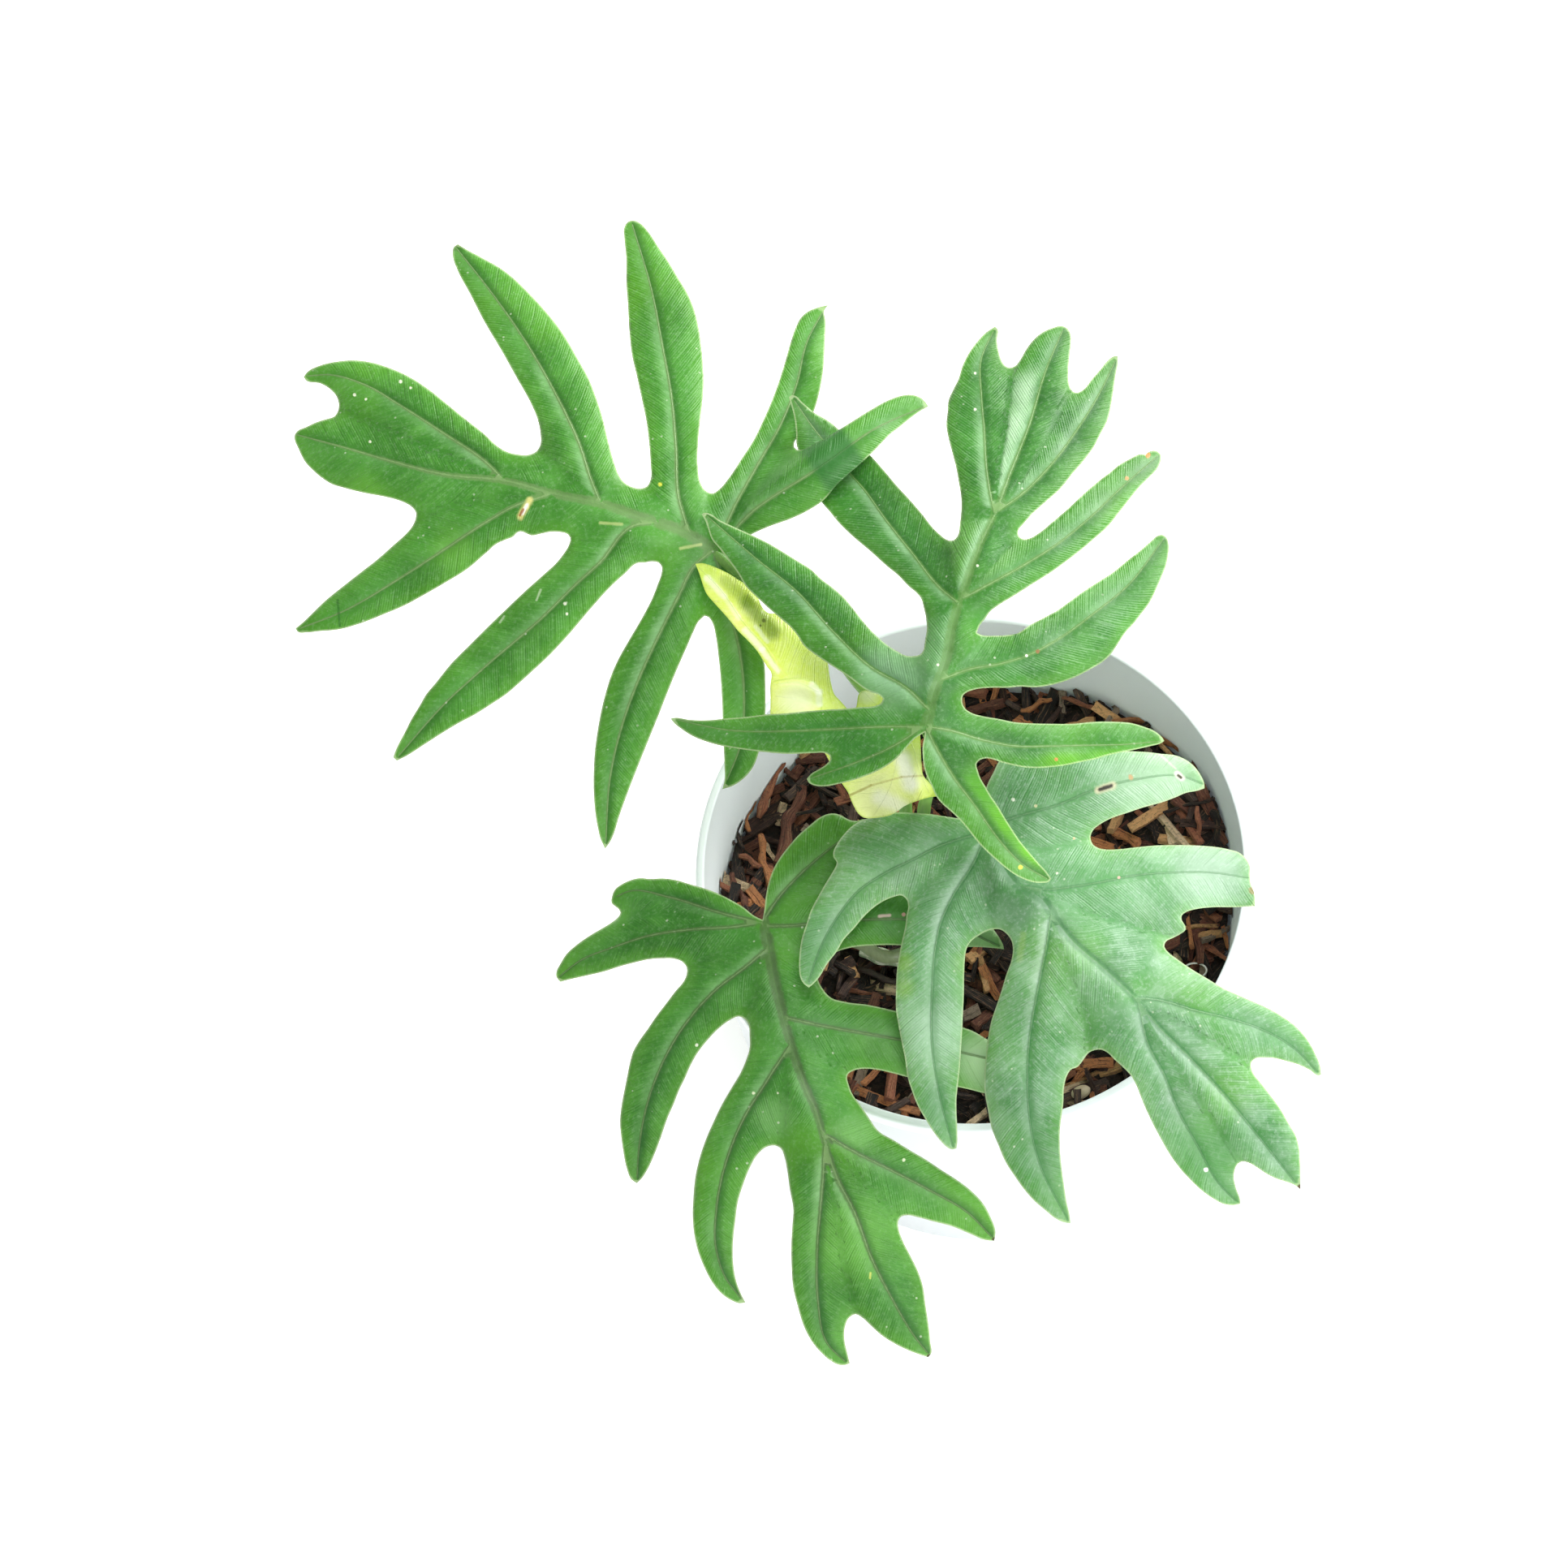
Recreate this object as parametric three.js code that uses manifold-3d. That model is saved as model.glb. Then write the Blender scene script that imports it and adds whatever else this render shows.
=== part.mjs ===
// Potted philodendron mayoi: five leaves on one short stem, in a bed of bark chips in a white pot.
// Units are millimetres, +Z is up, and the origin is the centre of the pot's flat base.
import * as THREE from 'three';
import { mergeVertices } from 'three/addons/utils/BufferGeometryUtils.js';
import Module from 'manifold-3d';

const wasm = await Module();
wasm.setup();

// Sizes of the pot
const POT_HEIGHT = 115;
const RIM_OUTER_RADIUS = 68.6;
const RIM_INNER_RADIUS = 66.4;
const RIM_DEPTH = 6;
const COLLAR_STEP = 1;
const BASE_EDGE = 1.5;
const COLLAR_EDGE = 0.8;
const LIP_EDGE = 0.6;
const WALL_THICKNESS = 1.8;
const BASE_RADIUS = 62;
const FLOOR_THICKNESS = 2.4;
const POT_SIDES = 56;
const DRAIN_HOLE_RADIUS = 3;
const DRAIN_HOLE_CIRCLE = 34;
const DRAIN_HOLES = 6;
const DRAIN_HOLE_SIDES = 12;

// Sizes of the bark bed, measured down from the rim
const BARK_LEVEL = -37.5;
const BARK_GAP = 0.45;
const BARK_SIDES = 40;
const BARK_PITCH = 6;
const RIM_CLEARANCE = 1;

// The bark is heaped against the wall in three places
const HEAPS = [
  { x: -62, y: 6, height: 11, spread: 23 },
  { x: 64, y: 14, height: 19, spread: 22 },
  { x: 46, y: 44, height: 10, spread: 26 },
];

// Chips of bark: the shortest and the longest, and so on, and how far they lean in radians
const CHIPS = 88;
const CHIP_SEED = 41;
const CHIP_LENGTH = [6, 14];
const CHIP_WIDTH = [2.6, 5.6];
const CHIP_THICKNESS = [2.4, 3.8];
const CHIP_RISE = [0.3, 1.4];
const CHIP_TILT = 0.45;
const CHIP_ROLL = 0.4;
const CHIP_NARROW_END = 0.55;
const CHIP_THIN_END = 0.65;

// Sizes of the stem and the leaf stalks
const STEM_RADIUS = 5;
const STEM_SIDES = 14;
const STEM_TOP = -26;
const STEM_FOOT = -62;
const STEM_CENTRE = [-14, -7.4];
const STUB_RADIUS = 2.1;
const STUB_HEIGHT = -32;
const STUB_ROUTE = [[-18.5, -22.8, -33.5], [-23, -22.2, -34], [-27.2, -20.6, -34.5]];
const ROOT_RADIUS = 0.8;
const ROOT_HEIGHT = -34;
const ROOT_ROUTE = [[-19, -28.5, -35], [-26, -26, -35.5], [-33, -25, -39]];
const STALK_RADIUS = 1.6;
const STALK_RING = 3.4;
const STALK_RISE = 3;
const BAR_SIDES = 8;
const FREE_GAP = 0.4;

// Sizes of the blades
const BLADE_THICKNESS = 0.9;
const RIBBON_THICKNESS = 1.5;
const GRID_PITCH = 8;
const GRID_START = 0.6;
const GRID_END = 2;
const CUTTER_FOOT = -80;
const CUTTER_DEPTH = 240;
const MARGIN_STEP = 0.6;
const VEIN_STEP = 2;
const SAG = 0.022;
const FLATNESS = 0.05;

// The plant is laid out on the plane through the rim's centre that faces a viewer at EYE, 1 m away.
// RIGHT and UP are that plane's directions, and a leaf is drawn on it as the viewer sees it.
const EYE = new THREE.Vector3(-42.558, -366.69, 930.751);
const RIGHT = new THREE.Vector3(0.9864, -0.15119, -0.06443);
const UP = new THREE.Vector3(0.16435, 0.90745, 0.38669);

// The point at height z above the rim that the viewer sees at x, y of the plane
function sightPoint(x, y, z) {
  const onPlane = new THREE.Vector3().addScaledVector(RIGHT, x).addScaledVector(UP, y);
  const share = (EYE.z - z) / (EYE.z - onPlane.z);
  const point = EYE.clone().lerp(onPlane, share);
  point.z += POT_HEIGHT;
  return point;
}

// The points of a route whose points are given as x, y and height above the rim
function sightRoute(route) {
  return route.map(([x, y, z]) => sightPoint(x, y, z));
}

// Even, repeatable random numbers from 0 to 1
function randomSource(seed) {
  let state = seed;
  return () => {
    state = (state * 16807) % 2147483647;
    return state / 2147483647;
  };
}

// A closed geometry as a solid that can be joined and cut
function toSolid(geometry) {
  const plain = geometry.clone();
  plain.deleteAttribute('normal');
  plain.deleteAttribute('uv');
  const welded = mergeVertices(plain, 1e-4);
  const corners = new Float32Array(welded.attributes.position.array);
  const triangles = new Uint32Array(welded.index.array);
  return new wasm.Manifold(new wasm.Mesh({ numProp: 3, vertProperties: corners, triVerts: triangles }));
}

// A solid as a named mesh with its own material
function toMesh(name, solid, colour, roughness) {
  const result = solid.getMesh();
  const geometry = new THREE.BufferGeometry();
  geometry.setAttribute('position', new THREE.BufferAttribute(new Float32Array(result.vertProperties), 3));
  geometry.setIndex(new THREE.BufferAttribute(new Uint32Array(result.triVerts), 1));
  geometry.computeVertexNormals();
  const material = new THREE.MeshStandardMaterial({ color: colour, roughness, metalness: 0 });
  const mesh = new THREE.Mesh(geometry, material);
  mesh.name = name;
  return mesh;
}

// A round bar of even thickness along a smooth line through the given points
function bar(points, radius, sides, steps) {
  const profile = new THREE.Shape();
  for (let i = 0; i < sides; i += 1) {
    const angle = (i / sides) * 2 * Math.PI;
    const x = radius * Math.cos(angle);
    const y = radius * Math.sin(angle);
    if (i === 0) profile.moveTo(x, y);
    else profile.lineTo(x, y);
  }
  profile.closePath();
  const path = new THREE.CatmullRomCurve3(points, false, 'centripetal');
  return toSolid(new THREE.ExtrudeGeometry(profile, { steps, extrudePath: path, bevelEnabled: false }));
}

// The pot: a thin plastic wall turned round the axis, with a low collar at the rim
function potSolid() {
  const wallTop = POT_HEIGHT - RIM_DEPTH;
  const profile = [
    [0, 0],
    [BASE_RADIUS - BASE_EDGE, 0],
    [BASE_RADIUS, BASE_EDGE],
    [RIM_OUTER_RADIUS - COLLAR_STEP, wallTop],
    [RIM_OUTER_RADIUS, wallTop + LIP_EDGE],
    [RIM_OUTER_RADIUS, POT_HEIGHT - COLLAR_EDGE],
    [RIM_OUTER_RADIUS - COLLAR_EDGE, POT_HEIGHT],
    [RIM_INNER_RADIUS + LIP_EDGE, POT_HEIGHT],
    [RIM_INNER_RADIUS, POT_HEIGHT - LIP_EDGE],
    [BASE_RADIUS - WALL_THICKNESS, FLOOR_THICKNESS],
    [0, FLOOR_THICKNESS],
  ];
  const points = profile.map(([r, z]) => new THREE.Vector2(r, z));
  const turned = new THREE.LatheGeometry(points, POT_SIDES);
  turned.rotateX(Math.PI / 2);
  let pot = toSolid(turned);
  for (let i = 0; i < DRAIN_HOLES; i += 1) {
    const angle = (i / DRAIN_HOLES) * 2 * Math.PI;
    const depth = 4 * FLOOR_THICKNESS;
    const hole = new THREE.CylinderGeometry(DRAIN_HOLE_RADIUS, DRAIN_HOLE_RADIUS, depth, DRAIN_HOLE_SIDES);
    hole.rotateX(Math.PI / 2);
    hole.translate(DRAIN_HOLE_CIRCLE * Math.cos(angle), DRAIN_HOLE_CIRCLE * Math.sin(angle), 0);
    pot = pot.subtract(toSolid(hole));
  }
  return pot;
}

// The inner radius of the pot at a height above its base
function innerRadius(z) {
  const bottom = BASE_RADIUS - WALL_THICKNESS;
  const share = (z - FLOOR_THICKNESS) / (POT_HEIGHT - LIP_EDGE - FLOOR_THICKNESS);
  return bottom + (RIM_INNER_RADIUS - bottom) * share;
}

// The stem with its old stub and one root, or the same grown on all sides by a free gap
function stemSolid(grow) {
  const top = POT_HEIGHT + STEM_TOP;
  const foot = POT_HEIGHT + STEM_FOOT - grow;
  const radius = STEM_RADIUS + grow;
  const [x, y] = STEM_CENTRE;
  const trunk = new THREE.CylinderGeometry(radius, radius, top - foot, STEM_SIDES);
  trunk.rotateX(Math.PI / 2);
  trunk.translate(x, y, (top + foot) / 2);
  const stubStart = new THREE.Vector3(x, y, POT_HEIGHT + STUB_HEIGHT);
  const stub = bar([stubStart, ...sightRoute(STUB_ROUTE)], STUB_RADIUS + grow, BAR_SIDES, 6);
  const rootStart = new THREE.Vector3(x, y - 2, POT_HEIGHT + ROOT_HEIGHT);
  const root = bar([rootStart, ...sightRoute(ROOT_ROUTE)], ROOT_RADIUS + grow, 6, 7);
  return toSolid(trunk).add(stub).add(root);
}

// A flat splinter of bark, centred and turned as told
function splinter(length, width, thickness, centre, turn, tilt, roll) {
  const block = new THREE.BoxGeometry(length, width, thickness);
  const position = block.attributes.position;
  for (let i = 0; i < position.count; i += 1) {
    const end = position.getX(i) / length + 0.5;
    position.setY(i, position.getY(i) * (CHIP_NARROW_END + (1 - CHIP_NARROW_END) * end));
    position.setZ(i, position.getZ(i) * (1 - (1 - CHIP_THIN_END) * end));
  }
  block.rotateX(roll);
  block.rotateY(tilt);
  block.rotateZ(turn);
  block.translate(centre.x, centre.y, centre.z);
  return toSolid(block);
}

// The height of the bark's surface above the pot's base
function barkHeight(x, y) {
  let height = POT_HEIGHT + BARK_LEVEL;
  for (const heap of HEAPS) {
    const away = (x - heap.x) ** 2 + (y - heap.y) ** 2;
    height += heap.height * Math.exp(-away / heap.spread ** 2);
  }
  return height;
}

// The point over the bark's surface, at a lift, that the viewer sees at x, y of the plane
function onBark(x, y, lift) {
  let z = BARK_LEVEL;
  for (let i = 0; i < 8; i += 1) {
    const point = sightPoint(x, y, z);
    z = barkHeight(point.x, point.y) - POT_HEIGHT;
  }
  return sightPoint(x, y, z + lift);
}

// The bark bed: a filling of the pot with chips pressed into its top, and a hole for the stem
function barkSolid() {
  const corner = new THREE.Vector2(RIM_OUTER_RADIUS, RIM_OUTER_RADIUS);
  const filling = sheetGeometry(corner.clone().negate(), corner, BARK_PITCH, barkHeight, POT_HEIGHT);
  const pieces = [toSolid(filling)];
  const random = randomSource(CHIP_SEED);
  const between = ([least, most], power = 1) => least + (most - least) * random() ** power;
  const reach = innerRadius(POT_HEIGHT + BARK_LEVEL) - 2;
  for (let i = 0; i < CHIPS; i += 1) {
    const length = between(CHIP_LENGTH, 2);
    const width = between(CHIP_WIDTH);
    const thickness = between(CHIP_THICKNESS);
    const radius = (reach - length / 2) * Math.sqrt(random());
    const around = random() * 2 * Math.PI;
    const turn = random() * 2 * Math.PI;
    const tilt = between([-CHIP_TILT, CHIP_TILT]);
    const roll = between([-CHIP_ROLL, CHIP_ROLL]);
    const x = radius * Math.cos(around);
    const y = radius * Math.sin(around);
    const centre = new THREE.Vector3(x, y, barkHeight(x, y) + between(CHIP_RISE));
    pieces.push(splinter(length, width, thickness, centre, turn, tilt, roll));
  }
  const lyingSplinter = splinter(15, 2.2, 2, onBark(53, 15.5, 1.5), 0.15, 0.05, 0.3);
  const standingSplinter = splinter(11, 1.6, 1.6, onBark(55.3, 10, 2), 0.5, -1.15, 0);
  const pebble = splinter(6, 4, 3, onBark(26.5, -55.7, 1.5), 0.2, 0, 0);
  pieces.push(lyingSplinter, standingSplinter, pebble);
  const low = FLOOR_THICKNESS + BARK_GAP;
  const top = POT_HEIGHT - RIM_CLEARANCE;
  const reachLow = innerRadius(low) - BARK_GAP;
  const reachTop = innerRadius(top) - BARK_GAP;
  const inside = new THREE.CylinderGeometry(reachTop, reachLow, top - low, BARK_SIDES);
  inside.rotateX(Math.PI / 2);
  inside.translate(0, 0, (top + low) / 2);
  const heap = wasm.Manifold.union(pieces).intersect(toSolid(inside));
  const bed = heap.subtract(stemSolid(FREE_GAP)).simplify(FLATNESS);
  const bodies = bed.decompose();
  bodies.sort((a, b) => b.volume() - a.volume());
  return bodies[0];
}

// The stalk of a leaf, from its place round the stem's top through points given as x, y and height
function stalkSolid(around, route) {
  const start = new THREE.Vector3(
    STEM_CENTRE[0] + STALK_RING * Math.cos(around),
    STEM_CENTRE[1] + STALK_RING * Math.sin(around),
    POT_HEIGHT + STEM_TOP + FREE_GAP,
  );
  const above = start.clone();
  above.z += STALK_RISE;
  return bar([start, above, ...sightRoute(route)], STALK_RADIUS, BAR_SIDES, 16);
}

// Points of a run of numbers, taken in groups of the given size
function grouped(numbers, size) {
  const groups = [];
  for (let i = 0; i < numbers.length; i += size) groups.push(numbers.slice(i, i + size));
  return groups;
}

// The outline without the points that lie within a small distance of the line past them
function thinned(points, distance) {
  if (points.length < 3) return points;
  const [first, last] = [points[0], points[points.length - 1]];
  const along = new THREE.Vector2(last[0] - first[0], last[1] - first[1]);
  const span = along.length() || 1e-9;
  let widest = 0;
  let at = 0;
  for (let i = 1; i < points.length - 1; i += 1) {
    const off = (points[i][0] - first[0]) * along.y - (points[i][1] - first[1]) * along.x;
    if (Math.abs(off) / span > widest) {
      widest = Math.abs(off) / span;
      at = i;
    }
  }
  if (widest < distance) return [first, last];
  const before = thinned(points.slice(0, at + 1), distance);
  return [...before.slice(0, -1), ...thinned(points.slice(at), distance)];
}

// Points a small step apart along every vein, each with its height
function veinSamples(veins) {
  const samples = [];
  for (const vein of veins) {
    const points = grouped(vein, 3);
    for (let i = 0; i + 1 < points.length; i += 1) {
      const [a, b] = [points[i], points[i + 1]];
      const count = Math.ceil(Math.hypot(b[0] - a[0], b[1] - a[1]) / VEIN_STEP);
      for (let k = 0; k < count; k += 1) {
        samples.push(a.map((value, n) => value + (b[n] - value) * (k / count)));
      }
    }
    samples.push(points[points.length - 1]);
  }
  return samples;
}

// The height of the blade at x, y: that of the veins near it, less a sag that grows away from them
function bladeHeight(samples, x, y) {
  let weights = 0;
  let sum = 0;
  let nearest = Infinity;
  for (const [sx, sy, sz] of samples) {
    const away = (sx - x) ** 2 + (sy - y) ** 2;
    const weight = 1 / (away * away + 4);
    weights += weight;
    sum += weight * sz;
    nearest = Math.min(nearest, away);
  }
  return sum / weights - SAG * nearest;
}

// A closed sheet over a grid, split into the same triangles on its upper and lower face
function sheetGeometry(low, high, pitch, heightAt, thickness) {
  const columns = Math.ceil((high.x - low.x) / pitch);
  const rows = Math.ceil((high.y - low.y) / pitch);
  const corners = [];
  for (const drop of [0, thickness]) {
    for (let j = 0; j <= rows; j += 1) {
      for (let i = 0; i <= columns; i += 1) {
        const x = low.x + i * pitch;
        const y = low.y + j * pitch;
        corners.push(x, y, heightAt(x, y) - drop);
      }
    }
  }
  const under = (columns + 1) * (rows + 1);
  const corner = (i, j) => j * (columns + 1) + i;
  const triangles = [];
  for (let j = 0; j < rows; j += 1) {
    for (let i = 0; i < columns; i += 1) {
      const [a, b, c, d] = [corner(i, j), corner(i + 1, j), corner(i + 1, j + 1), corner(i, j + 1)];
      triangles.push(a, b, c, a, c, d);
      triangles.push(under + a, under + c, under + b, under + a, under + d, under + c);
    }
  }
  const wall = (a, b) => triangles.push(a, under + a, under + b, a, under + b, b);
  for (let i = 0; i < columns; i += 1) {
    wall(corner(i, 0), corner(i + 1, 0));
    wall(corner(i + 1, rows), corner(i, rows));
  }
  for (let j = 0; j < rows; j += 1) {
    wall(corner(0, j + 1), corner(0, j));
    wall(corner(columns, j), corner(columns, j + 1));
  }
  const geometry = new THREE.BufferGeometry();
  geometry.setAttribute('position', new THREE.Float32BufferAttribute(corners, 3));
  geometry.setIndex(triangles);
  return geometry;
}

// One leaf: a waved blade cut out along its outline, joined to its stalk
function leafSolid({ outline, veins, thickness, around, route }) {
  const margin = grouped(outline, 2);
  const half = Math.floor(margin.length / 2);
  const first = thinned(margin.slice(0, half + 1), MARGIN_STEP);
  const second = thinned([...margin.slice(half), margin[0]], MARGIN_STEP);
  const points = [...first.slice(0, -1), ...second.slice(0, -1)].map(([x, y]) => new THREE.Vector2(x, y));
  const frame = new THREE.Box2().setFromPoints(points);
  const low = frame.min.clone().subScalar(GRID_PITCH * GRID_START);
  const samples = veinSamples(veins);
  const sheet = sheetGeometry(low, frame.max.clone().addScalar(GRID_END), GRID_PITCH,
    (x, y) => bladeHeight(samples, x, y), thickness);
  const shape = new THREE.Shape(points);
  const cutter = new THREE.ExtrudeGeometry(shape, { depth: CUTTER_DEPTH, bevelEnabled: false });
  cutter.translate(0, 0, CUTTER_FOOT);
  const flat = toSolid(sheet).intersect(toSolid(cutter)).simplify(FLATNESS);
  const blade = flat.warp((v) => {
    const point = sightPoint(v[0], v[1], v[2]);
    v[0] = point.x;
    v[1] = point.y;
    v[2] = point.z;
  });
  return blade.add(stalkSolid(around, route));
}

// The leaf at the upper left: its outline runs clockwise from the right lobe's root.
// A vein is a run of x, y and height above the rim, from its root to the tip of its lobe.
const UPPER_LEFT = {
  outline: [
    -61.5, 77.2, -59.6, 74.6, -57.6, 71.4, -56.2, 67.5, -55.3, 63, -54.2, 58.5, -52.6, 54, -51.4, 50.2,
    -51.1, 45, -51.1, 38, -51.6, 32.5, -52.6, 28.4, -54.4, 23.9, -56.6, 21.4, -59.4, 19.6, -61.7, 18.9,
    -61.2, 20.8, -61.2, 25, -61.5, 32, -61.8, 41.3, -62.1, 46, -62.7, 52, -63.3, 56.5, -64.2, 60,
    -65, 61.2, -66.1, 61.6, -67.5, 60.3, -68.9, 57.5, -70.6, 53.6, -72.8, 48.6, -75.1, 43, -77.3, 37.4,
    -79.8, 31.2, -82.3, 25, -84.9, 18.3, -87.3, 11.6, -88.5, 7.7, -89.6, 5.5, -90.6, 4.2, -91.7, 6.6,
    -92.5, 9.9, -93.1, 13.9, -93.4, 18.3, -93.4, 23.4, -93.1, 28.4, -92.5, 32.9, -91.6, 37.9,
    -90.2, 43.5, -89, 47.2, -87.4, 50.8, -84.9, 55.3, -82.3, 59.7, -80.4, 63.1, -79, 65.9, -77.6, 69.5,
    -76.7, 72.1, -76.6, 73.6, -77.4, 74.7, -79, 75, -80.9, 74.7, -82.6, 74.6, -83.7, 74, -85.1, 72.6,
    -89, 69, -94.1, 63.4, -99.7, 56.8, -105, 51.2, -109, 47.5, -112.1, 44.7, -115.2, 42.1,
    -118.2, 40.1, -122.8, 37.2, -126.4, 35.3, -130.9, 32.6, -135.1, 29.9, -140.2, 26.7, -141.9, 25.9,
    -142.8, 26.7, -142.4, 28, -141.4, 30.2, -139.9, 33, -138.4, 36, -136.1, 39.8, -134.8, 42.1,
    -132.5, 44.9, -128.2, 50.2, -124.3, 54.1, -120.3, 58.1, -113.6, 64.6, -110.1, 67.9, -105.5, 72,
    -102.4, 74.9, -100.9, 76.8, -99.6, 78.9, -99.2, 80.9, -99.8, 81.7, -101.4, 82.2, -103.9, 82.3,
    -106.5, 81.8, -108.8, 81.4, -110, 81.9, -111.4, 82.4, -112.4, 82, -113.1, 81.2, -115.2, 80.3,
    -117.2, 79.4, -120, 77, -124.6, 73.1, -129.4, 70.1, -135.1, 66.8, -139.9, 64.2, -145.3, 61.9,
    -150.1, 60, -156.5, 58.2, -161.1, 57.8, -163.9, 57.5, -166.4, 57.7, -166.9, 58.5, -165.2, 59.9,
    -162.1, 62.9, -159.5, 65.4, -155.2, 68.9, -150.1, 72.9, -147, 75.3, -142.7, 79.1, -139.6, 81.9,
    -138.1, 83.7, -137.3, 85.6, -137.2, 87, -138.1, 88.3, -139.8, 89.4, -141.9, 90.2, -144.7, 90.9,
    -150, 91.9, -155.2, 93.2, -157.8, 94, -160, 95.3, -162.3, 97.2, -164.4, 99.4, -165.9, 102.2,
    -167, 106.4, -166.4, 107.2, -164.4, 108.1, -161.6, 109.4, -159, 110.2, -157.4, 110.7,
    -156.5, 111.9, -156.2, 113.5, -156.7, 115.5, -158.3, 117.4, -160.6, 118.8, -164.4, 119.7,
    -164.9, 120.5, -164.1, 121.6, -160.6, 123.4, -156.5, 124.3, -152.9, 124.6, -148.3, 124.1,
    -144.2, 122.9, -138.6, 120.4, -134, 117.4, -130, 114.2, -125.1, 110.2, -120.2, 106.3,
    -117.2, 103.5, -114.6, 102, -112.1, 101.4, -109.5, 101.3, -107.5, 102.2, -106.5, 104,
    -106.5, 106.3, -107.2, 109.9, -109, 114.2, -112.3, 120.1, -115.7, 126.2, -120.8, 134.9,
    -123.8, 140.8, -126.9, 146.6, -127.9, 149.2, -128.2, 151.2, -127.9, 152.5, -126.9, 153.2,
    -125.4, 152.3, -120.8, 149.8, -116.2, 147.2, -113.1, 144.8, -110.1, 141.9, -105, 136.4,
    -102.4, 133.2, -100.1, 129.8, -97.3, 124.9, -94.5, 119.8, -93.2, 116.5, -91.2, 110.4, -89.9, 105,
    -88.2, 98.9, -87.2, 96.3, -85.8, 94.4, -83.7, 93.3, -81.8, 93, -80.2, 93.6, -79.4, 95.2,
    -79.4, 99.2, -79.8, 104.6, -80.4, 109.4, -81.5, 114.8, -82.9, 121.2, -83.9, 125.5, -84.6, 131.4,
    -85, 138.4, -85.4, 144.3, -85.4, 149.6, -85.9, 155, -86, 156.9, -85, 158.7, -83.7, 159.1,
    -82.1, 158.5, -79.9, 156.2, -77.5, 152.6, -75.1, 149.1, -72.7, 145.1, -70.3, 141.1, -68.7, 137.3,
    -67.6, 133, -66.9, 128.2, -66.4, 122.8, -66.3, 118.5, -66.6, 114.2, -67.3, 108.3, -67.7, 103.5,
    -67.7, 98.1, -67.1, 94.4, -66, 92.6, -64.1, 91.8, -62.5, 92.8, -60.1, 95.6, -57.2, 100,
    -54.2, 104.6, -51.8, 109.4, -49.7, 114.2, -47.8, 119.3, -46.2, 124.4, -44.8, 129.3, -43.5, 133,
    -42.2, 135.3, -40.3, 136.8, -38.2, 137.6, -35.6, 138.2, -36.6, 136.8, -36.3, 134.6, -36.3, 131.4,
    -36.5, 127.1, -36.8, 122.3, -37.6, 117.5, -39, 112.4, -41, 108.2, -43.2, 104.8, -44.3, 103,
    -43.6, 102, -41.6, 102.3, -38.6, 104.2, -36, 105.6, -33.1, 107.4, -29, 110, -24.8, 112.6,
    -20.5, 114.9, -17.5, 115.9, -15.1, 116.1, -12.4, 115.1, -10.9, 113.2, -13, 112, -15.1, 110.5,
    -17.8, 108.3, -20.5, 106.2, -22.6, 104, -25.3, 101.3, -28.5, 98.4, -33.1, 94.3, -37.1, 89.8,
    -40.3, 87.7, -45.1, 85.4, -49.9, 83.7, -54.2, 81.8, -57.8, 79.6,
  ],
  veins: [
    [-63.7, 77.6, 60, -70.6, 82.1, 61.5, -81, 85.6, 62.5, -92, 89.4, 62.5, -102.4, 91.5, 61.5,
      -115.4, 94.9, 59.5, -130, 96.4, 56.5, -144.7, 100.1, 52.5, -155, 103.1, 49, -166.5, 106.2, 45],
    [-115.4, 94.9, 59.5, -120.3, 99.7, 58, -130, 106.3, 55.5, -140.7, 113.2, 52.5, -150, 118.6, 49.5,
      -158.5, 121, 47, -164, 120.7, 45],
    [-91.8, 89.6, 62.5, -93.2, 92.8, 62.4, -97.3, 104.8, 61, -102.4, 115.5, 58.5, -110, 128.8, 54.5,
      -117.7, 140, 50, -127.3, 152.3, 45],
    [-70.3, 83, 61.5, -72.5, 90.6, 61.5, -73.2, 103.5, 60, -74.3, 115.8, 57.5, -76.5, 128.2, 54,
      -79.1, 141.6, 49.5, -83.9, 158, 43],
    [-62.5, 80, 60.2, -59, 88, 60, -53.1, 98.7, 58.5, -47.3, 108.9, 56, -43.5, 118.5, 53.5,
      -40.8, 129.3, 50.5, -36.4, 137.6, 47.5],
    [-62, 79, 60.2, -54.2, 87.4, 63, -48.9, 91.2, 65, -41.9, 95.5, 67, -35.5, 99.8, 67.5,
      -24.8, 107.3, 65.5, -11.4, 113.4, 60],
    [-104, 91.6, 61.3, -113.1, 88.6, 59.5, -120.3, 84.5, 57.5, -130, 78.1, 54.5, -140.2, 71.5, 51,
      -155, 62.8, 45.5, -166.3, 58.3, 41],
    [-77.5, 84.6, 62, -83.7, 83.8, 61.8, -91.8, 74.9, 60, -98.3, 68.9, 58, -106, 61.3, 55,
      -119.7, 49.5, 49.5, -130, 40.1, 45, -142, 26.5, 39],
    [-63.9, 77.8, 60, -68.3, 74.3, 59.8, -72.8, 65.9, 58, -78.4, 54.7, 54.5, -82.9, 44.6, 50.5,
      -86.8, 33.4, 46, -89.3, 22.3, 41.5, -90.5, 5, 35],
    [-63.5, 77.2, 60, -61.8, 70, 57.5, -59.8, 62.5, 54, -57.4, 52.5, 49.5, -56.4, 42, 45, -57, 31, 41,
      -61.3, 19.3, 37],
  ],
  thickness: BLADE_THICKNESS,
  around: 2.2,
  route: [[-16.3, 8, 14], [-17.3, 23, 32], [-20.5, 35, 44], [-28.5, 44.6, 51], [-40, 54.5, 54.5],
    [-51, 64.5, 57], [-57, 71.5, 58], [-63.4, 77.2, 59.4]],
};

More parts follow.
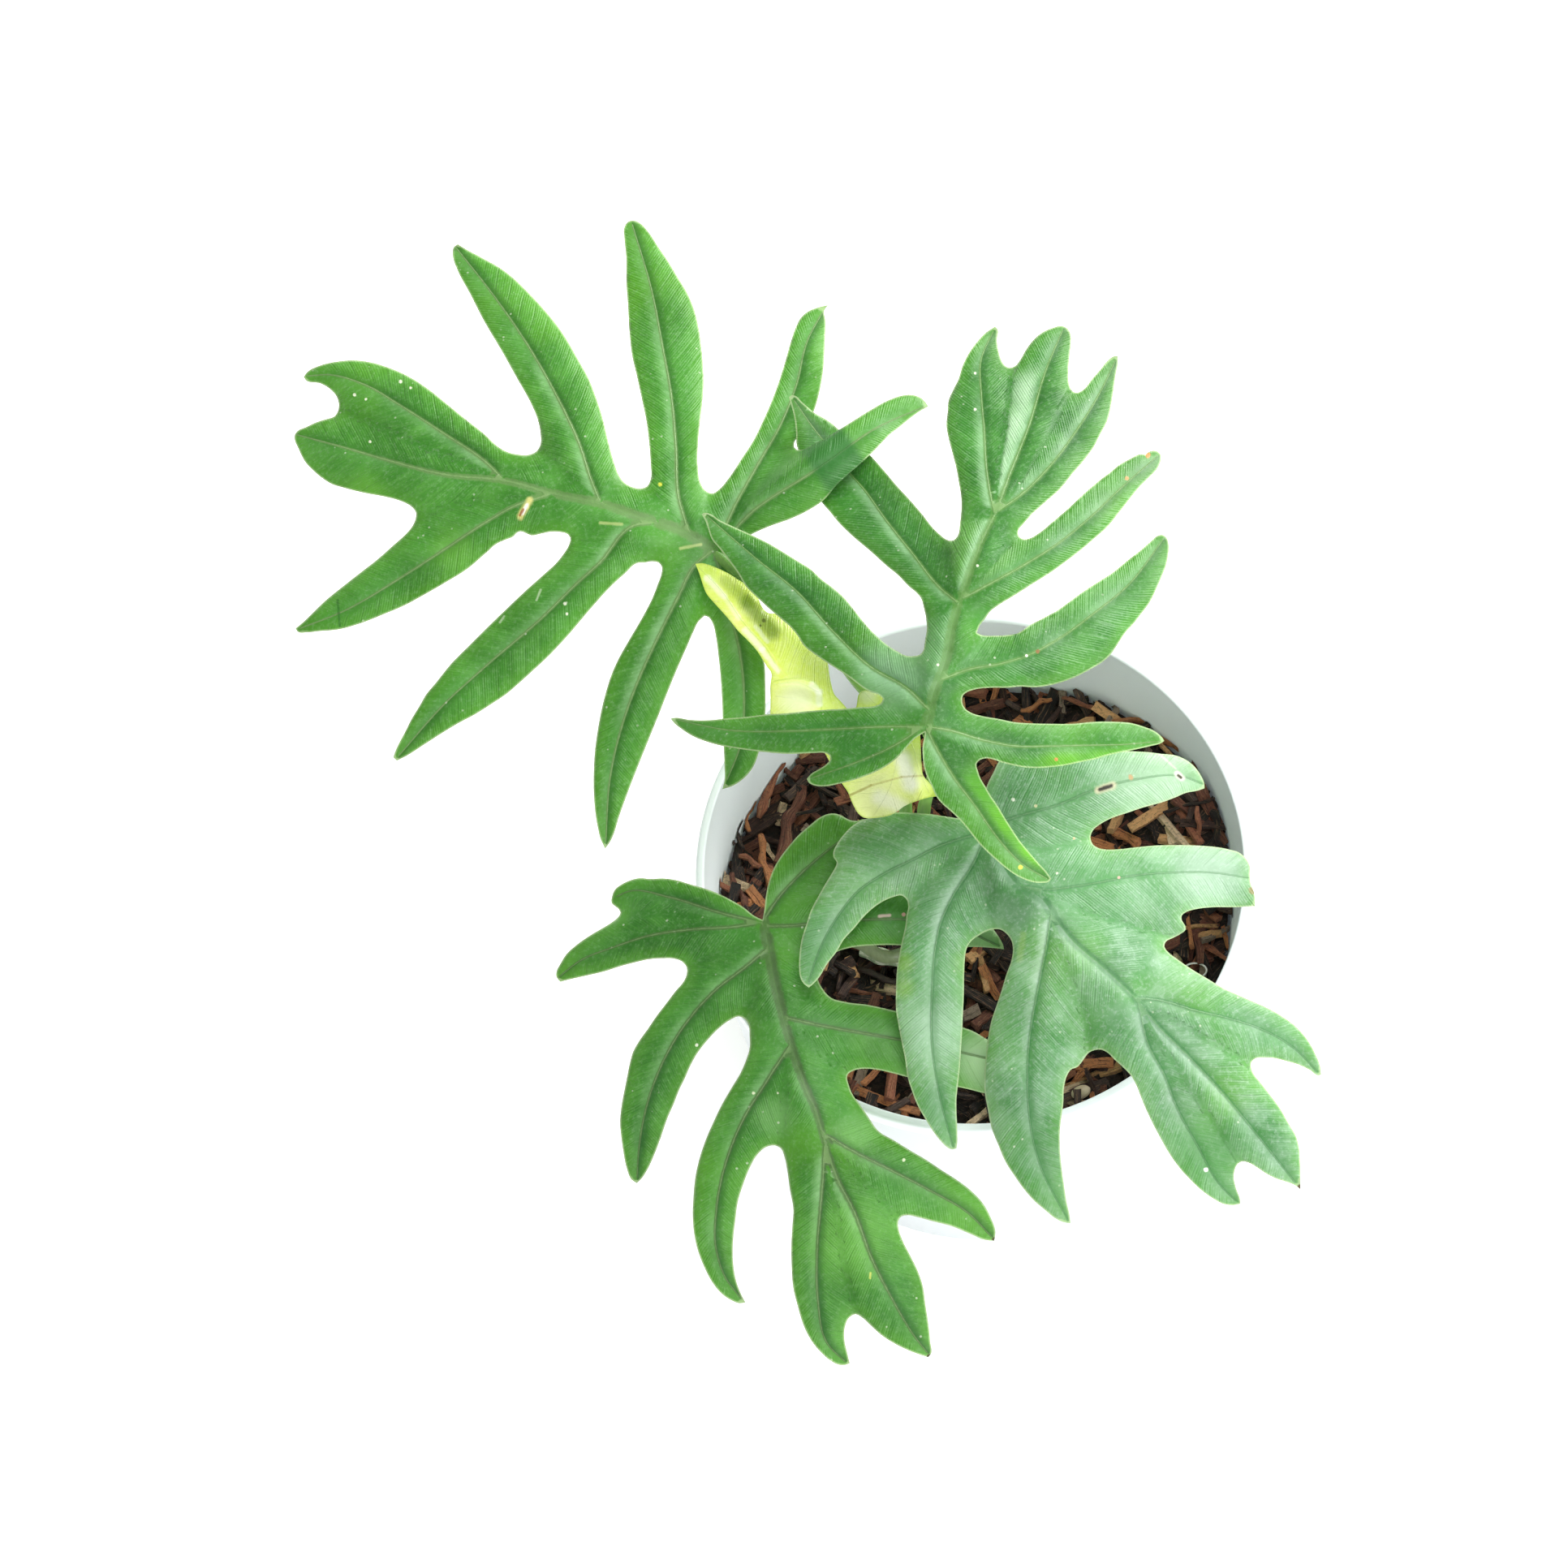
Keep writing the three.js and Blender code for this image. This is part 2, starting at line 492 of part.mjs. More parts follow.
// The leaf at the upper right, which lies highest: its outline runs clockwise from the stalk
const UPPER_RIGHT = {
  outline: [
    -11.8, 32.9, -14.2, 31.4, -16, 29.5, -18.3, 26.9, -21.1, 24.7, -25.2, 22.6, -29.8, 21, -33.5, 20.1,
    -36.2, 19.6, -39, 19.8, -40.4, 20.5, -40.9, 21.4, -39.9, 22.6, -38.1, 23.7, -36, 25.1, -35.1, 26.3,
    -35.3, 27.2, -36.5, 27.8, -39, 27.8, -46.3, 27.6, -50, 27.9, -53.7, 28.3, -57.4, 28.8, -62, 29.6,
    -65.6, 30.6, -68.9, 31.9, -71.6, 33.6, -73.4, 35, -74.5, 36.3, -73.4, 36.5, -69.8, 36, -65.2, 35.9,
    -61, 36.3, -56, 36.7, -50.9, 37.3, -45.9, 37.6, -40.8, 38.1, -35.8, 38.5, -31.7, 38.7, -28, 39.1,
    -23.8, 39.5, -22.6, 40.1, -22.1, 41.2, -22.9, 42, -24.8, 42.7, -26.1, 43.3, -27.5, 44.2, -29.8, 46,
    -33.5, 48.5, -36, 50.1, -38.5, 51.8, -41.8, 54.5, -43.1, 56.6, -44.7, 58.6, -47.3, 60.9, -50, 63.2,
    -52.8, 65.8, -56, 69, -57.8, 72, -60.1, 75.2, -62.4, 78.2, -64.3, 80.5, -65.2, 83, -66, 85.3,
    -66.8, 86.6, -66.3, 87, -64.9, 86.8, -62.4, 85.2, -59.7, 83.9, -54.6, 81.6, -50.5, 79.6,
    -46.3, 77.1, -43.1, 75.1, -39.9, 73.1, -37.2, 70.6, -34.4, 68.5, -31.6, 66, -29.3, 63.2,
    -27.5, 60.9, -25.2, 58.2, -22.9, 55.9, -20.2, 53.8, -18.3, 52.7, -16.5, 51.8, -14.6, 51.7,
    -13, 52.1, -12.2, 53.1, -11.9, 54.5, -11.7, 55.9, -11.3, 58.2, -11.5, 60.9, -12.1, 63.7, -12.8, 66,
    -14, 67.4, -15.6, 68.7, -18.3, 71.5, -21.1, 73.8, -25.2, 77.5, -29.8, 81.4, -33.5, 85.1,
    -35.1, 87.1, -37.2, 89.6, -39.2, 94.5, -40.5, 99.5, -41.2, 102.4, -42.7, 103.5, -43.3, 104.6,
    -43.4, 106, -43.6, 107.7, -44, 110.7, -44.8, 113.8, -45.3, 115.5, -44.6, 116, -43.5, 115.7,
    -42.2, 114.4, -40.5, 112.9, -39.2, 111.8, -36.6, 110.3, -34.4, 108.8, -33.1, 107.6, -29.3, 104.6,
    -25.2, 101.1, -21.4, 96.9, -18.8, 93.8, -15.3, 90, -12.3, 86.5, -9.7, 83.2, -7.9, 81.5, -6.4, 80.4,
    -4.9, 80.2, -3.8, 81.2, -3.2, 84.2, -2.8, 88.6, -2.9, 91.2, -3.4, 94.2, -4.1, 98.1, -5.1, 102,
    -6, 105.5, -6.5, 108.5, -6.2, 112, -6, 114.6, -4.9, 117.2, -3.6, 119.8, -2.5, 123.3, -1, 126.3,
    1.6, 129.8, 3.3, 131.5, 5.5, 132.9, 6.2, 132.2, 6, 129.8, 6.3, 127.2, 7, 124.8, 7.9, 123.3,
    9.1, 122.8, 10.3, 123.1, 11.6, 124.6, 13.1, 127.2, 15.1, 129.8, 17.2, 131.5, 20, 132.7,
    21.6, 133.1, 23.5, 132.3, 24.2, 130.7, 24.2, 128.5, 23.8, 125, 23.6, 121.1, 23.8, 118.5, 24.6, 117,
    25.7, 116.6, 27, 117.2, 29.4, 120, 31.5, 122.4, 33.3, 124.6, 34.8, 125.6, 35.7, 125.7, 35.8, 124.1,
    35.2, 120.7, 34.7, 117.2, 34.1, 113.3, 33.1, 109.4, 31.5, 106.4, 29.8, 103.1, 27.6, 100.1,
    24.6, 96.6, 21.6, 92.9, 18.5, 90.1, 14.8, 86.8, 12.5, 84.2, 11.2, 82.5, 11.4, 81.2, 12.5, 80.5,
    14.2, 80.8, 16.4, 82.1, 19.8, 84.9, 23.3, 87.9, 27, 91.4, 30.7, 94.6, 34.1, 97.2, 36.3, 99,
    38.7, 100.3, 41.5, 101.5, 42.6, 101.3, 43, 101.8, 45.4, 102.2, 46.3, 101.4, 46.3, 99.6, 45.4, 97.7,
    43.7, 95.9, 41.1, 93.3, 38.5, 90.1, 35.9, 86.8, 33.3, 83.6, 30.2, 80.8, 26.8, 77.9, 22.9, 74.9,
    19, 72.1, 15.5, 69.9, 10.3, 66.6, 6.4, 64.2, 4.6, 62.9, 2.9, 60.7, 1.6, 59, 1, 57.4, 1.8, 57,
    5.5, 56.7, 9, 56.9, 10.7, 57.2, 14.2, 59.4, 17.7, 61.3, 20.7, 62.9, 23.9, 65.2, 27.6, 67.9,
    30.7, 69.9, 34.6, 72.4, 38, 75.2, 41.1, 77.6, 44.1, 80.2, 45.6, 81.4, 46.7, 81.6, 47.7, 81,
    48.3, 79.3, 48.2, 76.7, 47.7, 74.1, 46.7, 71.5, 45.4, 68.5, 43.7, 65, 41.5, 62, 39.8, 59.8,
    37.6, 57.4, 35.9, 54.8, 34.1, 52.2, 31.8, 50.1, 29.8, 48.9, 25.9, 46.8, 22.4, 45.4, 18.5, 44.4,
    14.6, 44, 12, 44.2, 8.5, 43.9, 4.6, 43.9, 0.7, 43.5, -1.4, 42.8, -2.4, 42, -2.6, 40.3, -1.9, 38.8,
    -0.1, 37.6, 2.9, 36.8, 6.4, 36.2, 10.3, 35.4, 14.6, 35.1, 19, 35, 24.6, 35, 30.2, 35.5, 34.6, 35.5,
    38.9, 35.2, 42.4, 34.2, 45, 33.1, 46.7, 31.6, 47.2, 30.8, 46.7, 30.4, 43.7, 29.5, 40.2, 28.7,
    36.3, 27.9, 32.8, 27.1, 30.2, 26.3, 26.8, 25.6, 22.4, 24.7, 19, 24.3, 15.5, 24.1, 12.5, 24.3,
    9.4, 24.9, 6.8, 25.6, 5.1, 26.2, 3.3, 26.5, 1.8, 26.1, 0.9, 25.1, 1.2, 23.6, 2, 21.4, 3.2, 19.4,
    4.1, 17.8, 6, 15, 7.8, 12, 9.7, 9, 11.5, 6.3, 13.8, 3.5, 16.1, 0.8, 18.2, -1.5, 19.3, -3.1,
    18.9, -3.8, 17, -4.2, 14.7, -4, 12.4, -3.2, 10.1, -2, 7.8, -0.3, 5.5, 1.7, 3.2, 3.8, 0.9, 6.3,
    -0.9, 8.6, -2.8, 10.9, -5.1, 13.2, -7.4, 15.2, -9, 17.1, -10.1, 19.6, -11.3, 22.1, -12, 24.4,
    -12.3, 27.2, -12.3, 29.9, -11.9, 31.8,
  ],
  veins: [
    [-11.4, 34.5, 80, -9.6, 42.6, 81.5, -6.8, 49.9, 82.5, -4.7, 60.5, 83, -1.4, 70.5, 82.5,
      2.5, 80.9, 81, 5.6, 87.1, 79.5, 8.5, 95.1, 77, 13.8, 108.5, 72, 18.1, 122.4, 66,
      22.4, 132.6, 61],
    [5.4, 86.6, 79.6, 4.2, 92, 78, 3.3, 98.5, 76, 2.8, 107.2, 73, 2.1, 115.9, 69.5, 2, 124.6, 65.5,
      5.4, 132.5, 61.5],
    [6, 87.3, 79.4, 12.5, 92, 77.5, 19, 98.5, 74.5, 25.5, 107.2, 70.5, 30.7, 115.5, 66,
      35.5, 125.3, 60.5],
    [-1.8, 66.3, 82.7, 4.2, 69.5, 82, 12.9, 74.3, 80, 21.1, 79.5, 77.5, 28.5, 85.5, 74,
      36.3, 92.9, 69.5, 46, 101.4, 63],
    [-7.5, 46, 81.8, -1.4, 48.3, 81, 6.8, 49.8, 79.5, 13.8, 52, 78, 21.1, 55.9, 75.5, 29.8, 62.2, 72,
      38, 68.9, 68, 47.3, 81, 61.5],
    [-11.2, 34.3, 80, -5.8, 33.4, 79.3, 2.5, 31, 77, 10.3, 29.5, 75, 19, 29.5, 72, 27.6, 29.7, 68.5,
      37, 29.9, 64.5, 47, 30.8, 59.5],
    [-11.3, 33.5, 80, -9.2, 29.4, 78.5, -4.6, 21.7, 75, 0.9, 14.3, 71, 6, 7, 66.5, 12, 0.6, 61.5,
      19, -3.6, 56.5],
    [-11.6, 34.3, 80, -20.6, 34.3, 78, -32.1, 33.8, 74.5, -45.9, 33.2, 69.5, -59.7, 33.4, 64,
      -74, 36.2, 57.5],
    [-13, 33.8, 79.8, -16.9, 31.1, 78.5, -22.9, 27.9, 76, -29.8, 25.1, 73, -40.4, 21.4, 68.5],
    [-10.9, 38.5, 80.7, -16, 43.5, 80, -25.2, 49, 77.5, -34.4, 57.7, 74.5, -43.6, 67.8, 71,
      -52.8, 75.2, 68, -66.2, 86.8, 64],
    [-3.6, 64.8, 82.8, -7.9, 68.3, 80.5, -14.9, 77, 75.5, -21.4, 85.2, 69.5, -27, 93, 62.5,
      -31, 97.5, 60.2, -35, 102.5, 59.5, -39, 107.5, 60.5, -44.6, 115.5, 63],
  ],
  thickness: BLADE_THICKNESS,
  around: 1.05,
  route: [[-12.3, 0, 10], [-12, 14, 31], [-9.8, 22, 49], [-9.4, 29, 69], [-11.2, 33.8, 79]],
};

// The leaf at the lower right: its outline runs anticlockwise from the stalk
const LOWER_RIGHT = {
  outline: [
    0.8, 10.8, -1.2, 11.4, -3.5, 11.7, -7.5, 12.3, -10.1, 12.7, -13.8, 13, -17.5, 13.2, -20.2, 13,
    -23, 12.3, -25.7, 11.7, -27.6, 11.1, -29.6, 9.9, -31.7, 7.8, -33.5, 5.3, -34.4, 3.2, -34.3, 2.1,
    -33.5, 0.9, -33.8, -0.2, -34.7, -1.8, -36.3, -4.4, -38.1, -7.6, -39.7, -10.6, -41.1, -14.7,
    -42.2, -18.3, -42.7, -22, -42.8, -25.2, -42.5, -27.5, -41.6, -29.1, -40.4, -30, -39.5, -29.3,
    -38.1, -27.8, -35.8, -24.1, -33.5, -21.1, -31.7, -18.1, -29.4, -15.6, -26.7, -12.4, -23.9, -9.9,
    -21.6, -8.5, -19.3, -7.6, -17.5, -7.3, -16.3, -8.3, -15.9, -10.1, -16.3, -12, -16.6, -14.7,
    -17.5, -18.8, -18.2, -22.5, -18.7, -26.1, -18.9, -30.3, -18.9, -35.3, -18.2, -39.9, -17.5, -43.6,
    -16.7, -47.4, -16.1, -51.8, -15, -55.4, -13.4, -59.4, -11.6, -62.5, -9.8, -65.4, -8, -67.7,
    -6.5, -69.2, -5.1, -69.9, -4, -69.6, -3.8, -68.3, -3.8, -65.2, -4, -60.8, -4, -57.2, -3.7, -54.5,
    -3.2, -50, -2.9, -45.6, -2.6, -40.7, -2.4, -36.2, -2.2, -31.7, -2.1, -26, -1.9, -22.6, -1.5, -20.4,
    -0.4, -18.6, 1.6, -17.1, 3.7, -16, 5.5, -15.6, 6.8, -15.7, 8.3, -16.7, 9.6, -18.6, 9.9, -20.8,
    9.6, -23, 8.3, -26.7, 7.2, -30.4, 5.9, -34.3, 4.6, -38.2, 3.9, -41.6, 3.3, -46, 2.9, -50.9,
    2.9, -55.4, 3.6, -59.4, 4.7, -64.8, 6.3, -68.8, 8, -72.8, 10.3, -76.4, 12.5, -79.5, 15.2, -82.6,
    17.9, -84.9, 20.1, -86.7, 22.3, -87.8, 24.1, -88.1, 23.9, -86.2, 23.2, -83.1, 22.5, -78.6,
    21.9, -74.2, 21.5, -69.7, 21.5, -65.2, 21.9, -61.7, 22.3, -58.5, 22.5, -54.5, 23.2, -51.8,
    24.1, -50.3, 25.9, -49.5, 27.1, -48, 28.7, -46, 30.1, -45.4, 31.7, -45.3, 33, -45.9, 35, -47.8,
    37, -49.6, 39, -51.7, 40.2, -53.9, 41.7, -57.7, 43.6, -62, 46.4, -67.4, 48.9, -71.7, 51.3, -74.9,
    54.2, -78, 56.6, -80.2, 59.5, -82.2, 61.9, -83.4, 64.8, -83.6, 66, -83.3, 65.9, -82.1, 65, -79.6,
    64.4, -76.8, 64.6, -74.9, 65.3, -73.5, 66.4, -72.9, 68, -73.2, 70.1, -74.4, 72.5, -76, 75, -77.2,
    77.8, -78.1, 79.5, -78.8, 80.8, -79.8, 80.8, -77.6, 80.7, -73.5, 80.5, -69.8, 79.7, -66.6,
    77.8, -63.3, 75.8, -59.8, 73.3, -56.4, 70.9, -53.3, 69.3, -51.3, 68.7, -49.8, 68.7, -48.4,
    69.7, -47.5, 72.1, -47.3, 74.6, -47.5, 77.4, -48.2, 79.9, -48.9, 83.1, -50.4, 85.2, -51.7,
    85.9, -51.5, 85.6, -49, 84.6, -46.6, 83.1, -43.7, 81.5, -41.5, 79.5, -39.4, 76.2, -37, 72.9, -35.1,
    68.9, -33.3, 64.8, -31.5, 61.5, -30, 58, -27.9, 54, -25.5, 50.4, -23, 48.2, -21.3, 47.2, -19.9,
    47.5, -18.8, 49.5, -17.7, 51.5, -16.6, 52.5, -15.7, 52.4, -14.8, 51.5, -13.4, 51.5, -12.3,
    52.6, -11.4, 54.9, -10.7, 59.3, -10.2, 63.8, -10.2, 69.6, -10, 69.4, -6.7, 68.5, -4.3, 68.3, -2.3,
    68.3, 0, 67.4, 1.7, 65.6, 3.3, 63.3, 4, 60.2, 4.6, 55.3, 5, 49.5, 5.1, 45, 5, 40.6, 4.6, 36.1, 4.1,
    33.4, 4, 31.2, 4.3, 29.6, 5.3, 29, 7.1, 29.6, 8.7, 31.2, 10.1, 33.9, 11.6, 37.9, 13, 42.4, 14.5,
    46.8, 15.7, 50, 16.9, 52.6, 18, 55.3, 18.5, 57.1, 19.1, 57.1, 20, 56.2, 22.3, 54.6, 24.5,
    52.6, 26.1, 50, 27.2, 46.4, 27.6, 43.3, 28, 39.7, 28.2, 30, 28.6, 20, 28.4, 12, 27.8, 8, 27.2,
    6.6, 25.9, 5.1, 23, 3.9, 20.7, 2.9, 18, 2.2, 14.5,
  ],
  veins: [
    [2.8, 9.4, 40, 6, 3, 41.5, 10.2, -3.9, 42.5, 17.2, -8.2, 43, 20, -12.6, 43, 25.1, -18.9, 42.5,
      31.9, -24.8, 41, 39.4, -32, 38.5, 45.3, -39.1, 35.5, 53.6, -47.4, 31, 62.3, -56.8, 26,
      71.3, -67.8, 20.5, 80.5, -79.4, 14],
    [41, -35, 37.5, 43.3, -44.2, 33.5, 46.8, -50.7, 30.5, 50.5, -60, 26, 55.4, -69, 21.5,
      60.7, -78.4, 17, 65.4, -83.1, 14.5],
    [40.2, -32.6, 38.2, 45.7, -33.1, 37, 54.6, -35.6, 34, 63.1, -37.6, 30.5, 70.5, -40, 27,
      79.1, -44.9, 22, 85.4, -51.4, 17.5],
    [1.5, 8, 39.8, -8, 5, 38.8, -15, 1.5, 37.5, -22, -2, 36, -28, -6, 35, -33, -12, 34,
      -37.5, -20, 33, -40.5, -28.5, 32.5],
    [3, 7, 40, 0.3, 0.9, 40, -4.9, -7.4, 39.5, -7.9, -14, 38.5, -9.2, -20, 37.5, -10, -30, 35,
      -10, -45, 31, -8.5, -55, 28, -5, -69, 23.5],
    [19.3, -12, 43, 18, -20.5, 42, 16.8, -26.4, 40.5, 15.8, -31.6, 39, 14, -42.2, 35.5,
      13.5, -54.1, 31, 14.4, -65.2, 26.5, 16.8, -74.3, 22.5, 23.5, -87.5, 16.5],
    [12, -5, 42.7, 18, -5.8, 42.5, 22.7, -5.4, 42, 29.9, -4.3, 41, 40.6, -2.3, 38.5, 50.4, -1.6, 35,
      58, -1.6, 32, 68.3, -3, 27.5],
    [3.5, 9.8, 40, 12, 12.5, 40.5, 20, 14.7, 40.5, 29.9, 18.7, 39, 40.6, 21.4, 36.5, 51.3, 22.1, 33,
      57, 20, 31],
  ],
  thickness: BLADE_THICKNESS,
  around: 6.0,
  route: [[-5, -9, 0], [0.5, 2, 22], [2.6, 9, 39.2]],
};

// The leaf at the lower left, which lies lowest: its outline runs anticlockwise from the stalk
const LOWER_LEFT = {
  outline: [
    -51.8, -13.3, -53.7, -12.4, -56.7, -10.1, -59.8, -8.3, -62.8, -6.8, -66.3, -5.5, -69.7, -4.5,
    -73.6, -3.4, -76.2, -3.1, -79.7, -3.2, -82.1, -3, -84.5, -3.6, -86.6, -4.6, -88.2, -5.9,
    -88.9, -7.6, -89, -9.2, -88.2, -9.9, -87.2, -10.7, -86.8, -11.5, -87.3, -12.5, -88.8, -13.8,
    -91, -15.2, -93.6, -16.7, -96.2, -18.4, -98.4, -20.1, -100.1, -21.7, -101.6, -24.1, -102.6, -26.1,
    -102.6, -27.4, -101.6, -28.6, -99.7, -28.1, -95.3, -27.1, -91, -26.1, -86.6, -24.7, -83.2, -23.8,
    -80.1, -23.1, -76.2, -22.8, -73.6, -22.9, -71.5, -23.7, -70.5, -25, -70.5, -26.7, -71.2, -28.4,
    -73.2, -30.8, -75.4, -33.7, -78, -37.1, -80.1, -40.2, -82.1, -43, -83.6, -45.6, -84.5, -48.6,
    -85.1, -51.6, -85.8, -55.1, -86.6, -59.5, -86.9, -63, -86.6, -66.9, -86.1, -70.4, -85.2, -74.7,
    -84.1, -77.3, -82.8, -78.2, -81.8, -77.3, -80.2, -74.9, -78.7, -71.7, -77, -67.3, -75.2, -62.1,
    -73.5, -58.2, -72.3, -55.1, -71, -52.5, -69.7, -49.5, -68, -46.4, -65.4, -43, -62.4, -39.9,
    -59.8, -38, -57.6, -37.1, -56.1, -37.8, -55.2, -39.3, -55, -41.7, -55, -45.1, -55.8, -47.7,
    -57.2, -51, -59.3, -54.5, -61.9, -59, -64, -63.4, -65.7, -67.3, -67.2, -71.7, -68.3, -76.4,
    -68.8, -81.2, -69, -86, -68.7, -90.3, -67.9, -94.2, -66.1, -99, -64, -102.9, -61.8, -105.5,
    -59.6, -107, -57.5, -107.8, -56, -107.6, -57, -105.7, -58.1, -102.9, -58.8, -99.9, -59.1, -96.8,
    -59, -91.6, -58.5, -87.3, -57.9, -82.9, -56.6, -78.6, -54.9, -74.3, -53.1, -71.2, -50.9, -69.3,
    -48.8, -68.9, -47.3, -69.6, -46.4, -71.7, -45.7, -75.1, -45.1, -79.5, -44.2, -84.8, -44.5, -89.3,
    -44.7, -93.9, -44.6, -99, -44.3, -103.5, -43.1, -108.6, -41.5, -113.7, -39.7, -117.1,
    -37.4, -119.9, -35.1, -121.9, -33.2, -122.9, -31.4, -123, -30.3, -122.6, -30.9, -120.1,
    -31.6, -116.9, -31.5, -113.7, -30.5, -111.4, -28.9, -110.5, -27.3, -111.3, -25.2, -113.2,
    -22.7, -115.5, -19.5, -117.6, -16.3, -119.2, -13.5, -120.3, -11, -121.1, -10.4, -120.5,
    -10.5, -116.9, -11, -112.3, -11.7, -107.7, -12.3, -103.5, -13.5, -99.9, -15.3, -96.2, -17.2, -92.5,
    -18.3, -89.3, -18.4, -87.7, -17.6, -86.4, -16, -86.1, -13.5, -86.6, -9.8, -87.6, -5.2, -88.8,
    -0.6, -90.7, 3.5, -92.3, 5.3, -92.4, 5.6, -90.2, 4.4, -86.6, 2.6, -83.3, -0.6, -79.9, -3.9, -77.4,
    -7.5, -75.1, -11.7, -72.3, -15.3, -70.2, -19, -67.9, -23.6, -65, -25.4, -62.4, -27.7, -59,
    -29.8, -56, -30.7, -53.5, -31, -52.3, -30.8, -51.4, -29.7, -50.6, -28.1, -50.1, -25.9, -50,
    -23.2, -50.3, -20.1, -51, -16.3, -52, -10, -53.4, -3.6, -54.5, -0.4, -55.2, 2.9, -56, 8, -55.4,
    13, -53.2, 16.2, -50.3, 13.5, -47.2, 9, -45, 3.8, -42.9, 0, -40.7, -2.5, -39.8, -8, -37.8,
    -14, -36.4, -18.8, -35.8, -21.9, -35.1, -26.3, -34.2, -29.9, -33.8, -32.1, -33.4, -34.8, -32.6,
    -36.8, -30.6, -38.2, -27.7, -38, -24.8, -36.4, -22.6, -33.3, -21.1, -30.3, -20.2, -27.6, -19.8,
    -23.9, -19.6, -20.7, -19.5, -17.7, -19.6, -10, -19.8, -1.4, -20, 1.3, -20, 4.5, -20.2, 6.4, -20.4,
    7.7, -20.6, 7.5, -19.5, 6.8, -18.1, 5.9, -16.7, 5, -15.5, 1, -12, -5, -8.6, -12, -6, -20, -4.4,
    -26, -3.8, -30, -3.6, -29, -0.5, -26.5, 3, -25, 7, -25, 10.2, -26.7, 11.5, -28.5, 11.1,
    -30.3, 11.3, -32.2, 12.3, -34, 12.9, -35.6, 12.8, -37.7, 11.9, -40, 10.1, -43.2, 7.3, -45.5, 4.6,
    -47.3, 2.3, -48.7, 0, -50, -3.2, -51, -7.8, -51.3, -10.6,
  ],
  veins: [
    [-51.4, -14, 25, -50.2, -20.4, 26, -49.3, -26.1, 26.8, -46.7, -36.9, 27.3, -43.7, -47.7, 27,
      -41.5, -53.8, 26.3, -38.7, -60.4, 25, -36.6, -67.5, 23, -33.7, -76.4, 20, -29.1, -85.6, 16.5,
      -25, -96.6, 12, -19.9, -106.7, 7.5, -14.4, -115.9, 3, -10.7, -120.6, 0.5],
    [-36.6, -69.5, 22.4, -36.9, -76.6, 20, -37.6, -84.7, 17, -38.4, -95.7, 12.5, -38.2, -106.7, 8,
      -35.8, -117.8, 3.5, -31, -122.6, 1],
    [-36.5, -66.2, 23.3, -29.1, -70.5, 21.5, -19.9, -75.1, 18.5, -10.7, -79.9, 15, -1.6, -85.2, 11,
      5, -91.8, 6.5],
    [-52, -14, 24.8, -58.9, -15, 24, -69.7, -15.7, 22, -79.7, -17.2, 19, -88.4, -20, 15.5,
      -97, -23.5, 11.5, -102, -27.4, 9],
    [-53, -13.8, 24.6, -62.4, -11.5, 22.8, -74.5, -7.8, 19.5, -84.9, -6.3, 15.5, -88.6, -8, 14],
    [-50.8, -20.5, 26, -55.9, -24.8, 25.3, -63.2, -30.4, 23.5, -71.5, -39.9, 19.5, -77.1, -49.9, 15,
      -80.1, -58.2, 11.5, -82.3, -70, 6.5, -82.8, -77.8, 3.5],
    [-45.6, -45, 27, -50.7, -52.9, 24.5, -56.2, -61.7, 21, -60.1, -70.8, 17, -63.2, -84.7, 11,
      -63.3, -94.2, 7, -60.9, -101.6, 4, -56.4, -107.4, 1.5],
    [-45.3, -37.6, 27.2, -36.7, -39.5, 26.8, -25.3, -41.5, 25.8, -15, -43.4, 24.3, -5, -45.5, 22.5,
      5, -47.8, 20.5, 15.5, -50.2, 18.5],
    [-50.5, -14.8, 25, -45.9, -14.8, 25.3, -33, -13.5, 26.5, -25.7, -13.2, 26.8, -16.6, -13.2, 26.5,
      -6, -14.5, 25.5, 7.3, -20.2, 23.5],
    [-51.2, -12.8, 25, -48, -8, 25.5, -44, -3.5, 26, -38, 2, 26.5, -32, 6.5, 26.5, -25.5, 9.5, 26],
  ],
  thickness: BLADE_THICKNESS,
  around: 4.5,
  route: [[-20.5, -22.5, -19], [-28, -19, -7], [-40, -15.8, 11], [-51, -14, 24.2]],
};

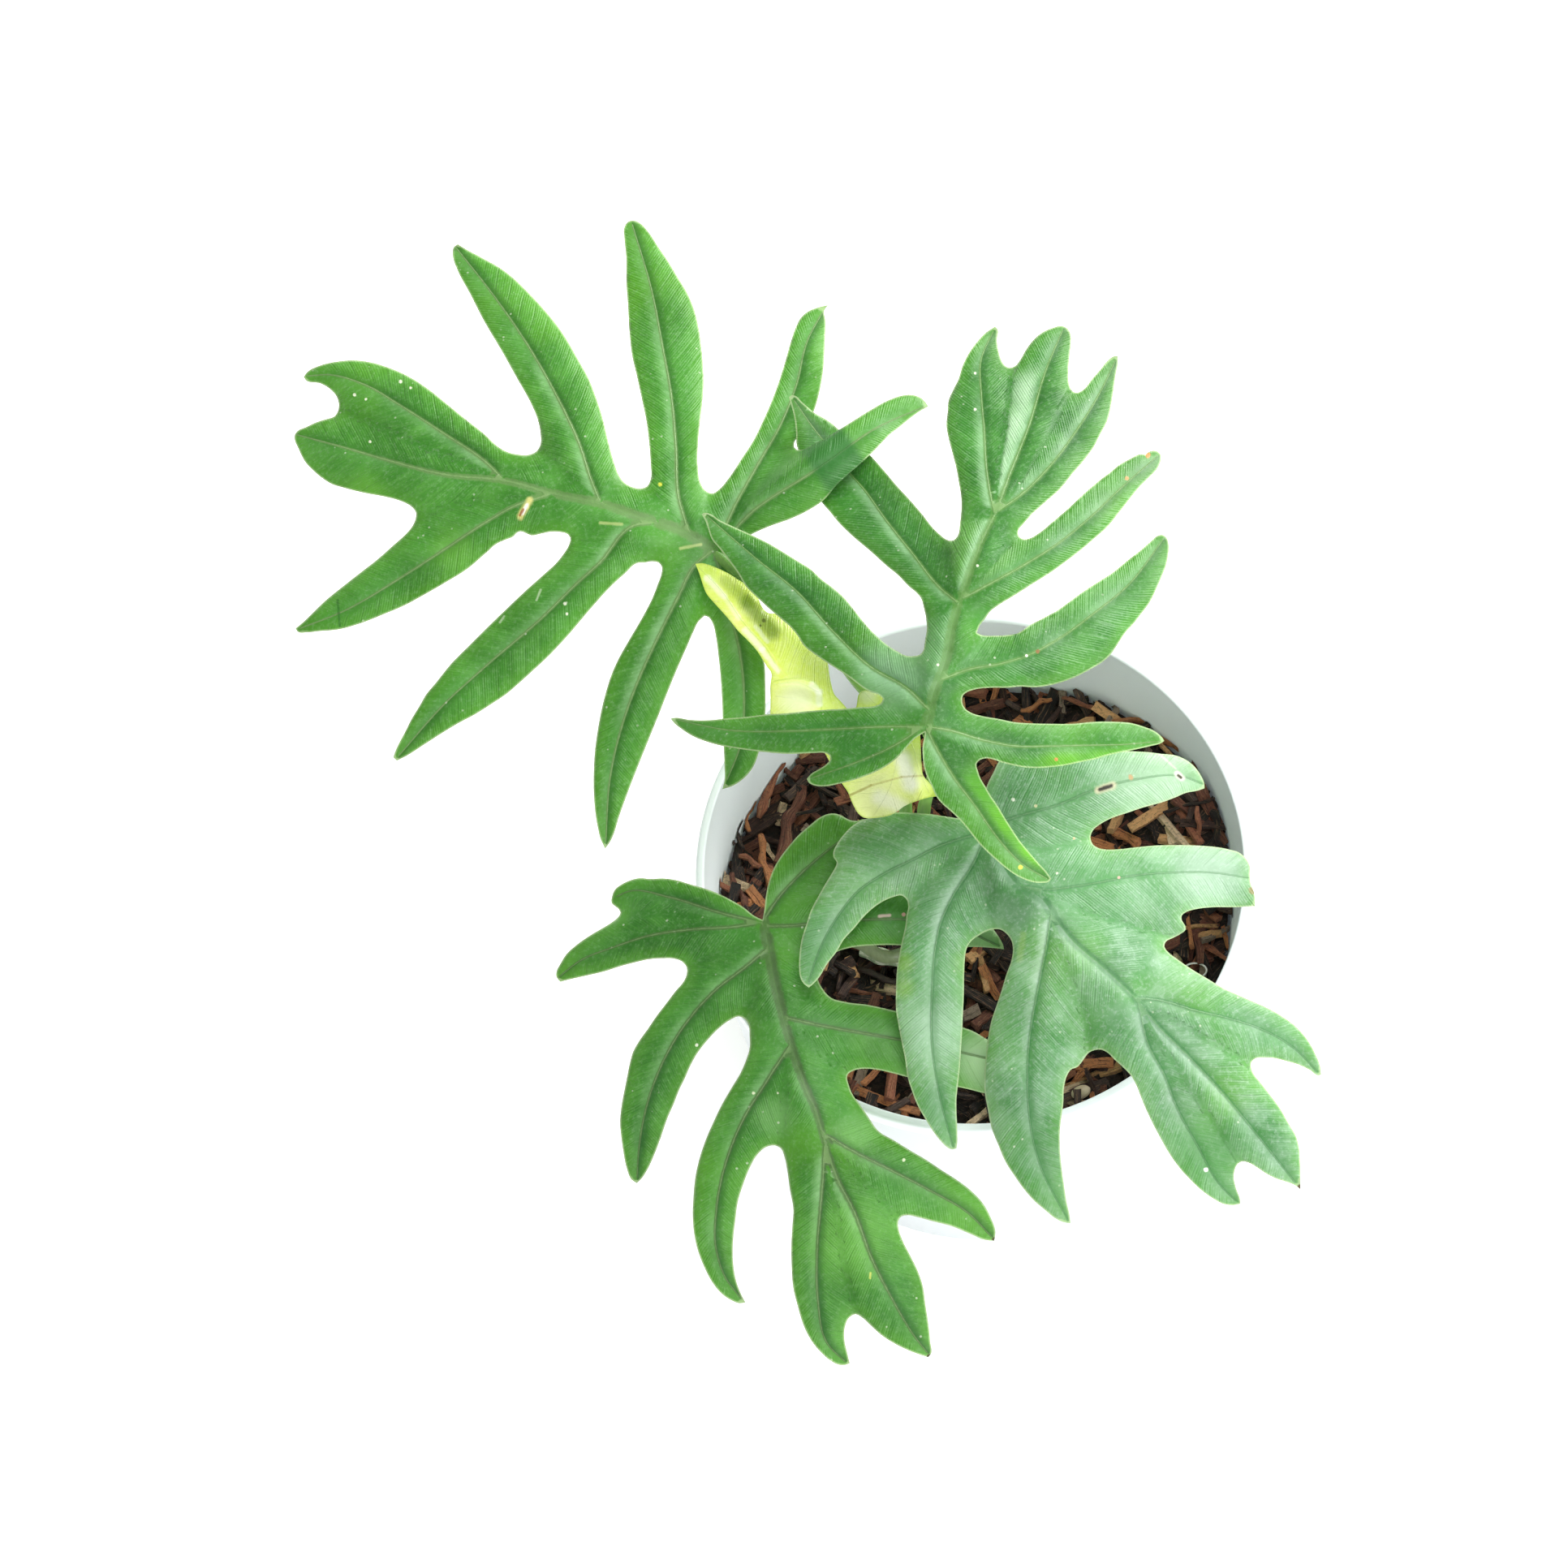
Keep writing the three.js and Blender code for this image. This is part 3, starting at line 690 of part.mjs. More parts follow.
// The young leaf in the middle, its blade still folded, with one lobe hanging down like a ribbon
const YOUNG = {
  outline: [
    -13.2, 33.5, -12.8, 29, -12.6, 25, -12.2, 22.3, -10.3, 20, -8.8, 17.1, -10.1, 17, -12.4, 16.4,
    -14.2, 15.8, -17, 14.6, -18.9, 13.2, -20.5, 12.4, -22.3, 12, -23.8, 11.8, -25.4, 11.7, -26.9, 11.9,
    -28.2, 12.9, -29.2, 14.5, -30, 16.2, -30.7, 18, -32.1, 20.1, -34, 23, -36, 27, -39, 31, -44, 34,
    -49.7, 36, -49.8, 40, -49.9, 44.3, -49.8, 47.9, -50.6, 48.9, -51.5, 50.4, -53.1, 52.9, -55.1, 55.2,
    -57.8, 57.9, -59.9, 60.5, -61.8, 62.7, -63.9, 65, -65.6, 67.1, -66.6, 69.6, -67.4, 72.1,
    -68.3, 74.4, -66.7, 74.6, -65.1, 74.2, -62.8, 73.3, -60.1, 72, -57.8, 70.5, -56.3, 69.6,
    -54.4, 67.8, -52.9, 66, -52.1, 64.2, -51.3, 63, -50.3, 62.3, -49, 62.2, -46, 62, -43, 59.5,
    -40, 56, -37.4, 52.8, -35.7, 49.9, -35.4, 47.6, -34.9, 44.9, -34.1, 42.3, -32.6, 40.6, -31.2, 39,
    -30.2, 37.4, -29.2, 37.6, -28.6, 39.6, -27.9, 42.6, -27.3, 43.1, -25.6, 43.2, -23.6, 42.8, -21, 42,
    -17.5, 39.5, -14.4, 36.5,
  ],
  veins: [
    [-19, 35, 61, -30, 37, 61.5, -38, 40.5, 62, -46, 46.5, 62, -51, 54, 62, -56, 59.5, 62,
      -62, 68, 62.5, -68.2, 74.3, 63],
    [-19, 34.5, 61, -18.5, 28, 59.5, -19.5, 22, 53, -21.5, 17, 43.5, -24.5, 12.3, 33.5],
    [-18.5, 34.5, 61, -15, 30, 60.5, -13.3, 24, 59, -10.8, 18, 54.5],
    [-19, 35.2, 61, -23, 39, 61.5, -26.5, 42.5, 62],
  ],
  thickness: RIBBON_THICKNESS,
  around: 3.3,
  route: [[-20.3, -3, 4], [-20.8, 10, 26], [-19.2, 22, 42], [-18.8, 30, 54.5], [-19, 34.8, 60]],
};

const group = new THREE.Group();
group.name = 'potted_philodendron_mayoi';
group.add(toMesh('pot', potSolid(), 0xf1f0ec, 0.45));
group.add(toMesh('bark_bed', barkSolid(), 0x3a2a22, 0.9));
group.add(toMesh('stem', stemSolid(0), 0x8f9a78, 0.6));
group.add(toMesh('leaf_upper_left', leafSolid(UPPER_LEFT), 0x4c8f2c, 0.4));
group.add(toMesh('leaf_upper_right', leafSolid(UPPER_RIGHT), 0x58962f, 0.4));
group.add(toMesh('leaf_lower_right', leafSolid(LOWER_RIGHT), 0x4a7c4a, 0.45));
group.add(toMesh('leaf_lower_left', leafSolid(LOWER_LEFT), 0x4f8a35, 0.4));
group.add(toMesh('leaf_young', leafSolid(YOUNG), 0x9fc03e, 0.35));

export default group;
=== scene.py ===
"""The looks of a potted philodendron mayoi: pot, bark, stem and five lobed leaves."""
import math
import bpy
import numpy as np
from mathutils import Matrix, Vector
from mathutils.geometry import delaunay_2d_cdt


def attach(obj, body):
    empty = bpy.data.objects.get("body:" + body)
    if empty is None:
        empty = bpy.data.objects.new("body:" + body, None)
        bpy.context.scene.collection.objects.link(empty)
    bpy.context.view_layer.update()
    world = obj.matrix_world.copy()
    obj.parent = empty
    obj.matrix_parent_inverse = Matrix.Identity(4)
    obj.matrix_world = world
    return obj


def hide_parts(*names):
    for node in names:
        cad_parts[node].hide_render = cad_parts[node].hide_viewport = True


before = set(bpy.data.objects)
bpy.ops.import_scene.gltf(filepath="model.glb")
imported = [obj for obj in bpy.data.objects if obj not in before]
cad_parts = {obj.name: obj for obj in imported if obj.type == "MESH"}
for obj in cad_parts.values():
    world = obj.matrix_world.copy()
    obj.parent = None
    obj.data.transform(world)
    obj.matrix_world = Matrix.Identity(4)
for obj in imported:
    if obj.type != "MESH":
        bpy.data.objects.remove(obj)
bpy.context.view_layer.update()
MM = 0.001


# Pot
# A thin, white, injection-moulded plastic pot with a slight taper and a low collar at the rim.
# It is one moulding, satin outside and in, with drain holes in its base.
POT_HEIGHT = 115.0
RIM_OUTER = 68.6
RIM_INNER = 66.4
BASE_RADIUS = 62.0
WALL = 1.8
COLLAR = 6.0
FLOOR_TOP = 2.4
POT_SIDES = 160
DRAIN_RADIUS = 3.0
DRAIN_CIRCLE = 34.0
DRAIN_HOLES = 6
DRAIN_SIDES = 24
DRAIN_TURN = 0.1
CUTTER_LENGTH = 12.0
# The middle of the wall's thickness: its radius at the foot and its slope, in mm for each mm of height
WALL_MIDDLE = 61.0
WALL_SLOPE = 0.0535


def linear(code):
    """The linear colour of an sRGB hex code."""
    parts = [int(code[i:i + 2], 16) / 255 for i in (1, 3, 5)]
    return tuple(c / 12.92 if c <= 0.04045 else ((c + 0.055) / 1.055) ** 2.4 for c in parts) + (1.0,)


def add(tree, kind, inputs=None, **settings):
    """A new node with its settings made and its sockets filled with values or links."""
    made = tree.nodes.new(kind)
    for name, value in settings.items():
        setattr(made, name, value)
    for key, value in (inputs or {}).items():
        if isinstance(value, bpy.types.NodeSocket):
            tree.links.new(value, made.inputs[key])
        else:
            made.inputs[key].default_value = value
    return made


def maths(tree, operation, a, b=0.0, c=0.0):
    """The result of one maths node."""
    return add(tree, "ShaderNodeMath", {0: a, 1: b, 2: c}, operation=operation).outputs[0]


def blend(tree, share, a, b):
    """Two colours mixed by a share."""
    made = add(tree, "ShaderNodeMix", {0: share, 6: a, 7: b}, data_type="RGBA", blend_type="MIX")
    return made.outputs[2]


def ramp(tree, value, low, high, to_low=0.0, to_high=1.0):
    """A value carried smoothly from one range to another and held at its ends."""
    made = add(tree, "ShaderNodeMapRange", {0: value, 1: low, 2: high, 3: to_low, 4: to_high},
               interpolation_type="SMOOTHSTEP")
    return made.outputs[0]


def noise(tree, where, scale, detail=4.0, roughness=0.55):
    """Noise from 0 to 1 with so many features a metre."""
    made = add(tree, "ShaderNodeTexNoise", {"Vector": where, "Scale": scale, "Detail": detail,
                                            "Roughness": roughness})
    return made.outputs["Fac"]


def material(name):
    """An empty node material, its tree, its shader and its object coordinates."""
    made = bpy.data.materials.new(name)
    made.use_nodes = True
    tree = made.node_tree
    shader = tree.nodes["Principled BSDF"]
    where = add(tree, "ShaderNodeTexCoord").outputs["Object"]
    return made, tree, shader, where


def bump(tree, shader, height, distance):
    """The shader's surface roughened by a height."""
    made = add(tree, "ShaderNodeBump", {"Height": height, "Distance": distance, "Strength": 1.0})
    tree.links.new(made.outputs["Normal"], shader.inputs["Normal"])


def coat(tree, shader, colour, roughness=0.5):
    """The shader given a colour and a roughness."""
    tree.links.new(colour, shader.inputs["Base Color"])
    shader.inputs["Roughness"].default_value = roughness


def let_through(tree, shader, colour, share):
    """A share of the light let through in a colour, and the rest left to the shader."""
    glow = add(tree, "ShaderNodeBsdfTranslucent", {"Color": colour})
    mixed = add(tree, "ShaderNodeMixShader", {0: share, 1: shader.outputs[0], 2: glow.outputs[0]})
    tree.links.new(mixed.outputs[0], tree.nodes["Material Output"].inputs["Surface"])


def build_mesh(name, corners, faces, materials, face_slots=None, smooth=True):
    """An object from corners in metres and faces, with its materials."""
    mesh = bpy.data.meshes.new(name)
    mesh.from_pydata([tuple(c) for c in corners], [], [tuple(f) for f in faces])
    for each in materials:
        mesh.materials.append(each)
    if face_slots is not None:
        mesh.polygons.foreach_set("material_index", np.asarray(face_slots, dtype=np.int32))
    mesh.polygons.foreach_set("use_smooth", [smooth] * len(mesh.polygons))
    mesh.update()
    made = bpy.data.objects.new(name, mesh)
    bpy.context.scene.collection.objects.link(made)
    return made


def lathe(profile, sides):
    """Corners and faces of a closed profile of radius and height turned round the axis."""
    corners = []
    for radius, height in profile:
        for k in range(sides):
            angle = 2 * math.pi * k / sides
            corners.append((radius * math.cos(angle), radius * math.sin(angle), height))
    faces = []
    count = len(profile)
    for i in range(count - 1):
        for k in range(sides):
            after = (k + 1) % sides
            faces.append((i * sides + k, i * sides + after, (i + 1) * sides + after, (i + 1) * sides + k))
    faces.append(tuple(reversed(range(sides))))
    faces.append(tuple((count - 1) * sides + k for k in range(sides)))
    return np.array(corners) * MM, faces


def rounded(centre, radius, start, end, steps=5):
    """Points of an arc in a profile, angles in degrees."""
    turned = [math.radians(start + (end - start) * i / steps) for i in range(steps + 1)]
    return [(centre[0] + radius * math.cos(t), centre[1] + radius * math.sin(t)) for t in turned]


wall_top = POT_HEIGHT - COLLAR
pot_profile = [(0.01, 0.0), (BASE_RADIUS - 4, 0.0)]
pot_profile += rounded((BASE_RADIUS - 1.5, 1.5), 1.5, -90, 0)
pot_profile += [(RIM_OUTER - 1.0, wall_top - 0.3), (RIM_OUTER - 0.85, wall_top + 0.1)]
pot_profile += [(RIM_OUTER - 0.2, wall_top + 0.5), (RIM_OUTER, wall_top + 1.0)]
pot_profile += rounded((RIM_OUTER - 0.9, POT_HEIGHT - 0.9), 0.9, 0, 90)
pot_profile += rounded((RIM_INNER + 0.6, POT_HEIGHT - 0.6), 0.6, 90, 180)
pot_profile += [(BASE_RADIUS - WALL + 0.3, FLOOR_TOP + 3), (BASE_RADIUS - WALL - 2, FLOOR_TOP)]
pot_profile += [(0.01, FLOOR_TOP)]
corners, faces = lathe(pot_profile, POT_SIDES)

pot_plastic, tree, shader, where = material("white_pot_plastic")
# White polypropylene, plain and even, thin enough to let some light through
paint = blend(tree, noise(tree, where, 12.0, 2.0), linear("#f2f7fa"), linear("#f6fafd"))
# The outside below the collar is a little greyer
axes = add(tree, "ShaderNodeSeparateXYZ", {0: where}).outputs
flat = add(tree, "ShaderNodeCombineXYZ", {0: axes[0], 1: axes[1]}).outputs[0]
reach = add(tree, "ShaderNodeVectorMath", {0: flat}, operation="LENGTH").outputs["Value"]
middle = maths(tree, "ADD", maths(tree, "MULTIPLY", axes[2], WALL_SLOPE), WALL_MIDDLE * MM)
outside = ramp(tree, maths(tree, "SUBTRACT", reach, middle), -0.0002, 0.0002)
body = ramp(tree, axes[2], (POT_HEIGHT - COLLAR) * MM, (POT_HEIGHT - COLLAR - 1) * MM)
paint = blend(tree, maths(tree, "MULTIPLY", outside, body), paint, linear("#dfe5e8"))
coat(tree, shader, paint, 0.36)
shader.inputs["IOR"].default_value = 1.49
let_through(tree, shader, paint, 0.1)

pot = build_mesh("pot_moulding", corners, faces, [pot_plastic])
for k in range(DRAIN_HOLES):
    angle = 2 * math.pi * k / DRAIN_HOLES
    spot = (DRAIN_CIRCLE * math.cos(angle) * MM, DRAIN_CIRCLE * math.sin(angle) * MM, 0)
    # Turned a little, so that no corner of a hole lies on an edge of the pot's floor
    bpy.ops.mesh.primitive_cylinder_add(vertices=DRAIN_SIDES, radius=DRAIN_RADIUS * MM,
                                        depth=CUTTER_LENGTH * MM, location=spot, rotation=(0, 0, DRAIN_TURN))
    cutter = bpy.context.object
    cut = pot.modifiers.new("drain", "BOOLEAN")
    cut.operation = "DIFFERENCE"
    cut.solver = "EXACT"
    cut.object = cutter
    solid = bpy.data.meshes.new_from_object(pot.evaluated_get(bpy.context.evaluated_depsgraph_get()))
    pot.modifiers.remove(cut)
    pot.data = solid
    bpy.data.objects.remove(cutter)
pot.data.set_sharp_from_angle(angle=math.radians(40))
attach(pot, "root")
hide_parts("pot")


# Bark bed
# Coarse chips and splinters of bark, brown-black, reddish and tan, poured loose into the pot.
# They lie flat or lean on each other and pile up against the pot's left and right walls.
BARK_LEVEL = 77.0
BARK_RADIUS = 63.6
SLOPE_RINGS = 26
SLOPE_SIDES = 72
# How far out the bark reaches: the dark core at height 0, its foot, and the chips at height 0
CORE_RADIUS = 59.4
CORE_FOOT = 59.6
CORE_FOOT_HEIGHT = 2.9
CHIP_REACH = 60.0
# Where the bark is heaped: x, y, height and spread in mm
HEAPS = [(-62, 6, 11, 23), (64, 14, 19, 22), (46, 44, 10, 26)]


def bark_height(x, y):
    """The height of the heap in mm at a place in mm."""
    pile = sum(rise * math.exp(-((x - px) ** 2 + (y - py) ** 2) / spread ** 2)
               for px, py, rise, spread in HEAPS)
    waves = 0.9 * math.sin(x / 8.0 + 1.0) * math.cos(y / 9.5) + 0.5 * math.sin((x + y) / 4.7)
    return BARK_LEVEL + pile + waves


heap = [(0.0, 0.0, bark_height(0, 0))]
for ring in range(1, SLOPE_RINGS + 1):
    for k in range(SLOPE_SIDES):
        angle = 2 * math.pi * k / SLOPE_SIDES
        level = bark_height(BARK_RADIUS * math.cos(angle), BARK_RADIUS * math.sin(angle))
        radius = (CORE_RADIUS + WALL_SLOPE * level) * ring / SLOPE_RINGS
        x, y = radius * math.cos(angle), radius * math.sin(angle)
        heap.append((x, y, bark_height(x, y)))
heap_faces = [(0, 1 + k, 1 + (k + 1) % SLOPE_SIDES) for k in range(SLOPE_SIDES)]
for ring in range(SLOPE_RINGS - 1):
    inner, outer = 1 + ring * SLOPE_SIDES, 1 + (ring + 1) * SLOPE_SIDES
    for k in range(SLOPE_SIDES):
        after = (k + 1) % SLOPE_SIDES
        heap_faces.append((inner + k, outer + k, outer + after, inner + after))
last = 1 + (SLOPE_RINGS - 1) * SLOPE_SIDES
first_low = len(heap)
for k in range(SLOPE_SIDES):
    angle = 2 * math.pi * k / SLOPE_SIDES
    heap.append((CORE_FOOT * math.cos(angle), CORE_FOOT * math.sin(angle), CORE_FOOT_HEIGHT))
    after = (k + 1) % SLOPE_SIDES
    heap_faces.append((last + k, first_low + k, first_low + after, last + after))
heap_faces.append(tuple(first_low + k for k in reversed(range(SLOPE_SIDES))))

crumbs_and_gap_shade, tree, shader, where = material("bark_fines_and_gap_shade")
# Near-black under the chips: fine dark crumbs, and painted shade in the gaps between the chips
crumbs = noise(tree, where, 900.0, 6.0, 0.7)
coat(tree, shader, blend(tree, ramp(tree, crumbs, 0.35, 0.7), linear("#120d0a"), linear("#3a2a20")), 0.9)
bump(tree, shader, crumbs, 0.0012)

core = build_mesh("bark_fines_and_gap_shade", np.array(heap) * MM, heap_faces, [crumbs_and_gap_shade])
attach(core, "root")
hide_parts("bark_bed")

bark_chip, tree, shader, where = material("bark_chips")
# Split pine bark: each chip has its own tone, with grain along it and a rough broken face
tone = add(tree, "ShaderNodeAttribute", attribute_name="tone").outputs["Fac"]
shades = add(tree, "ShaderNodeValToRGB", {0: tone})
shades.color_ramp.interpolation = "CONSTANT"
stops = [(0.0, "#1d1512"), (0.2, "#47302a"), (0.33, "#7a4836"), (0.48, "#ad6a4c"), (0.6, "#5d4a42"),
         (0.68, "#d98c58"), (0.78, "#efb67c"), (0.85, "#2a1f1a"), (0.9, "#a8927f"), (0.94, "#fbdab2")]
bands = shades.color_ramp.elements
bands[0].position, bands[0].color = stops[0][0], linear(stops[0][1])
bands[1].position, bands[1].color = stops[-1][0], linear(stops[-1][1])
for place, code in stops[1:-1]:
    band = bands.new(place)
    band.color = linear(code)
fibre = add(tree, "ShaderNodeAttribute", attribute_name="fibre").outputs["Vector"]
drawn = add(tree, "ShaderNodeVectorMath", {0: fibre, 1: (1.6, 5.0, 4.0)}, operation="MULTIPLY").outputs[0]
own = add(tree, "ShaderNodeVectorMath", {0: (37.0, 51.0, 23.0), "Scale": tone}, operation="SCALE").outputs[0]
drawn = add(tree, "ShaderNodeVectorMath", {0: drawn, 1: own}, operation="ADD").outputs[0]
strands = noise(tree, drawn, 1.8, 5.0, 0.7)
grain = noise(tree, where, 1500.0, 5.0, 0.7)
patches = noise(tree, where, 350.0, 3.0)
worn = blend(tree, ramp(tree, strands, 0.52, 0.7, 0.0, 0.6), shades.outputs[0], linear("#c99a72"))
worn = blend(tree, ramp(tree, strands, 0.48, 0.32, 0.0, 0.85), worn, linear("#1a110d"))
worn = blend(tree, ramp(tree, patches, 0.55, 0.8, 0.0, 0.4), worn, linear("#7d5038"))
coat(tree, shader, blend(tree, ramp(tree, grain, 0.35, 0.5, 0.45, 0.0), worn, linear("#0f0b09")), 0.78)
rough = maths(tree, "ADD", maths(tree, "MULTIPLY", strands, 2.0), grain)
bump(tree, shader, rough, 0.0006)


def chip_tree(name, mat):
    """Geometry nodes that scatter bark chips over a surface, as one mesh with a tone for each chip."""
    made = bpy.data.node_groups.new(name, "GeometryNodeTree")
    face = made.interface
    face.new_socket("Geometry", in_out="INPUT", socket_type="NodeSocketGeometry")
    for label in ("Density", "Shortest", "Longest", "Lean", "Palest"):
        face.new_socket(label, in_out="INPUT", socket_type="NodeSocketFloat")
    face.new_socket("Seed", in_out="INPUT", socket_type="NodeSocketInt")
    face.new_socket("Geometry", in_out="OUTPUT", socket_type="NodeSocketGeometry")
    given = add(made, "NodeGroupInput").outputs
    seed = given["Seed"]
    points = add(made, "GeometryNodeDistributePointsOnFaces",
                 {"Mesh": given["Geometry"], "Density": given["Density"], "Seed": seed})
    block = add(made, "GeometryNodeMeshCube", {"Size": (1.0, 1.0, 1.0), "Vertices X": 5, "Vertices Y": 3,
                                               "Vertices Z": 2}).outputs["Mesh"]
    local = add(made, "GeometryNodeInputPosition").outputs[0]
    block = add(made, "GeometryNodeStoreNamedAttribute", {"Geometry": block, "Name": "fibre", "Value": local},
                data_type="FLOAT_VECTOR", domain="POINT").outputs[0]

    def chance(low, high, step):
        other = add(made, "ShaderNodeMath", {0: seed, 1: float(step)}, operation="ADD").outputs[0]
        return add(made, "FunctionNodeRandomValue", {2: low, 3: high, "Seed": other}).outputs[1]

    share = chance(0.0, 1.0, 1)
    share = add(made, "ShaderNodeMath", {0: share, 1: 1.8}, operation="POWER").outputs[0]
    length = add(made, "ShaderNodeMapRange", {0: share, 3: given["Shortest"], 4: given["Longest"]}).outputs[0]
    width = chance(0.8 * MM, 3.0 * MM, 2)
    depth = chance(0.8 * MM, 1.9 * MM, 3)
    size = add(made, "ShaderNodeCombineXYZ", {0: length, 1: width, 2: depth}).outputs[0]
    against = add(made, "ShaderNodeMath", {0: given["Lean"], 1: -1.0}, operation="MULTIPLY").outputs[0]
    lean_a = chance(against, given["Lean"], 4)
    lean_b = chance(against, given["Lean"], 5)
    turn = chance(0.0, 6.283, 6)
    angles = add(made, "ShaderNodeCombineXYZ", {0: lean_a, 1: lean_b, 2: turn}).outputs[0]
    placed = add(made, "GeometryNodeInstanceOnPoints",
                 {"Points": points.outputs["Points"], "Instance": block, "Rotation": angles, "Scale": size})
    toned = add(made, "GeometryNodeStoreNamedAttribute",
                {"Geometry": placed.outputs[0], "Name": "tone", "Value": chance(0.0, given["Palest"], 7)},
                data_type="FLOAT", domain="INSTANCE")
    real = add(made, "GeometryNodeRealizeInstances", {"Geometry": toned.outputs[0]})
    here = add(made, "GeometryNodeInputPosition").outputs[0]
    rough = add(made, "ShaderNodeTexNoise", {"Vector": here, "Scale": 330.0, "Detail": 3.0}).outputs["Color"]
    shove = add(made, "ShaderNodeVectorMath", {0: rough, 1: (0.5, 0.5, 0.5)}, operation="SUBTRACT").outputs[0]
    shove = add(made, "ShaderNodeVectorMath", {0: shove, "Scale": 1.9 * MM}, operation="SCALE").outputs[0]
    broken = add(made, "GeometryNodeSetPosition", {"Geometry": real.outputs[0], "Offset": shove})
    dressed = add(made, "GeometryNodeSetMaterial", {"Geometry": broken.outputs[0], "Material": mat})
    add(made, "NodeGroupOutput", {"Geometry": dressed.outputs[0]})
    return made


def kept_inside(spots):
    """Points in metres, pulled in where they would go into the pot's wall."""
    reach = np.hypot(spots[:, 0], spots[:, 1])
    wall = CHIP_REACH * MM + WALL_SLOPE * spots[:, 2]
    spots[:, :2] *= np.minimum(1.0, wall / np.maximum(reach, 1e-6))[:, None]
    return spots


def scatter_chips(name, corners, faces, values):
    """Chips scattered over a surface, made into a plain mesh and kept inside the pot."""
    made = build_mesh(name, corners, faces, [bark_chip])
    grower = made.modifiers.new("chips", "NODES")
    grower.node_group = chips
    for item in chips.interface.items_tree:
        if item.in_out == "INPUT" and item.name in values:
            grower[item.identifier] = values[item.name]
    mesh = bpy.data.meshes.new_from_object(made.evaluated_get(bpy.context.evaluated_depsgraph_get()))
    made.modifiers.remove(grower)
    made.data = mesh
    spots = np.empty(len(mesh.vertices) * 3, dtype=np.float32)
    mesh.vertices.foreach_get("co", spots)
    mesh.vertices.foreach_set("co", kept_inside(spots.reshape(-1, 3)).ravel())
    mesh.update()
    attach(made, "root")
    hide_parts("bark_bed")
    return made


chips = chip_tree("bark chips", bark_chip)
top_faces = [f for f in heap_faces if max(f) < first_low]
surface = np.array(heap[:first_low]) * MM
# The lower layer keeps to the darker half of the tones, as painted shade in the gaps between the upper chips
scatter_chips("bark_chips_lower", surface, top_faces,
              {"Density": 80000.0, "Shortest": 4 * MM, "Longest": 10 * MM, "Lean": 0.35, "Palest": 0.5,
               "Seed": 3})
raised = surface + np.array([0, 0, 1.6 * MM])
scatter_chips("bark_chips_upper", raised, top_faces,
              {"Density": 45000.0, "Shortest": 6 * MM, "Longest": 20 * MM, "Lean": 0.4, "Palest": 1.0,
               "Seed": 11})

# The photograph's camera as reckoned, with its distance assumed: its place in mm from the rim's
# centre, and its ways to the right, up and back
EYE = np.array([-42.558, -366.69, 930.751])
RIGHT = np.array([0.9864, -0.15119, -0.06443])
UP = np.array([0.16435, 0.90745, 0.38669])
TOWARDS = np.array([0.0, -0.39202, 0.91996])


def sight_points(x, y, z):
    """The points at heights z mm above the rim that the camera sees at x, y of the plane through the
    rim's centre, in mm. The plane faces the camera, and the leaves are drawn on it as it sees them."""
    x, y, z = np.atleast_1d(x), np.atleast_1d(y), np.atleast_1d(z)
    plane = x[:, None] * RIGHT + y[:, None] * UP
    share = (EYE[2] - z) / (EYE[2] - plane[:, 2])
    points = EYE + (plane - EYE) * share[:, None]
    points[:, 2] += POT_HEIGHT
    return points


def smooth_run(points, step, corner=2.0, closed=False):
    """Points of a smooth line through the given ones; it keeps a corner where it turns more than that."""
    points = np.array(points, dtype=float)
    count = len(points)
    after = np.roll(points, -1, axis=0) - points
    spans = np.maximum(np.linalg.norm(after, axis=1), 1e-9)
    run = []
    for i in range(count if closed else count - 1):
        tangents = []
        for j in (i, (i + 1) % count):
            before, ahead = after[j - 1] / spans[j - 1], after[j] / spans[j]
            if not closed and j == 0:
                tangents.append(ahead)
            elif not closed and j == count - 1:
                tangents.append(before)
            elif math.acos(max(-1.0, min(1.0, float(before @ ahead)))) > corner:
                tangents.append(ahead if j == i else before)
            else:
                share = spans[j - 1] / (spans[j - 1] + spans[j])
                tangents.append(before * (1 - share) + ahead * share)
        steps = max(1, round(spans[i] / step))
        a, b = points[i], points[(i + 1) % count]
        for k in range(steps):
            t = k / steps
            run.append(a * (2 * t ** 3 - 3 * t * t + 1) + b * (3 * t * t - 2 * t ** 3)
                       + spans[i] * (tangents[0] * (t ** 3 - 2 * t * t + t) + tangents[1] * (t ** 3 - t * t)))
    if not closed:
        run.append(points[-1])
    return np.array(run)


def tube(path, radii, sides=16):
    """Corners and faces of a closed round bar along a path in mm, with a radius at each point."""
    forward = np.gradient(path, axis=0)
    forward /= np.linalg.norm(forward, axis=1)[:, None]
    side = np.cross(forward[0], [0.31, 0.95, 0.05])
    corners, faces = [], []
    for i, point in enumerate(path):
        side = side - forward[i] * (side @ forward[i])
        side /= np.linalg.norm(side)
        over = np.cross(forward[i], side)
        for k in range(sides):
            angle = 2 * math.pi * k / sides
            corners.append(point + radii[i] * (math.cos(angle) * side + math.sin(angle) * over))
        if i:
            start = (i - 1) * sides
            for k in range(sides):
                after = (k + 1) % sides
                faces.append((start + k, start + after, start + sides + after, start + sides + k))
    faces.append(tuple(reversed(range(sides))))
    faces.append(tuple(len(corners) - sides + k for k in range(sides)))
    return np.array(corners), faces


def joined(parts):
    """Several lots of corners and faces as one."""
    corners, faces, start = [], [], 0
    for some, other in parts:
        corners.append(np.asarray(some))
        faces += [tuple(start + i for i in face) for face in other]
        start += len(some)
    return np.vstack(corners), faces


def on_bark(x, y, lift):
    """The point a little above the heap that the camera sees at x, y of its plane, in mm."""
    point = sight_points(x, y, BARK_LEVEL - POT_HEIGHT)[0]
    for _ in range(4):
        point = sight_points(x, y, bark_height(point[0], point[1]) - POT_HEIGHT + lift)[0]
    return point


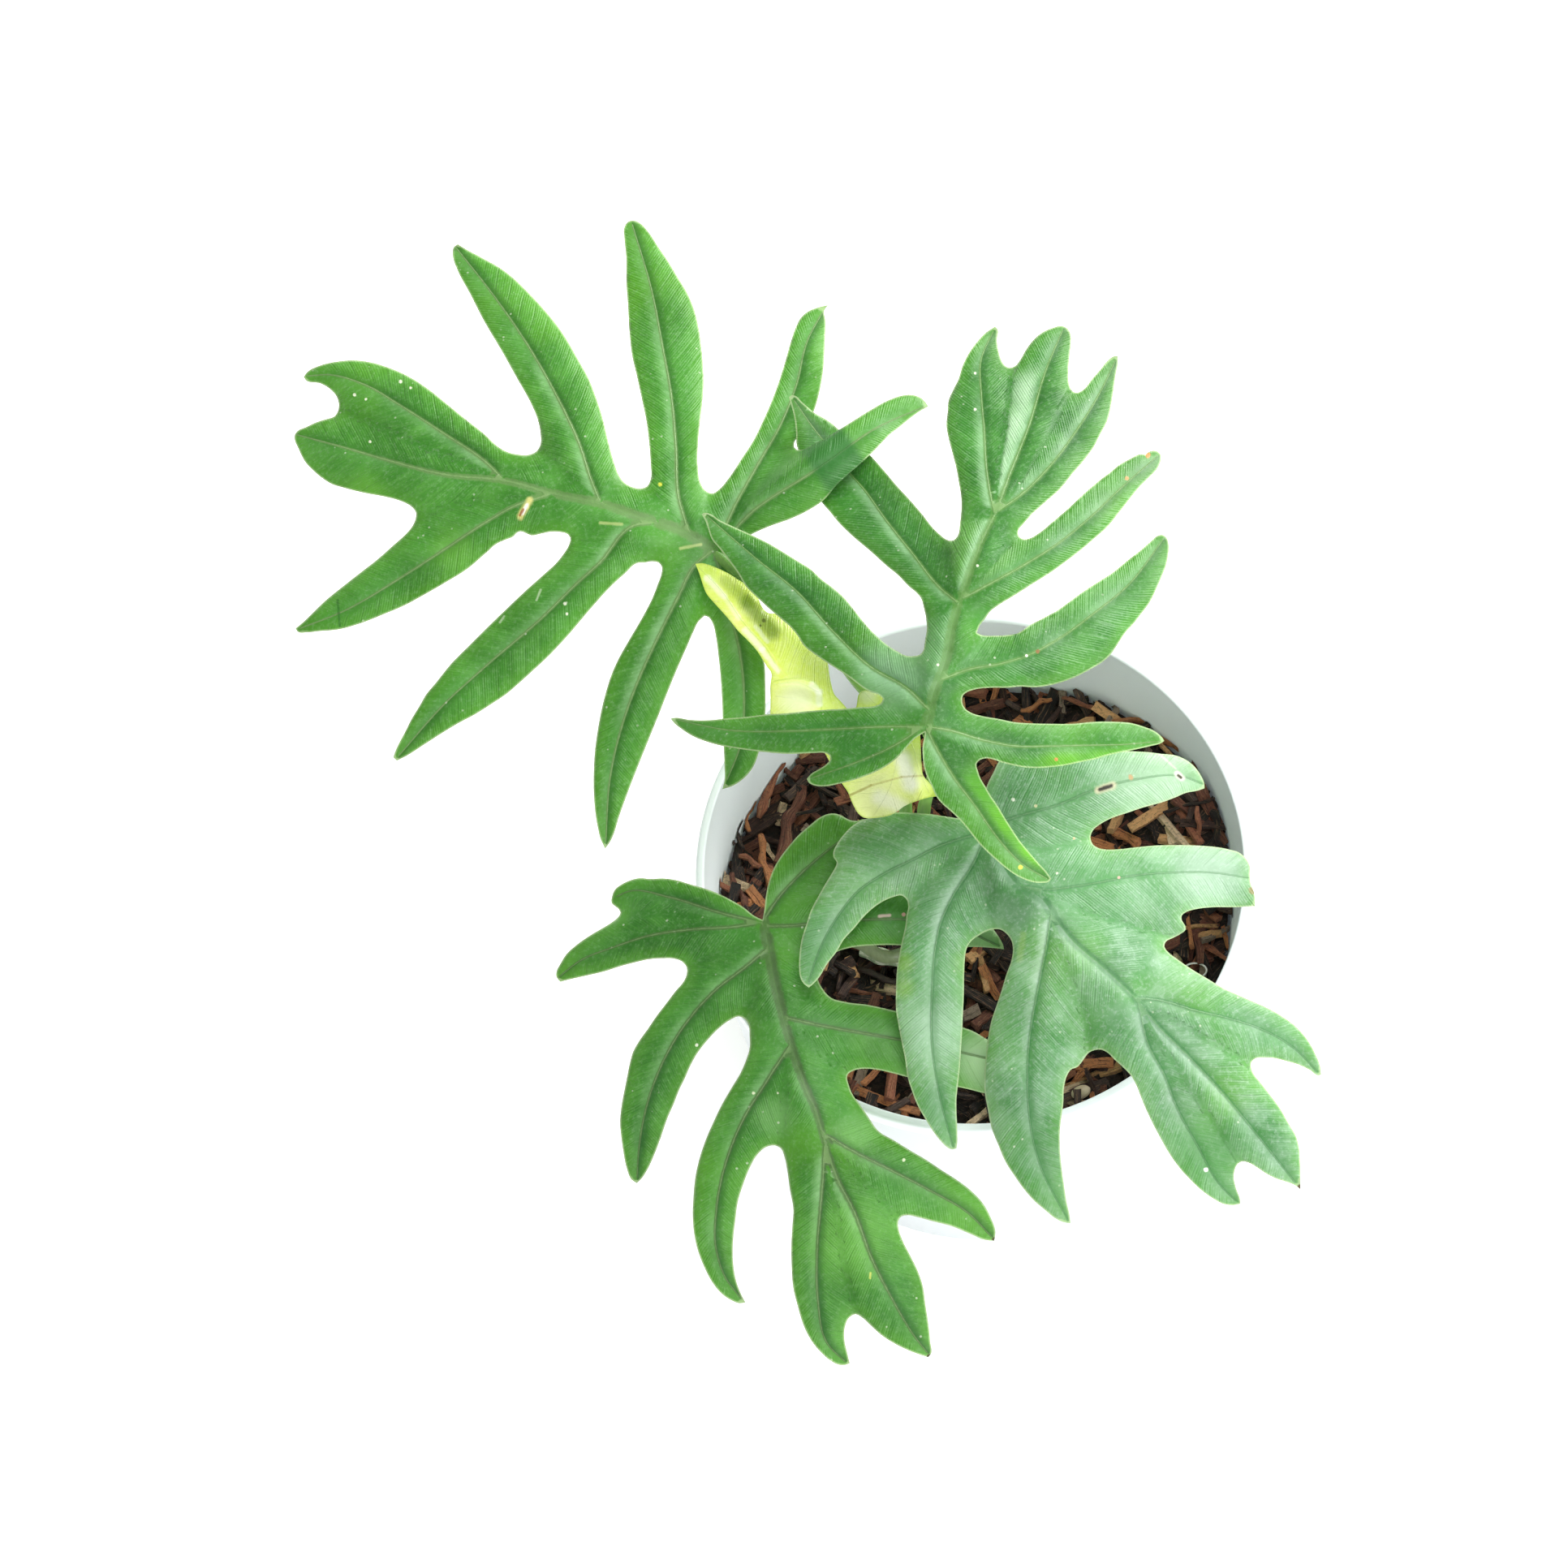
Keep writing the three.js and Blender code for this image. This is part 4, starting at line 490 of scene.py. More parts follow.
# Each splinter: x, y and lift of its two ends in mm, its width and its tone
SPLINTERS = [
    (-47.7, 25.9, 4.0, -53.0, 11.4, 3.0, 2.9, 0.5), (-42.5, 18.9, 2.5, -48.2, 1.4, 3.0, 3.5, 0.4),
    (-46.7, 11.7, 5.5, -36.5, 14.4, 4.0, 1.1, 0.1), (-61.0, 12.9, 6.0, -56.2, 3.9, 3.0, 1.5, 0.9),
    (-56.5, 17.2, 5.0, -55.2, 8.9, 3.0, 1.6, 0.75), (-61.5, 6.6, 5.0, -58.7, 5.4, 3.5, 1.0, 0.65),
    (-57.5, 2.5, 3.5, -49.0, -1.5, 2.5, 1.8, 0.55), (-52.5, 7.0, 3.0, -50.0, -6.0, 2.5, 2.2, 0.72),
    (-36.0, 24.0, 2.5, -31.0, 16.0, 2.5, 2.0, 0.5), (-59.5, -2.0, 3.0, -55.0, -12.0, 2.5, 2.0, 0.4),
    (55.6, 14.6, 5.0, 55.4, 3.5, 3.5, 1.5, 0.52), (47.0, 13.4, 3.5, 59.5, 16.6, 3.5, 1.0, 0.1),
    (59.0, 13.5, 2.0, 62.0, 2.0, 2.0, 2.4, 0.1), (43.0, 37.0, 2.5, 47.5, 36.6, 2.5, 0.6, 0.1),
    (33.5, 9.5, 3.0, 41.5, 5.0, 3.0, 3.0, 0.75),
    (22.0, 41.5, 3.5, 33.0, 38.0, 3.5, 1.4, 0.5), (12.0, 38.0, 3.0, 19.5, 41.5, 3.5, 1.6, 0.75),
    (46.0, -22.0, 3.0, 54.0, -19.0, 3.5, 1.5, 0.9), (-8.0, -47.0, 3.0, 1.0, -52.0, 3.0, 1.8, 0.52),
]
SPLINTER_SIDES = 7
SPLINTER_STEPS = 9
parts, tones, fibres = [], [], []
for number, (x0, y0, lift0, x1, y1, lift1, width, own_tone) in enumerate(SPLINTERS):
    ends = np.array([on_bark(x0, y0, lift0), on_bark(x1, y1, lift1)])
    share = np.linspace(0, 1, SPLINTER_STEPS)[:, None]
    path = ends[0] + (ends[1] - ends[0]) * share
    path += 0.25 * width * np.sin(share * 9 + [number, number * 2.1, number * 3.7])
    radii = width / 2 * (0.9 + 0.16 * np.sin(share[:, 0] * 17 + number))
    radii[0] *= 0.7
    radii[-1] *= 0.55
    corners, faces = tube(path, radii, SPLINTER_SIDES)
    parts.append((corners, faces))
    tones += [own_tone] * len(corners)
    for i in range(len(path)):
        for k in range(SPLINTER_SIDES):
            angle = 2 * math.pi * k / SPLINTER_SIDES
            fibres.append((share[i, 0] - 0.5, math.cos(angle) / 2, math.sin(angle) / 2))
corners, faces = joined(parts)
splinters = build_mesh("bark_splinters", kept_inside(corners * MM), faces, [bark_chip], smooth=False)
splinters.data.attributes.new("tone", "FLOAT", "POINT").data.foreach_set("value", tones)
splinters.data.attributes.new("fibre", "FLOAT_VECTOR", "POINT").data.foreach_set("vector", np.ravel(fibres))
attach(splinters, "root")
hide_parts("bark_bed")

fibre_skin, tree, shader, where = material("white_fibre")
# A loose white root fibre, curled up against the wall
coat(tree, shader, blend(tree, noise(tree, where, 900.0), linear("#cfcac0"), linear("#f4f2ee")))
FIBRE_PLACE = (54.0, -26.0)
FIBRE_RADIUS = 0.24
turns = np.linspace(-0.6, 5.0, 26)
path = np.array([on_bark(FIBRE_PLACE[0] + 3.6 * math.cos(t) + 0.5 * t, FIBRE_PLACE[1] + 2.0 * math.sin(t),
                         4.0 + 0.5 * math.sin(2 * t)) for t in turns])
corners, faces = tube(path, [FIBRE_RADIUS] * len(path), 6)
loop = build_mesh("white_fibre", kept_inside(corners * MM), faces, [fibre_skin])
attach(loop, "root")
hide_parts("bark_bed")

stone_skin, tree, shader, where = material("pale_pebble")
# One worn, yellowish pebble that came with the bark
coat(tree, shader, blend(tree, noise(tree, where, 400.0), linear("#9a8468"), linear("#e2d3b5")), 0.6)
PEBBLE = on_bark(26.6, -55.8, 3.0)
PEBBLE_REACH = 2.6
PEBBLE_RADIUS = 1.7
share = np.linspace(-1, 1, 13)
path = PEBBLE + np.outer(share * PEBBLE_REACH, [0.96, 0.2, 0.1])
corners, faces = tube(path, PEBBLE_RADIUS * np.sqrt(np.maximum(0.02, 1 - share ** 2)), 18)
pebble = build_mesh("pebble", corners * MM, faces, [stone_skin])
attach(pebble, "root")
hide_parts("bark_bed")




# Stem
# A short, thick grey-green stem stands in the bark, ringed by old leaf scars, with a cut stub
# and one dark root beside it. The leaf stalks grow from its top.
STEM_PLACE = (-14.0, -7.4)
STEM_TOP = POT_HEIGHT - 26.0
STALK_RING = 3.4
STEM_RADIUS = 4.7
STEM_LEVELS = 30

stem_skin, tree, shader, where = material("stem_skin")
# Grey-green bark-like skin with brown rings where old leaves have dropped
height = add(tree, "ShaderNodeSeparateXYZ", {0: where}).outputs[2]
rings = maths(tree, "SINE", maths(tree, "MULTIPLY", height, 2200.0))
green = blend(tree, noise(tree, where, 300.0), linear("#6f7f55"), linear("#a9b48b"))
coat(tree, shader, blend(tree, ramp(tree, rings, 0.6, 1.0, 0.0, 0.7), green, linear("#6a4e36")), 0.6)
bump(tree, shader, noise(tree, where, 900.0), 0.0004)

stub_skin, tree, shader, where = material("old_stub")
# The old stub: pale grey-green with whitish streaks
streaks = noise(tree, where, 500.0, 3.0)
coat(tree, shader, blend(tree, ramp(tree, streaks, 0.4, 0.65), linear("#8a9a78"), linear("#cfd2bd")), 0.65)

root_skin, tree, shader, where = material("dark_root")
# A nearly black, wrinkled root
coat(tree, shader, blend(tree, noise(tree, where, 800.0), linear("#1b1512"), linear("#3d2c22")), 0.7)

levels = np.linspace(POT_HEIGHT - 40, STEM_TOP, STEM_LEVELS)
trunk_path = np.array([(STEM_PLACE[0], STEM_PLACE[1], z) for z in levels])
trunk_radii = [STEM_RADIUS + 0.25 * math.sin(z * 2.2) - 0.8 * (i / (STEM_LEVELS - 1)) ** 6
               for i, z in enumerate(levels)]
trunk = tube(trunk_path, trunk_radii, 32)
start = np.array([[STEM_PLACE[0], STEM_PLACE[1], POT_HEIGHT - 32]])
places = sight_points(np.array([-18.5, -23, -27.2]), np.array([-22.8, -22.2, -20.6]),
                      np.array([-33.5, -34, -34.5]))
stub_path = smooth_run(np.vstack([start, places]), 0.8)
stub_radii = [2.1 + 0.2 * math.sin(i * 0.9) - 0.5 * (i / len(stub_path)) ** 8
              for i in range(len(stub_path))]
stub = tube(stub_path, stub_radii, 20)
start = np.array([[STEM_PLACE[0], STEM_PLACE[1] - 2, POT_HEIGHT - 34]])
places = sight_points(np.array([-19, -26, -33.0]), np.array([-28.5, -26, -25.0]),
                      np.array([-35, -35.5, -39.0]))
root_path = smooth_run(np.vstack([start, places]), 0.8)
root = tube(root_path, [0.8 + 0.12 * math.sin(i * 1.3) for i in range(len(root_path))], 12)
corners, faces = joined([trunk, stub, root])
slots = [0] * len(trunk[1]) + [1] * len(stub[1]) + [2] * len(root[1])
stem = build_mesh("stem_and_root", corners * MM, faces, [stem_skin, stub_skin, root_skin], slots)
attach(stem, "root")
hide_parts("stem")


# Leaves
# Each leaf is a thin, leathery blade cut into deep lobes, with a sunk midrib in every lobe and
# fine side veins, grown in one piece with a round stalk. The young leaf is yellow-green and folded.
BLADE = 0.6
BLADE_EDGE = 0.25
POINT_SPACING = 1.25
OUTLINE_STEP = 0.7
VEIN_STEP = 1.2
SAG = 0.022
SIDE_VEIN_SLANT = 0.85
SIDE_VEIN_PERIOD = 4.6
FINE_VEIN_PERIOD = 0.75
# The way to the light on the plane of sight; the leaves are painted paler beside each vein on the side facing
# it
LIGHT_SIDE = (1.0, 0.15)


def grouped(numbers, size):
    """Numbers as rows of the given size."""
    return np.array(numbers, dtype=float).reshape(-1, size)


def inside(points, outline):
    """Which points lie inside a closed outline."""
    found = np.zeros(len(points), dtype=bool)
    x, y = points[:, 0], points[:, 1]
    for a, b in zip(outline, np.roll(outline, -1, axis=0)):
        crosses = (a[1] > y) != (b[1] > y)
        if crosses.any():
            at = a[0] + (y - a[1]) * (b[0] - a[0]) / (b[1] - a[1] if b[1] != a[1] else 1e-9)
            found ^= crosses & (x < at)
    return found


def vein_facts(points, veins):
    """For each point the blade's height, its soft distance from the veins, and of the nearest vein the
    distance, the signed distance, the mm along it, its girth and how its left side faces the light; and
    how near a second vein is."""
    count = len(points)
    weights, heights, fade = np.zeros(count), np.zeros(count), np.zeros(count)
    all_away, all_across, all_along, all_girth, all_facing = [], [], [], [], []
    for number, line in enumerate(veins):
        way = np.gradient(line[:, :2], axis=0)
        way /= np.linalg.norm(way, axis=1)[:, None]
        spans = np.linalg.norm(np.diff(line[:, :2], axis=0), axis=1)
        run = np.concatenate([[0], np.cumsum(spans)])
        thickness = 0.12 + (0.85 if number == 0 else 0.26) * (1 - run / run[-1])
        gap = points[:, None, :] - line[None, :, :2]
        square = (gap ** 2).sum(axis=2)
        weight = 1 / (square ** 2 + 4)
        weights += weight.sum(axis=1)
        heights += (weight * line[:, 2]).sum(axis=1)
        nearest = square.argmin(axis=1)
        off, way = gap[np.arange(count), nearest], way[nearest]
        away = np.sqrt(square.min(axis=1))
        across = way[:, 0] * off[:, 1] - way[:, 1] * off[:, 0]
        past = (way * off).sum(axis=1)
        beyond = ((nearest == 0) & (past < 0)) | ((nearest == len(line) - 1) & (past > 0))
        across = np.where(beyond, np.copysign(away, across), across)
        fade += np.exp(-away / 1.2)
        all_away.append(away)
        all_across.append(across)
        all_along.append(run[nearest] + past)
        all_girth.append(thickness[nearest])
        all_facing.append(way[:, 1] * LIGHT_SIDE[0] - way[:, 0] * LIGHT_SIDE[1])
    order = np.argsort(all_away, axis=0)
    first = order[0]
    rows = np.arange(count)
    away, across, along, girth, facing = (np.array(a)[first, rows] for a in
                                          (all_away, all_across, all_along, all_girth, all_facing))
    height = heights / weights - SAG * away ** 2
    second = np.array(all_away)[order[min(1, len(veins) - 1)], rows] - away if len(veins) > 1 else away + 9
    soft = np.maximum(0, -1.2 * np.log(fade))
    away = np.where(away < 2.5, np.minimum(away, np.abs(across) + 0.02), away)
    return height, soft, away, across, along, girth, facing, np.minimum(second, 6)


def rim_distance(points, outline):
    """The distance from each point to an outline."""
    a, b = outline, np.roll(outline, -1, axis=0)
    way = b - a
    length = np.maximum((way ** 2).sum(axis=1), 1e-12)
    best = np.empty(len(points))
    for start in range(0, len(points), 1500):
        some = points[start:start + 1500, None, :] - a[None]
        share = np.clip((some * way).sum(axis=2) / length, 0, 1)
        best[start:start + 1500] = np.sqrt(((some - share[..., None] * way) ** 2).sum(axis=2).min(axis=1))
    return best


def blade_mesh(outline, veins, fold=1.0, ripple=0.08):
    """A closed blade: corners in mm, faces, and for every corner its leaf coordinates."""
    edge = smooth_run(grouped(outline, 2), OUTLINE_STEP, corner=1.0, closed=True)
    low, high = edge.min(axis=0), edge.max(axis=0)
    rows = np.arange(low[1], high[1], POINT_SPACING * 0.866)
    grid = np.array([(x + (j % 2) * POINT_SPACING / 2, y) for j, y in enumerate(rows)
                     for x in np.arange(low[0], high[0], POINT_SPACING)])
    grid = grid[inside(grid, edge)]
    grid = grid[rim_distance(grid, edge) > 0.55]
    lines = [smooth_run(grouped(vein, 3), VEIN_STEP) for vein in veins]
    spots = [Vector(p) for p in edge]
    bonds = [(i, (i + 1) % len(edge)) for i in range(len(edge))]
    for line in lines:
        kept = line[inside(line[:, :2], edge), :2]
        kept = kept[rim_distance(kept, edge) > 0.45]
        bonds += [(len(spots) + i, len(spots) + i + 1) for i in range(len(kept) - 1)]
        spots += [Vector(p) for p in kept]
        grid = grid[((grid[:, None] - kept[None]) ** 2).sum(axis=2).min(axis=1) > 0.5]
    spots += [Vector(p) for p in grid]
    found = delaunay_2d_cdt(spots, bonds, [], 1, 1e-5)
    flat = np.array([tuple(v) for v in found[0]])
    triangles = [tuple(f) for f in found[2]]
    rim = rim_distance(flat, edge)
    height, soft, away, across, along, girth, facing, seam = vein_facts(flat, lines)
    slant = along - SIDE_VEIN_SLANT * away
    fading = 0.35 + 0.65 * np.clip((girth - 0.12) / 0.2, 0, 1)
    height += fold * fading * (1 - np.exp(-soft / 3.4)) - 0.3 * fold
    waves = np.sin(slant * 2 * math.pi / SIDE_VEIN_PERIOD) * (1 - np.exp(-(away / 2) ** 2))
    height += ripple * waves * (1 - np.exp(-seam))
    height += 0.35 * np.sin(flat[:, 0] / 3.1 + 0.8 * np.sin(flat[:, 1] / 4.3)) * np.cos(flat[:, 1] / 3.7)
    height -= 0.35 * np.exp(-rim / 0.9)
    thick = BLADE_EDGE + (BLADE - BLADE_EDGE) * (1 - np.exp(-rim / 1.2))
    upper = sight_points(flat[:, 0], flat[:, 1], height)
    lower = sight_points(flat[:, 0], flat[:, 1], height - thick)
    count = len(flat)
    first = triangles[0]
    turn = np.cross(flat[first[1]] - flat[first[0]], flat[first[2]] - flat[first[0]])
    if turn < 0:
        triangles = [(a, c, b) for a, b, c in triangles]
    faces = list(triangles) + [(count + a, count + c, count + b) for a, b, c in triangles]
    sides = [pair for a, b, c in triangles for pair in ((a, b), (b, c), (c, a))]
    used = set(sides)
    faces += [(a, count + a, count + b, b) for a, b in sides if (b, a) not in used]
    facts = {"away": away, "across": across, "along": along, "rim": rim, "girth": girth, "facing": facing,
             "seam": seam, "under": np.zeros(count)}
    facts = {key: np.concatenate([value, value]) for key, value in facts.items()}
    facts["under"][count:] = 1.0
    plan = np.concatenate([flat, flat])
    return np.vstack([upper, lower]), faces, facts, plan


def leaf_material(name, looks):
    """Leaf skin: a waxy blade with raised veins, streaks along the side veins, flecks and a margin, with
    painted sheen and painted shade on the two sides of each vein.
    """
    made, tree, shader, where = material(name)

    def fact(key):
        return add(tree, "ShaderNodeAttribute", attribute_name=key).outputs["Fac"]

    def times(a, b):
        return maths(tree, "MULTIPLY", a, b)

    away, across, along, rim = fact("away"), fact("across"), fact("along"), fact("rim")
    under, girth, facing, seam = fact("under"), fact("girth"), fact("facing"), fact("seam")
    plan = add(tree, "ShaderNodeAttribute", attribute_name="plan").outputs["Vector"]
    wander = times(maths(tree, "SUBTRACT", noise(tree, where, 60.0, 2.0), 0.5), 1.6)
    slant = maths(tree, "ADD", maths(tree, "SUBTRACT", along, times(away, SIDE_VEIN_SLANT)), wander)

    def stripes(period, width):
        place = maths(tree, "FRACT", maths(tree, "DIVIDE", slant, period))
        off = times(maths(tree, "ABSOLUTE", maths(tree, "SUBTRACT", place, 0.5)), period)
        return ramp(tree, off, width, width * 0.25)

    def apart(a, b):
        return add(tree, "ShaderNodeVectorMath", {0: a, 1: b}, operation="DISTANCE").outputs["Value"]

    def soft_place(x, y, radius, half):
        share = ramp(tree, apart(plan, (x, y, 0.0)), radius, radius * 0.2)
        if half:
            share = times(share, ramp(tree, times(across, half), 0.2, 3.0))
            share = times(share, ramp(tree, seam, 0.3, 2.5))
        return share

    def near_line(x0, y0, x1, y1, width):
        way = Vector((x1 - x0, y1 - y0, 0.0))
        off = add(tree, "ShaderNodeVectorMath", {0: plan, 1: (x0, y0, 0.0)},
                  operation="SUBTRACT").outputs[0]
        run = add(tree, "ShaderNodeVectorMath", {0: off, 1: tuple(way / way.length_squared)},
                  operation="DOT_PRODUCT").outputs["Value"]
        run = add(tree, "ShaderNodeClamp", {"Value": run}).outputs[0]
        on_line = add(tree, "ShaderNodeVectorMath", {0: tuple(way), "Scale": run},
                      operation="SCALE").outputs[0]
        gap = apart(off, on_line)
        ragged = times(maths(tree, "SUBTRACT", noise(tree, where, 700.0, 2.0), 0.5), min(width, 0.8))
        blur = 0.7 if width < 3 else 0.25
        return ramp(tree, maths(tree, "ADD", gap, ragged), width * (1 + blur), width * (1 - blur))

    clear = maths(tree, "MAXIMUM", ramp(tree, seam, 0.15, 0.8), ramp(tree, girth, 0.4, 0.5))
    near_vein = times(ramp(tree, away, 2.4, 1.6), clear)
    # Painted sheen and shade: each vein's side that faces the light is painted paler, the other side and a
    # thin line by the vein darker
    lit = times(times(ramp(tree, across, -0.25, 0.25, -1.0, 1.0), facing), ramp(tree, seam, 0.3, 1.8))
    uneven = ramp(tree, noise(tree, where, 45.0, 3.0), 0.35, 0.6, 0.25, 1.0)
    strong = times(uneven, ramp(tree, girth, 0.1, 0.34, 0.2, 1.0))
    flow = add(tree, "ShaderNodeCombineXYZ", {0: times(slant, 0.8), 1: times(away, 0.12), 2: 0.0}).outputs[0]
    streaks = noise(tree, flow, 1.0, 4.0, 0.6)
    combed = times(strong, ramp(tree, streaks, 0.32, 0.6, 0.68, 1.0))
    pale_side = times(times(ramp(tree, lit, 0.1, 0.9), ramp(tree, away, 3.2, 0.3)), combed)
    dark_side = times(ramp(tree, lit, -0.1, -0.9), ramp(tree, away, 2.6, 0.2))
    dark_line = times(ramp(tree, lit, -0.05, -0.6),
                      ramp(tree, maths(tree, "SUBTRACT", away, girth), 0.45, 0.0))
    calm = times(ramp(tree, seam, 0.5, 3.0), ramp(tree, away, 0.6, 2.4))
    fuzzy = maths(tree, "ADD", maths(tree, "DIVIDE", away, girth),
                  times(maths(tree, "SUBTRACT", noise(tree, where, 900.0, 2.0), 0.5), 1.2))
    core = times(times(ramp(tree, fuzzy, 0.75, 0.15), near_vein), ramp(tree, girth, 0.8, 0.35, 0.15, 1.0))
    band = times(ramp(tree, fuzzy, 2.1, 1.1), near_vein)
    side_veins = times(stripes(SIDE_VEIN_PERIOD, 0.35), calm)
    fine_veins = times(stripes(FINE_VEIN_PERIOD, 0.3), calm)
    clouds = noise(tree, where, 38.0, 3.0)
    moved = add(tree, "ShaderNodeMapping", {"Vector": where, "Location": (3.0, 5.0, 1.0)}).outputs[0]
    warm = noise(tree, moved, 26.0, 2.0)
    mottle = noise(tree, where, 1100.0, 5.0, 0.7)
    patchy = noise(tree, where, 110.0, 4.0, 0.6)
    green = blend(tree, ramp(tree, clouds, 0.3, 0.7), linear(looks["deep"]), linear(looks["mid"]))

    def cover(share, code):
        nonlocal green
        green = blend(tree, share, green, linear(code))

    cover(ramp(tree, warm, 0.5, 0.7, 0.0, looks["warmth"]), looks["warm"])
    cover(ramp(tree, rim, 4.0, 0.5, 0.0, looks["warmth"] * 0.7), looks["warm"])
    cover(ramp(tree, patchy, 0.4, 0.75, 0.0, 0.4), looks["light"])
    cover(times(ramp(tree, streaks, 0.42, 0.72, 0.0, 0.3), calm), looks["light"])
    cover(times(ramp(tree, streaks, 0.45, 0.25, 0.0, 0.25), calm), looks["deep"])
    cover(ramp(tree, mottle, 0.46, 0.76, 0.0, looks["mottle"]), looks["bloom_and_sheen"])
    for x, y, radius, half, code, strength in looks["patches"]:
        cover(times(soft_place(x, y, radius, half), strength), code)
    cover(times(side_veins, 0.1), looks["light"])
    cover(times(fine_veins, 0.05), looks["light"])
    # Painted sheen on the lit side of each vein, painted shade on the shaded side
    cover(times(pale_side, looks["sheen"]), looks["bloom_and_sheen"])
    cover(times(dark_side, looks["shade"]), looks["dark"])
    cover(times(times(dark_line, clear), looks["shade"]), looks["dark"])
    cover(times(band, looks["rib_strength"]), looks["rib"])
    cover(times(core, looks["vein_strength"]), looks["vein"])
    dots = add(tree, "ShaderNodeTexVoronoi", {"Vector": where, "Scale": 420.0}).outputs["Distance"]
    some = ramp(tree, noise(tree, where, 170.0, 1.0), 0.56, 0.66)
    flecks = times(ramp(tree, dots, 0.16, 0.08), some)
    cover(times(flecks, looks["flecks"]), "#dfe9cf")
    cover(ramp(tree, rim, 0.5, 0.15, 0.0, looks["margin_strength"]), looks["margin"])
    for x0, y0, x1, y1, width, code, strength in looks["lines"]:
        cover(times(near_line(x0, y0, x1, y1, width), strength), code)
    for x, y, radius, code in looks["marks"]:
        gap = apart(plan, (x, y, 0.0))
        uneven = maths(tree, "ADD", gap, times(noise(tree, where, 900.0, 2.0), radius * 0.9))
        cover(ramp(tree, uneven, radius * 1.5, radius * 1.0), code)
    cover(times(under, 0.5), looks["bloom_and_sheen"])
    tree.links.new(green, shader.inputs["Base Color"])
    tree.links.new(ramp(tree, mottle, 0.3, 0.8, looks["gloss"] - 0.05, looks["gloss"] + 0.12),
                   shader.inputs["Roughness"])
    shader.inputs["IOR"].default_value = looks["ior"]
    relief = maths(tree, "ADD", times(mottle, 0.3), times(core, 0.4))
    relief = maths(tree, "SUBTRACT", relief, times(side_veins, 0.4))
    relief = maths(tree, "SUBTRACT", relief, times(fine_veins, 0.2))
    relief = maths(tree, "ADD", relief, times(times(streaks, calm), 0.4))
    bump(tree, shader, relief, 0.0002)
    through = blend(tree, 0.5, green, linear(looks["through"]))
    let_through(tree, shader, through, looks["thin"])
    return made


def stalk_material(name, code, dark):
    """Stalk skin: smooth, slightly glossy, streaked along its length."""
    made, tree, shader, where = material(name)
    streaks = add(tree, "ShaderNodeMapping", {"Vector": where, "Scale": (900.0, 900.0, 60.0)}).outputs[0]
    lines = noise(tree, streaks, 1.0, 3.0)
    coat(tree, shader, blend(tree, lines, linear(dark), linear(code)), 0.42)
    shader.inputs["Subsurface Weight"].default_value = 0.1
    shader.inputs["Subsurface Radius"].default_value = (0.001, 0.002, 0.0005)
    return made


def make_leaf(name, shapes, around, route, looks):
    """A leaf of one or more blades and a stalk, as one piece that stands for its CAD node."""
    turn = math.radians(around)
    start = np.array([STEM_PLACE[0] + STALK_RING * math.cos(turn),
                      STEM_PLACE[1] + STALK_RING * math.sin(turn), STEM_TOP - 0.6])
    route = grouped(route, 3)
    places = sight_points(route[:, 0], route[:, 1], route[:, 2])
    places[-1, 2] -= 0.9
    path = smooth_run(np.vstack([[start, start + [0, 0, 3.6]], places]), 1.2)
    share = np.linspace(0, 1, len(path))
    radii = 1.75 - 0.35 * share + 0.5 * np.exp(-share * 14) + 0.05 * np.sin(share * 60)
    stalk = tube(path, radii, 14)
    parts, facts, plans = [], [], []
    for shape in shapes:
        corners, faces, fact, plan = blade_mesh(**shape)
        parts.append((corners, faces))
        facts.append(fact)
        plans.append(plan)
    blade_faces = sum(len(p[1]) for p in parts)
    parts.append(stalk)
    corners, faces = joined(parts)
    slots = [0] * blade_faces + [1] * len(stalk[1])
    skins = [leaf_material(name + "_skin", looks),
             stalk_material(name + "_stalk", looks["stalk"], looks["stalk_dark"])]
    made = build_mesh(name + "_blade_and_stalk", corners * MM, faces, skins, slots)
    stored = made.data.attributes
    rest = len(stalk[0])
    for key in facts[0]:
        values = np.concatenate([f[key] for f in facts] + [np.zeros(rest)])
        stored.new(key, "FLOAT", "POINT").data.foreach_set("value", values.astype(np.float32))
    plan = np.concatenate(plans + [np.zeros((rest, 2))])
    plan = np.hstack([plan, np.zeros((len(plan), 1))]).astype(np.float32)
    stored.new("plan", "FLOAT_VECTOR", "POINT").data.foreach_set("vector", plan.ravel())
    made.data.set_sharp_from_angle(angle=math.radians(60))
    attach(made, "root")
    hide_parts(name)
    return made


# The bloom colour serves both the waxy bloom and the painted sheen; the dark colour with its shade strength
# is the painted shade beside the veins
BASE_LOOKS = {
    "deep": "#336f25", "mid": "#47853a", "light": "#66a650", "warm": "#5ea02a", "warmth": 0.5,
    "bloom_and_sheen": "#9cc890", "sheen": 0.6, "dark": "#22541a", "shade": 0.6, "rib": "#56803c",
    "rib_strength": 0.6,
    "vein": "#9ab97c", "vein_strength": 0.45, "margin": "#c9dba8", "margin_strength": 0.5,
    "through": "#8ccf2e", "stalk": "#86b359", "stalk_dark": "#5d8f3f", "mottle": 0.25, "flecks": 0.5,
    "gloss": 0.4, "ior": 1.4, "thin": 0.2, "patches": [], "lines": [], "marks": [],
}

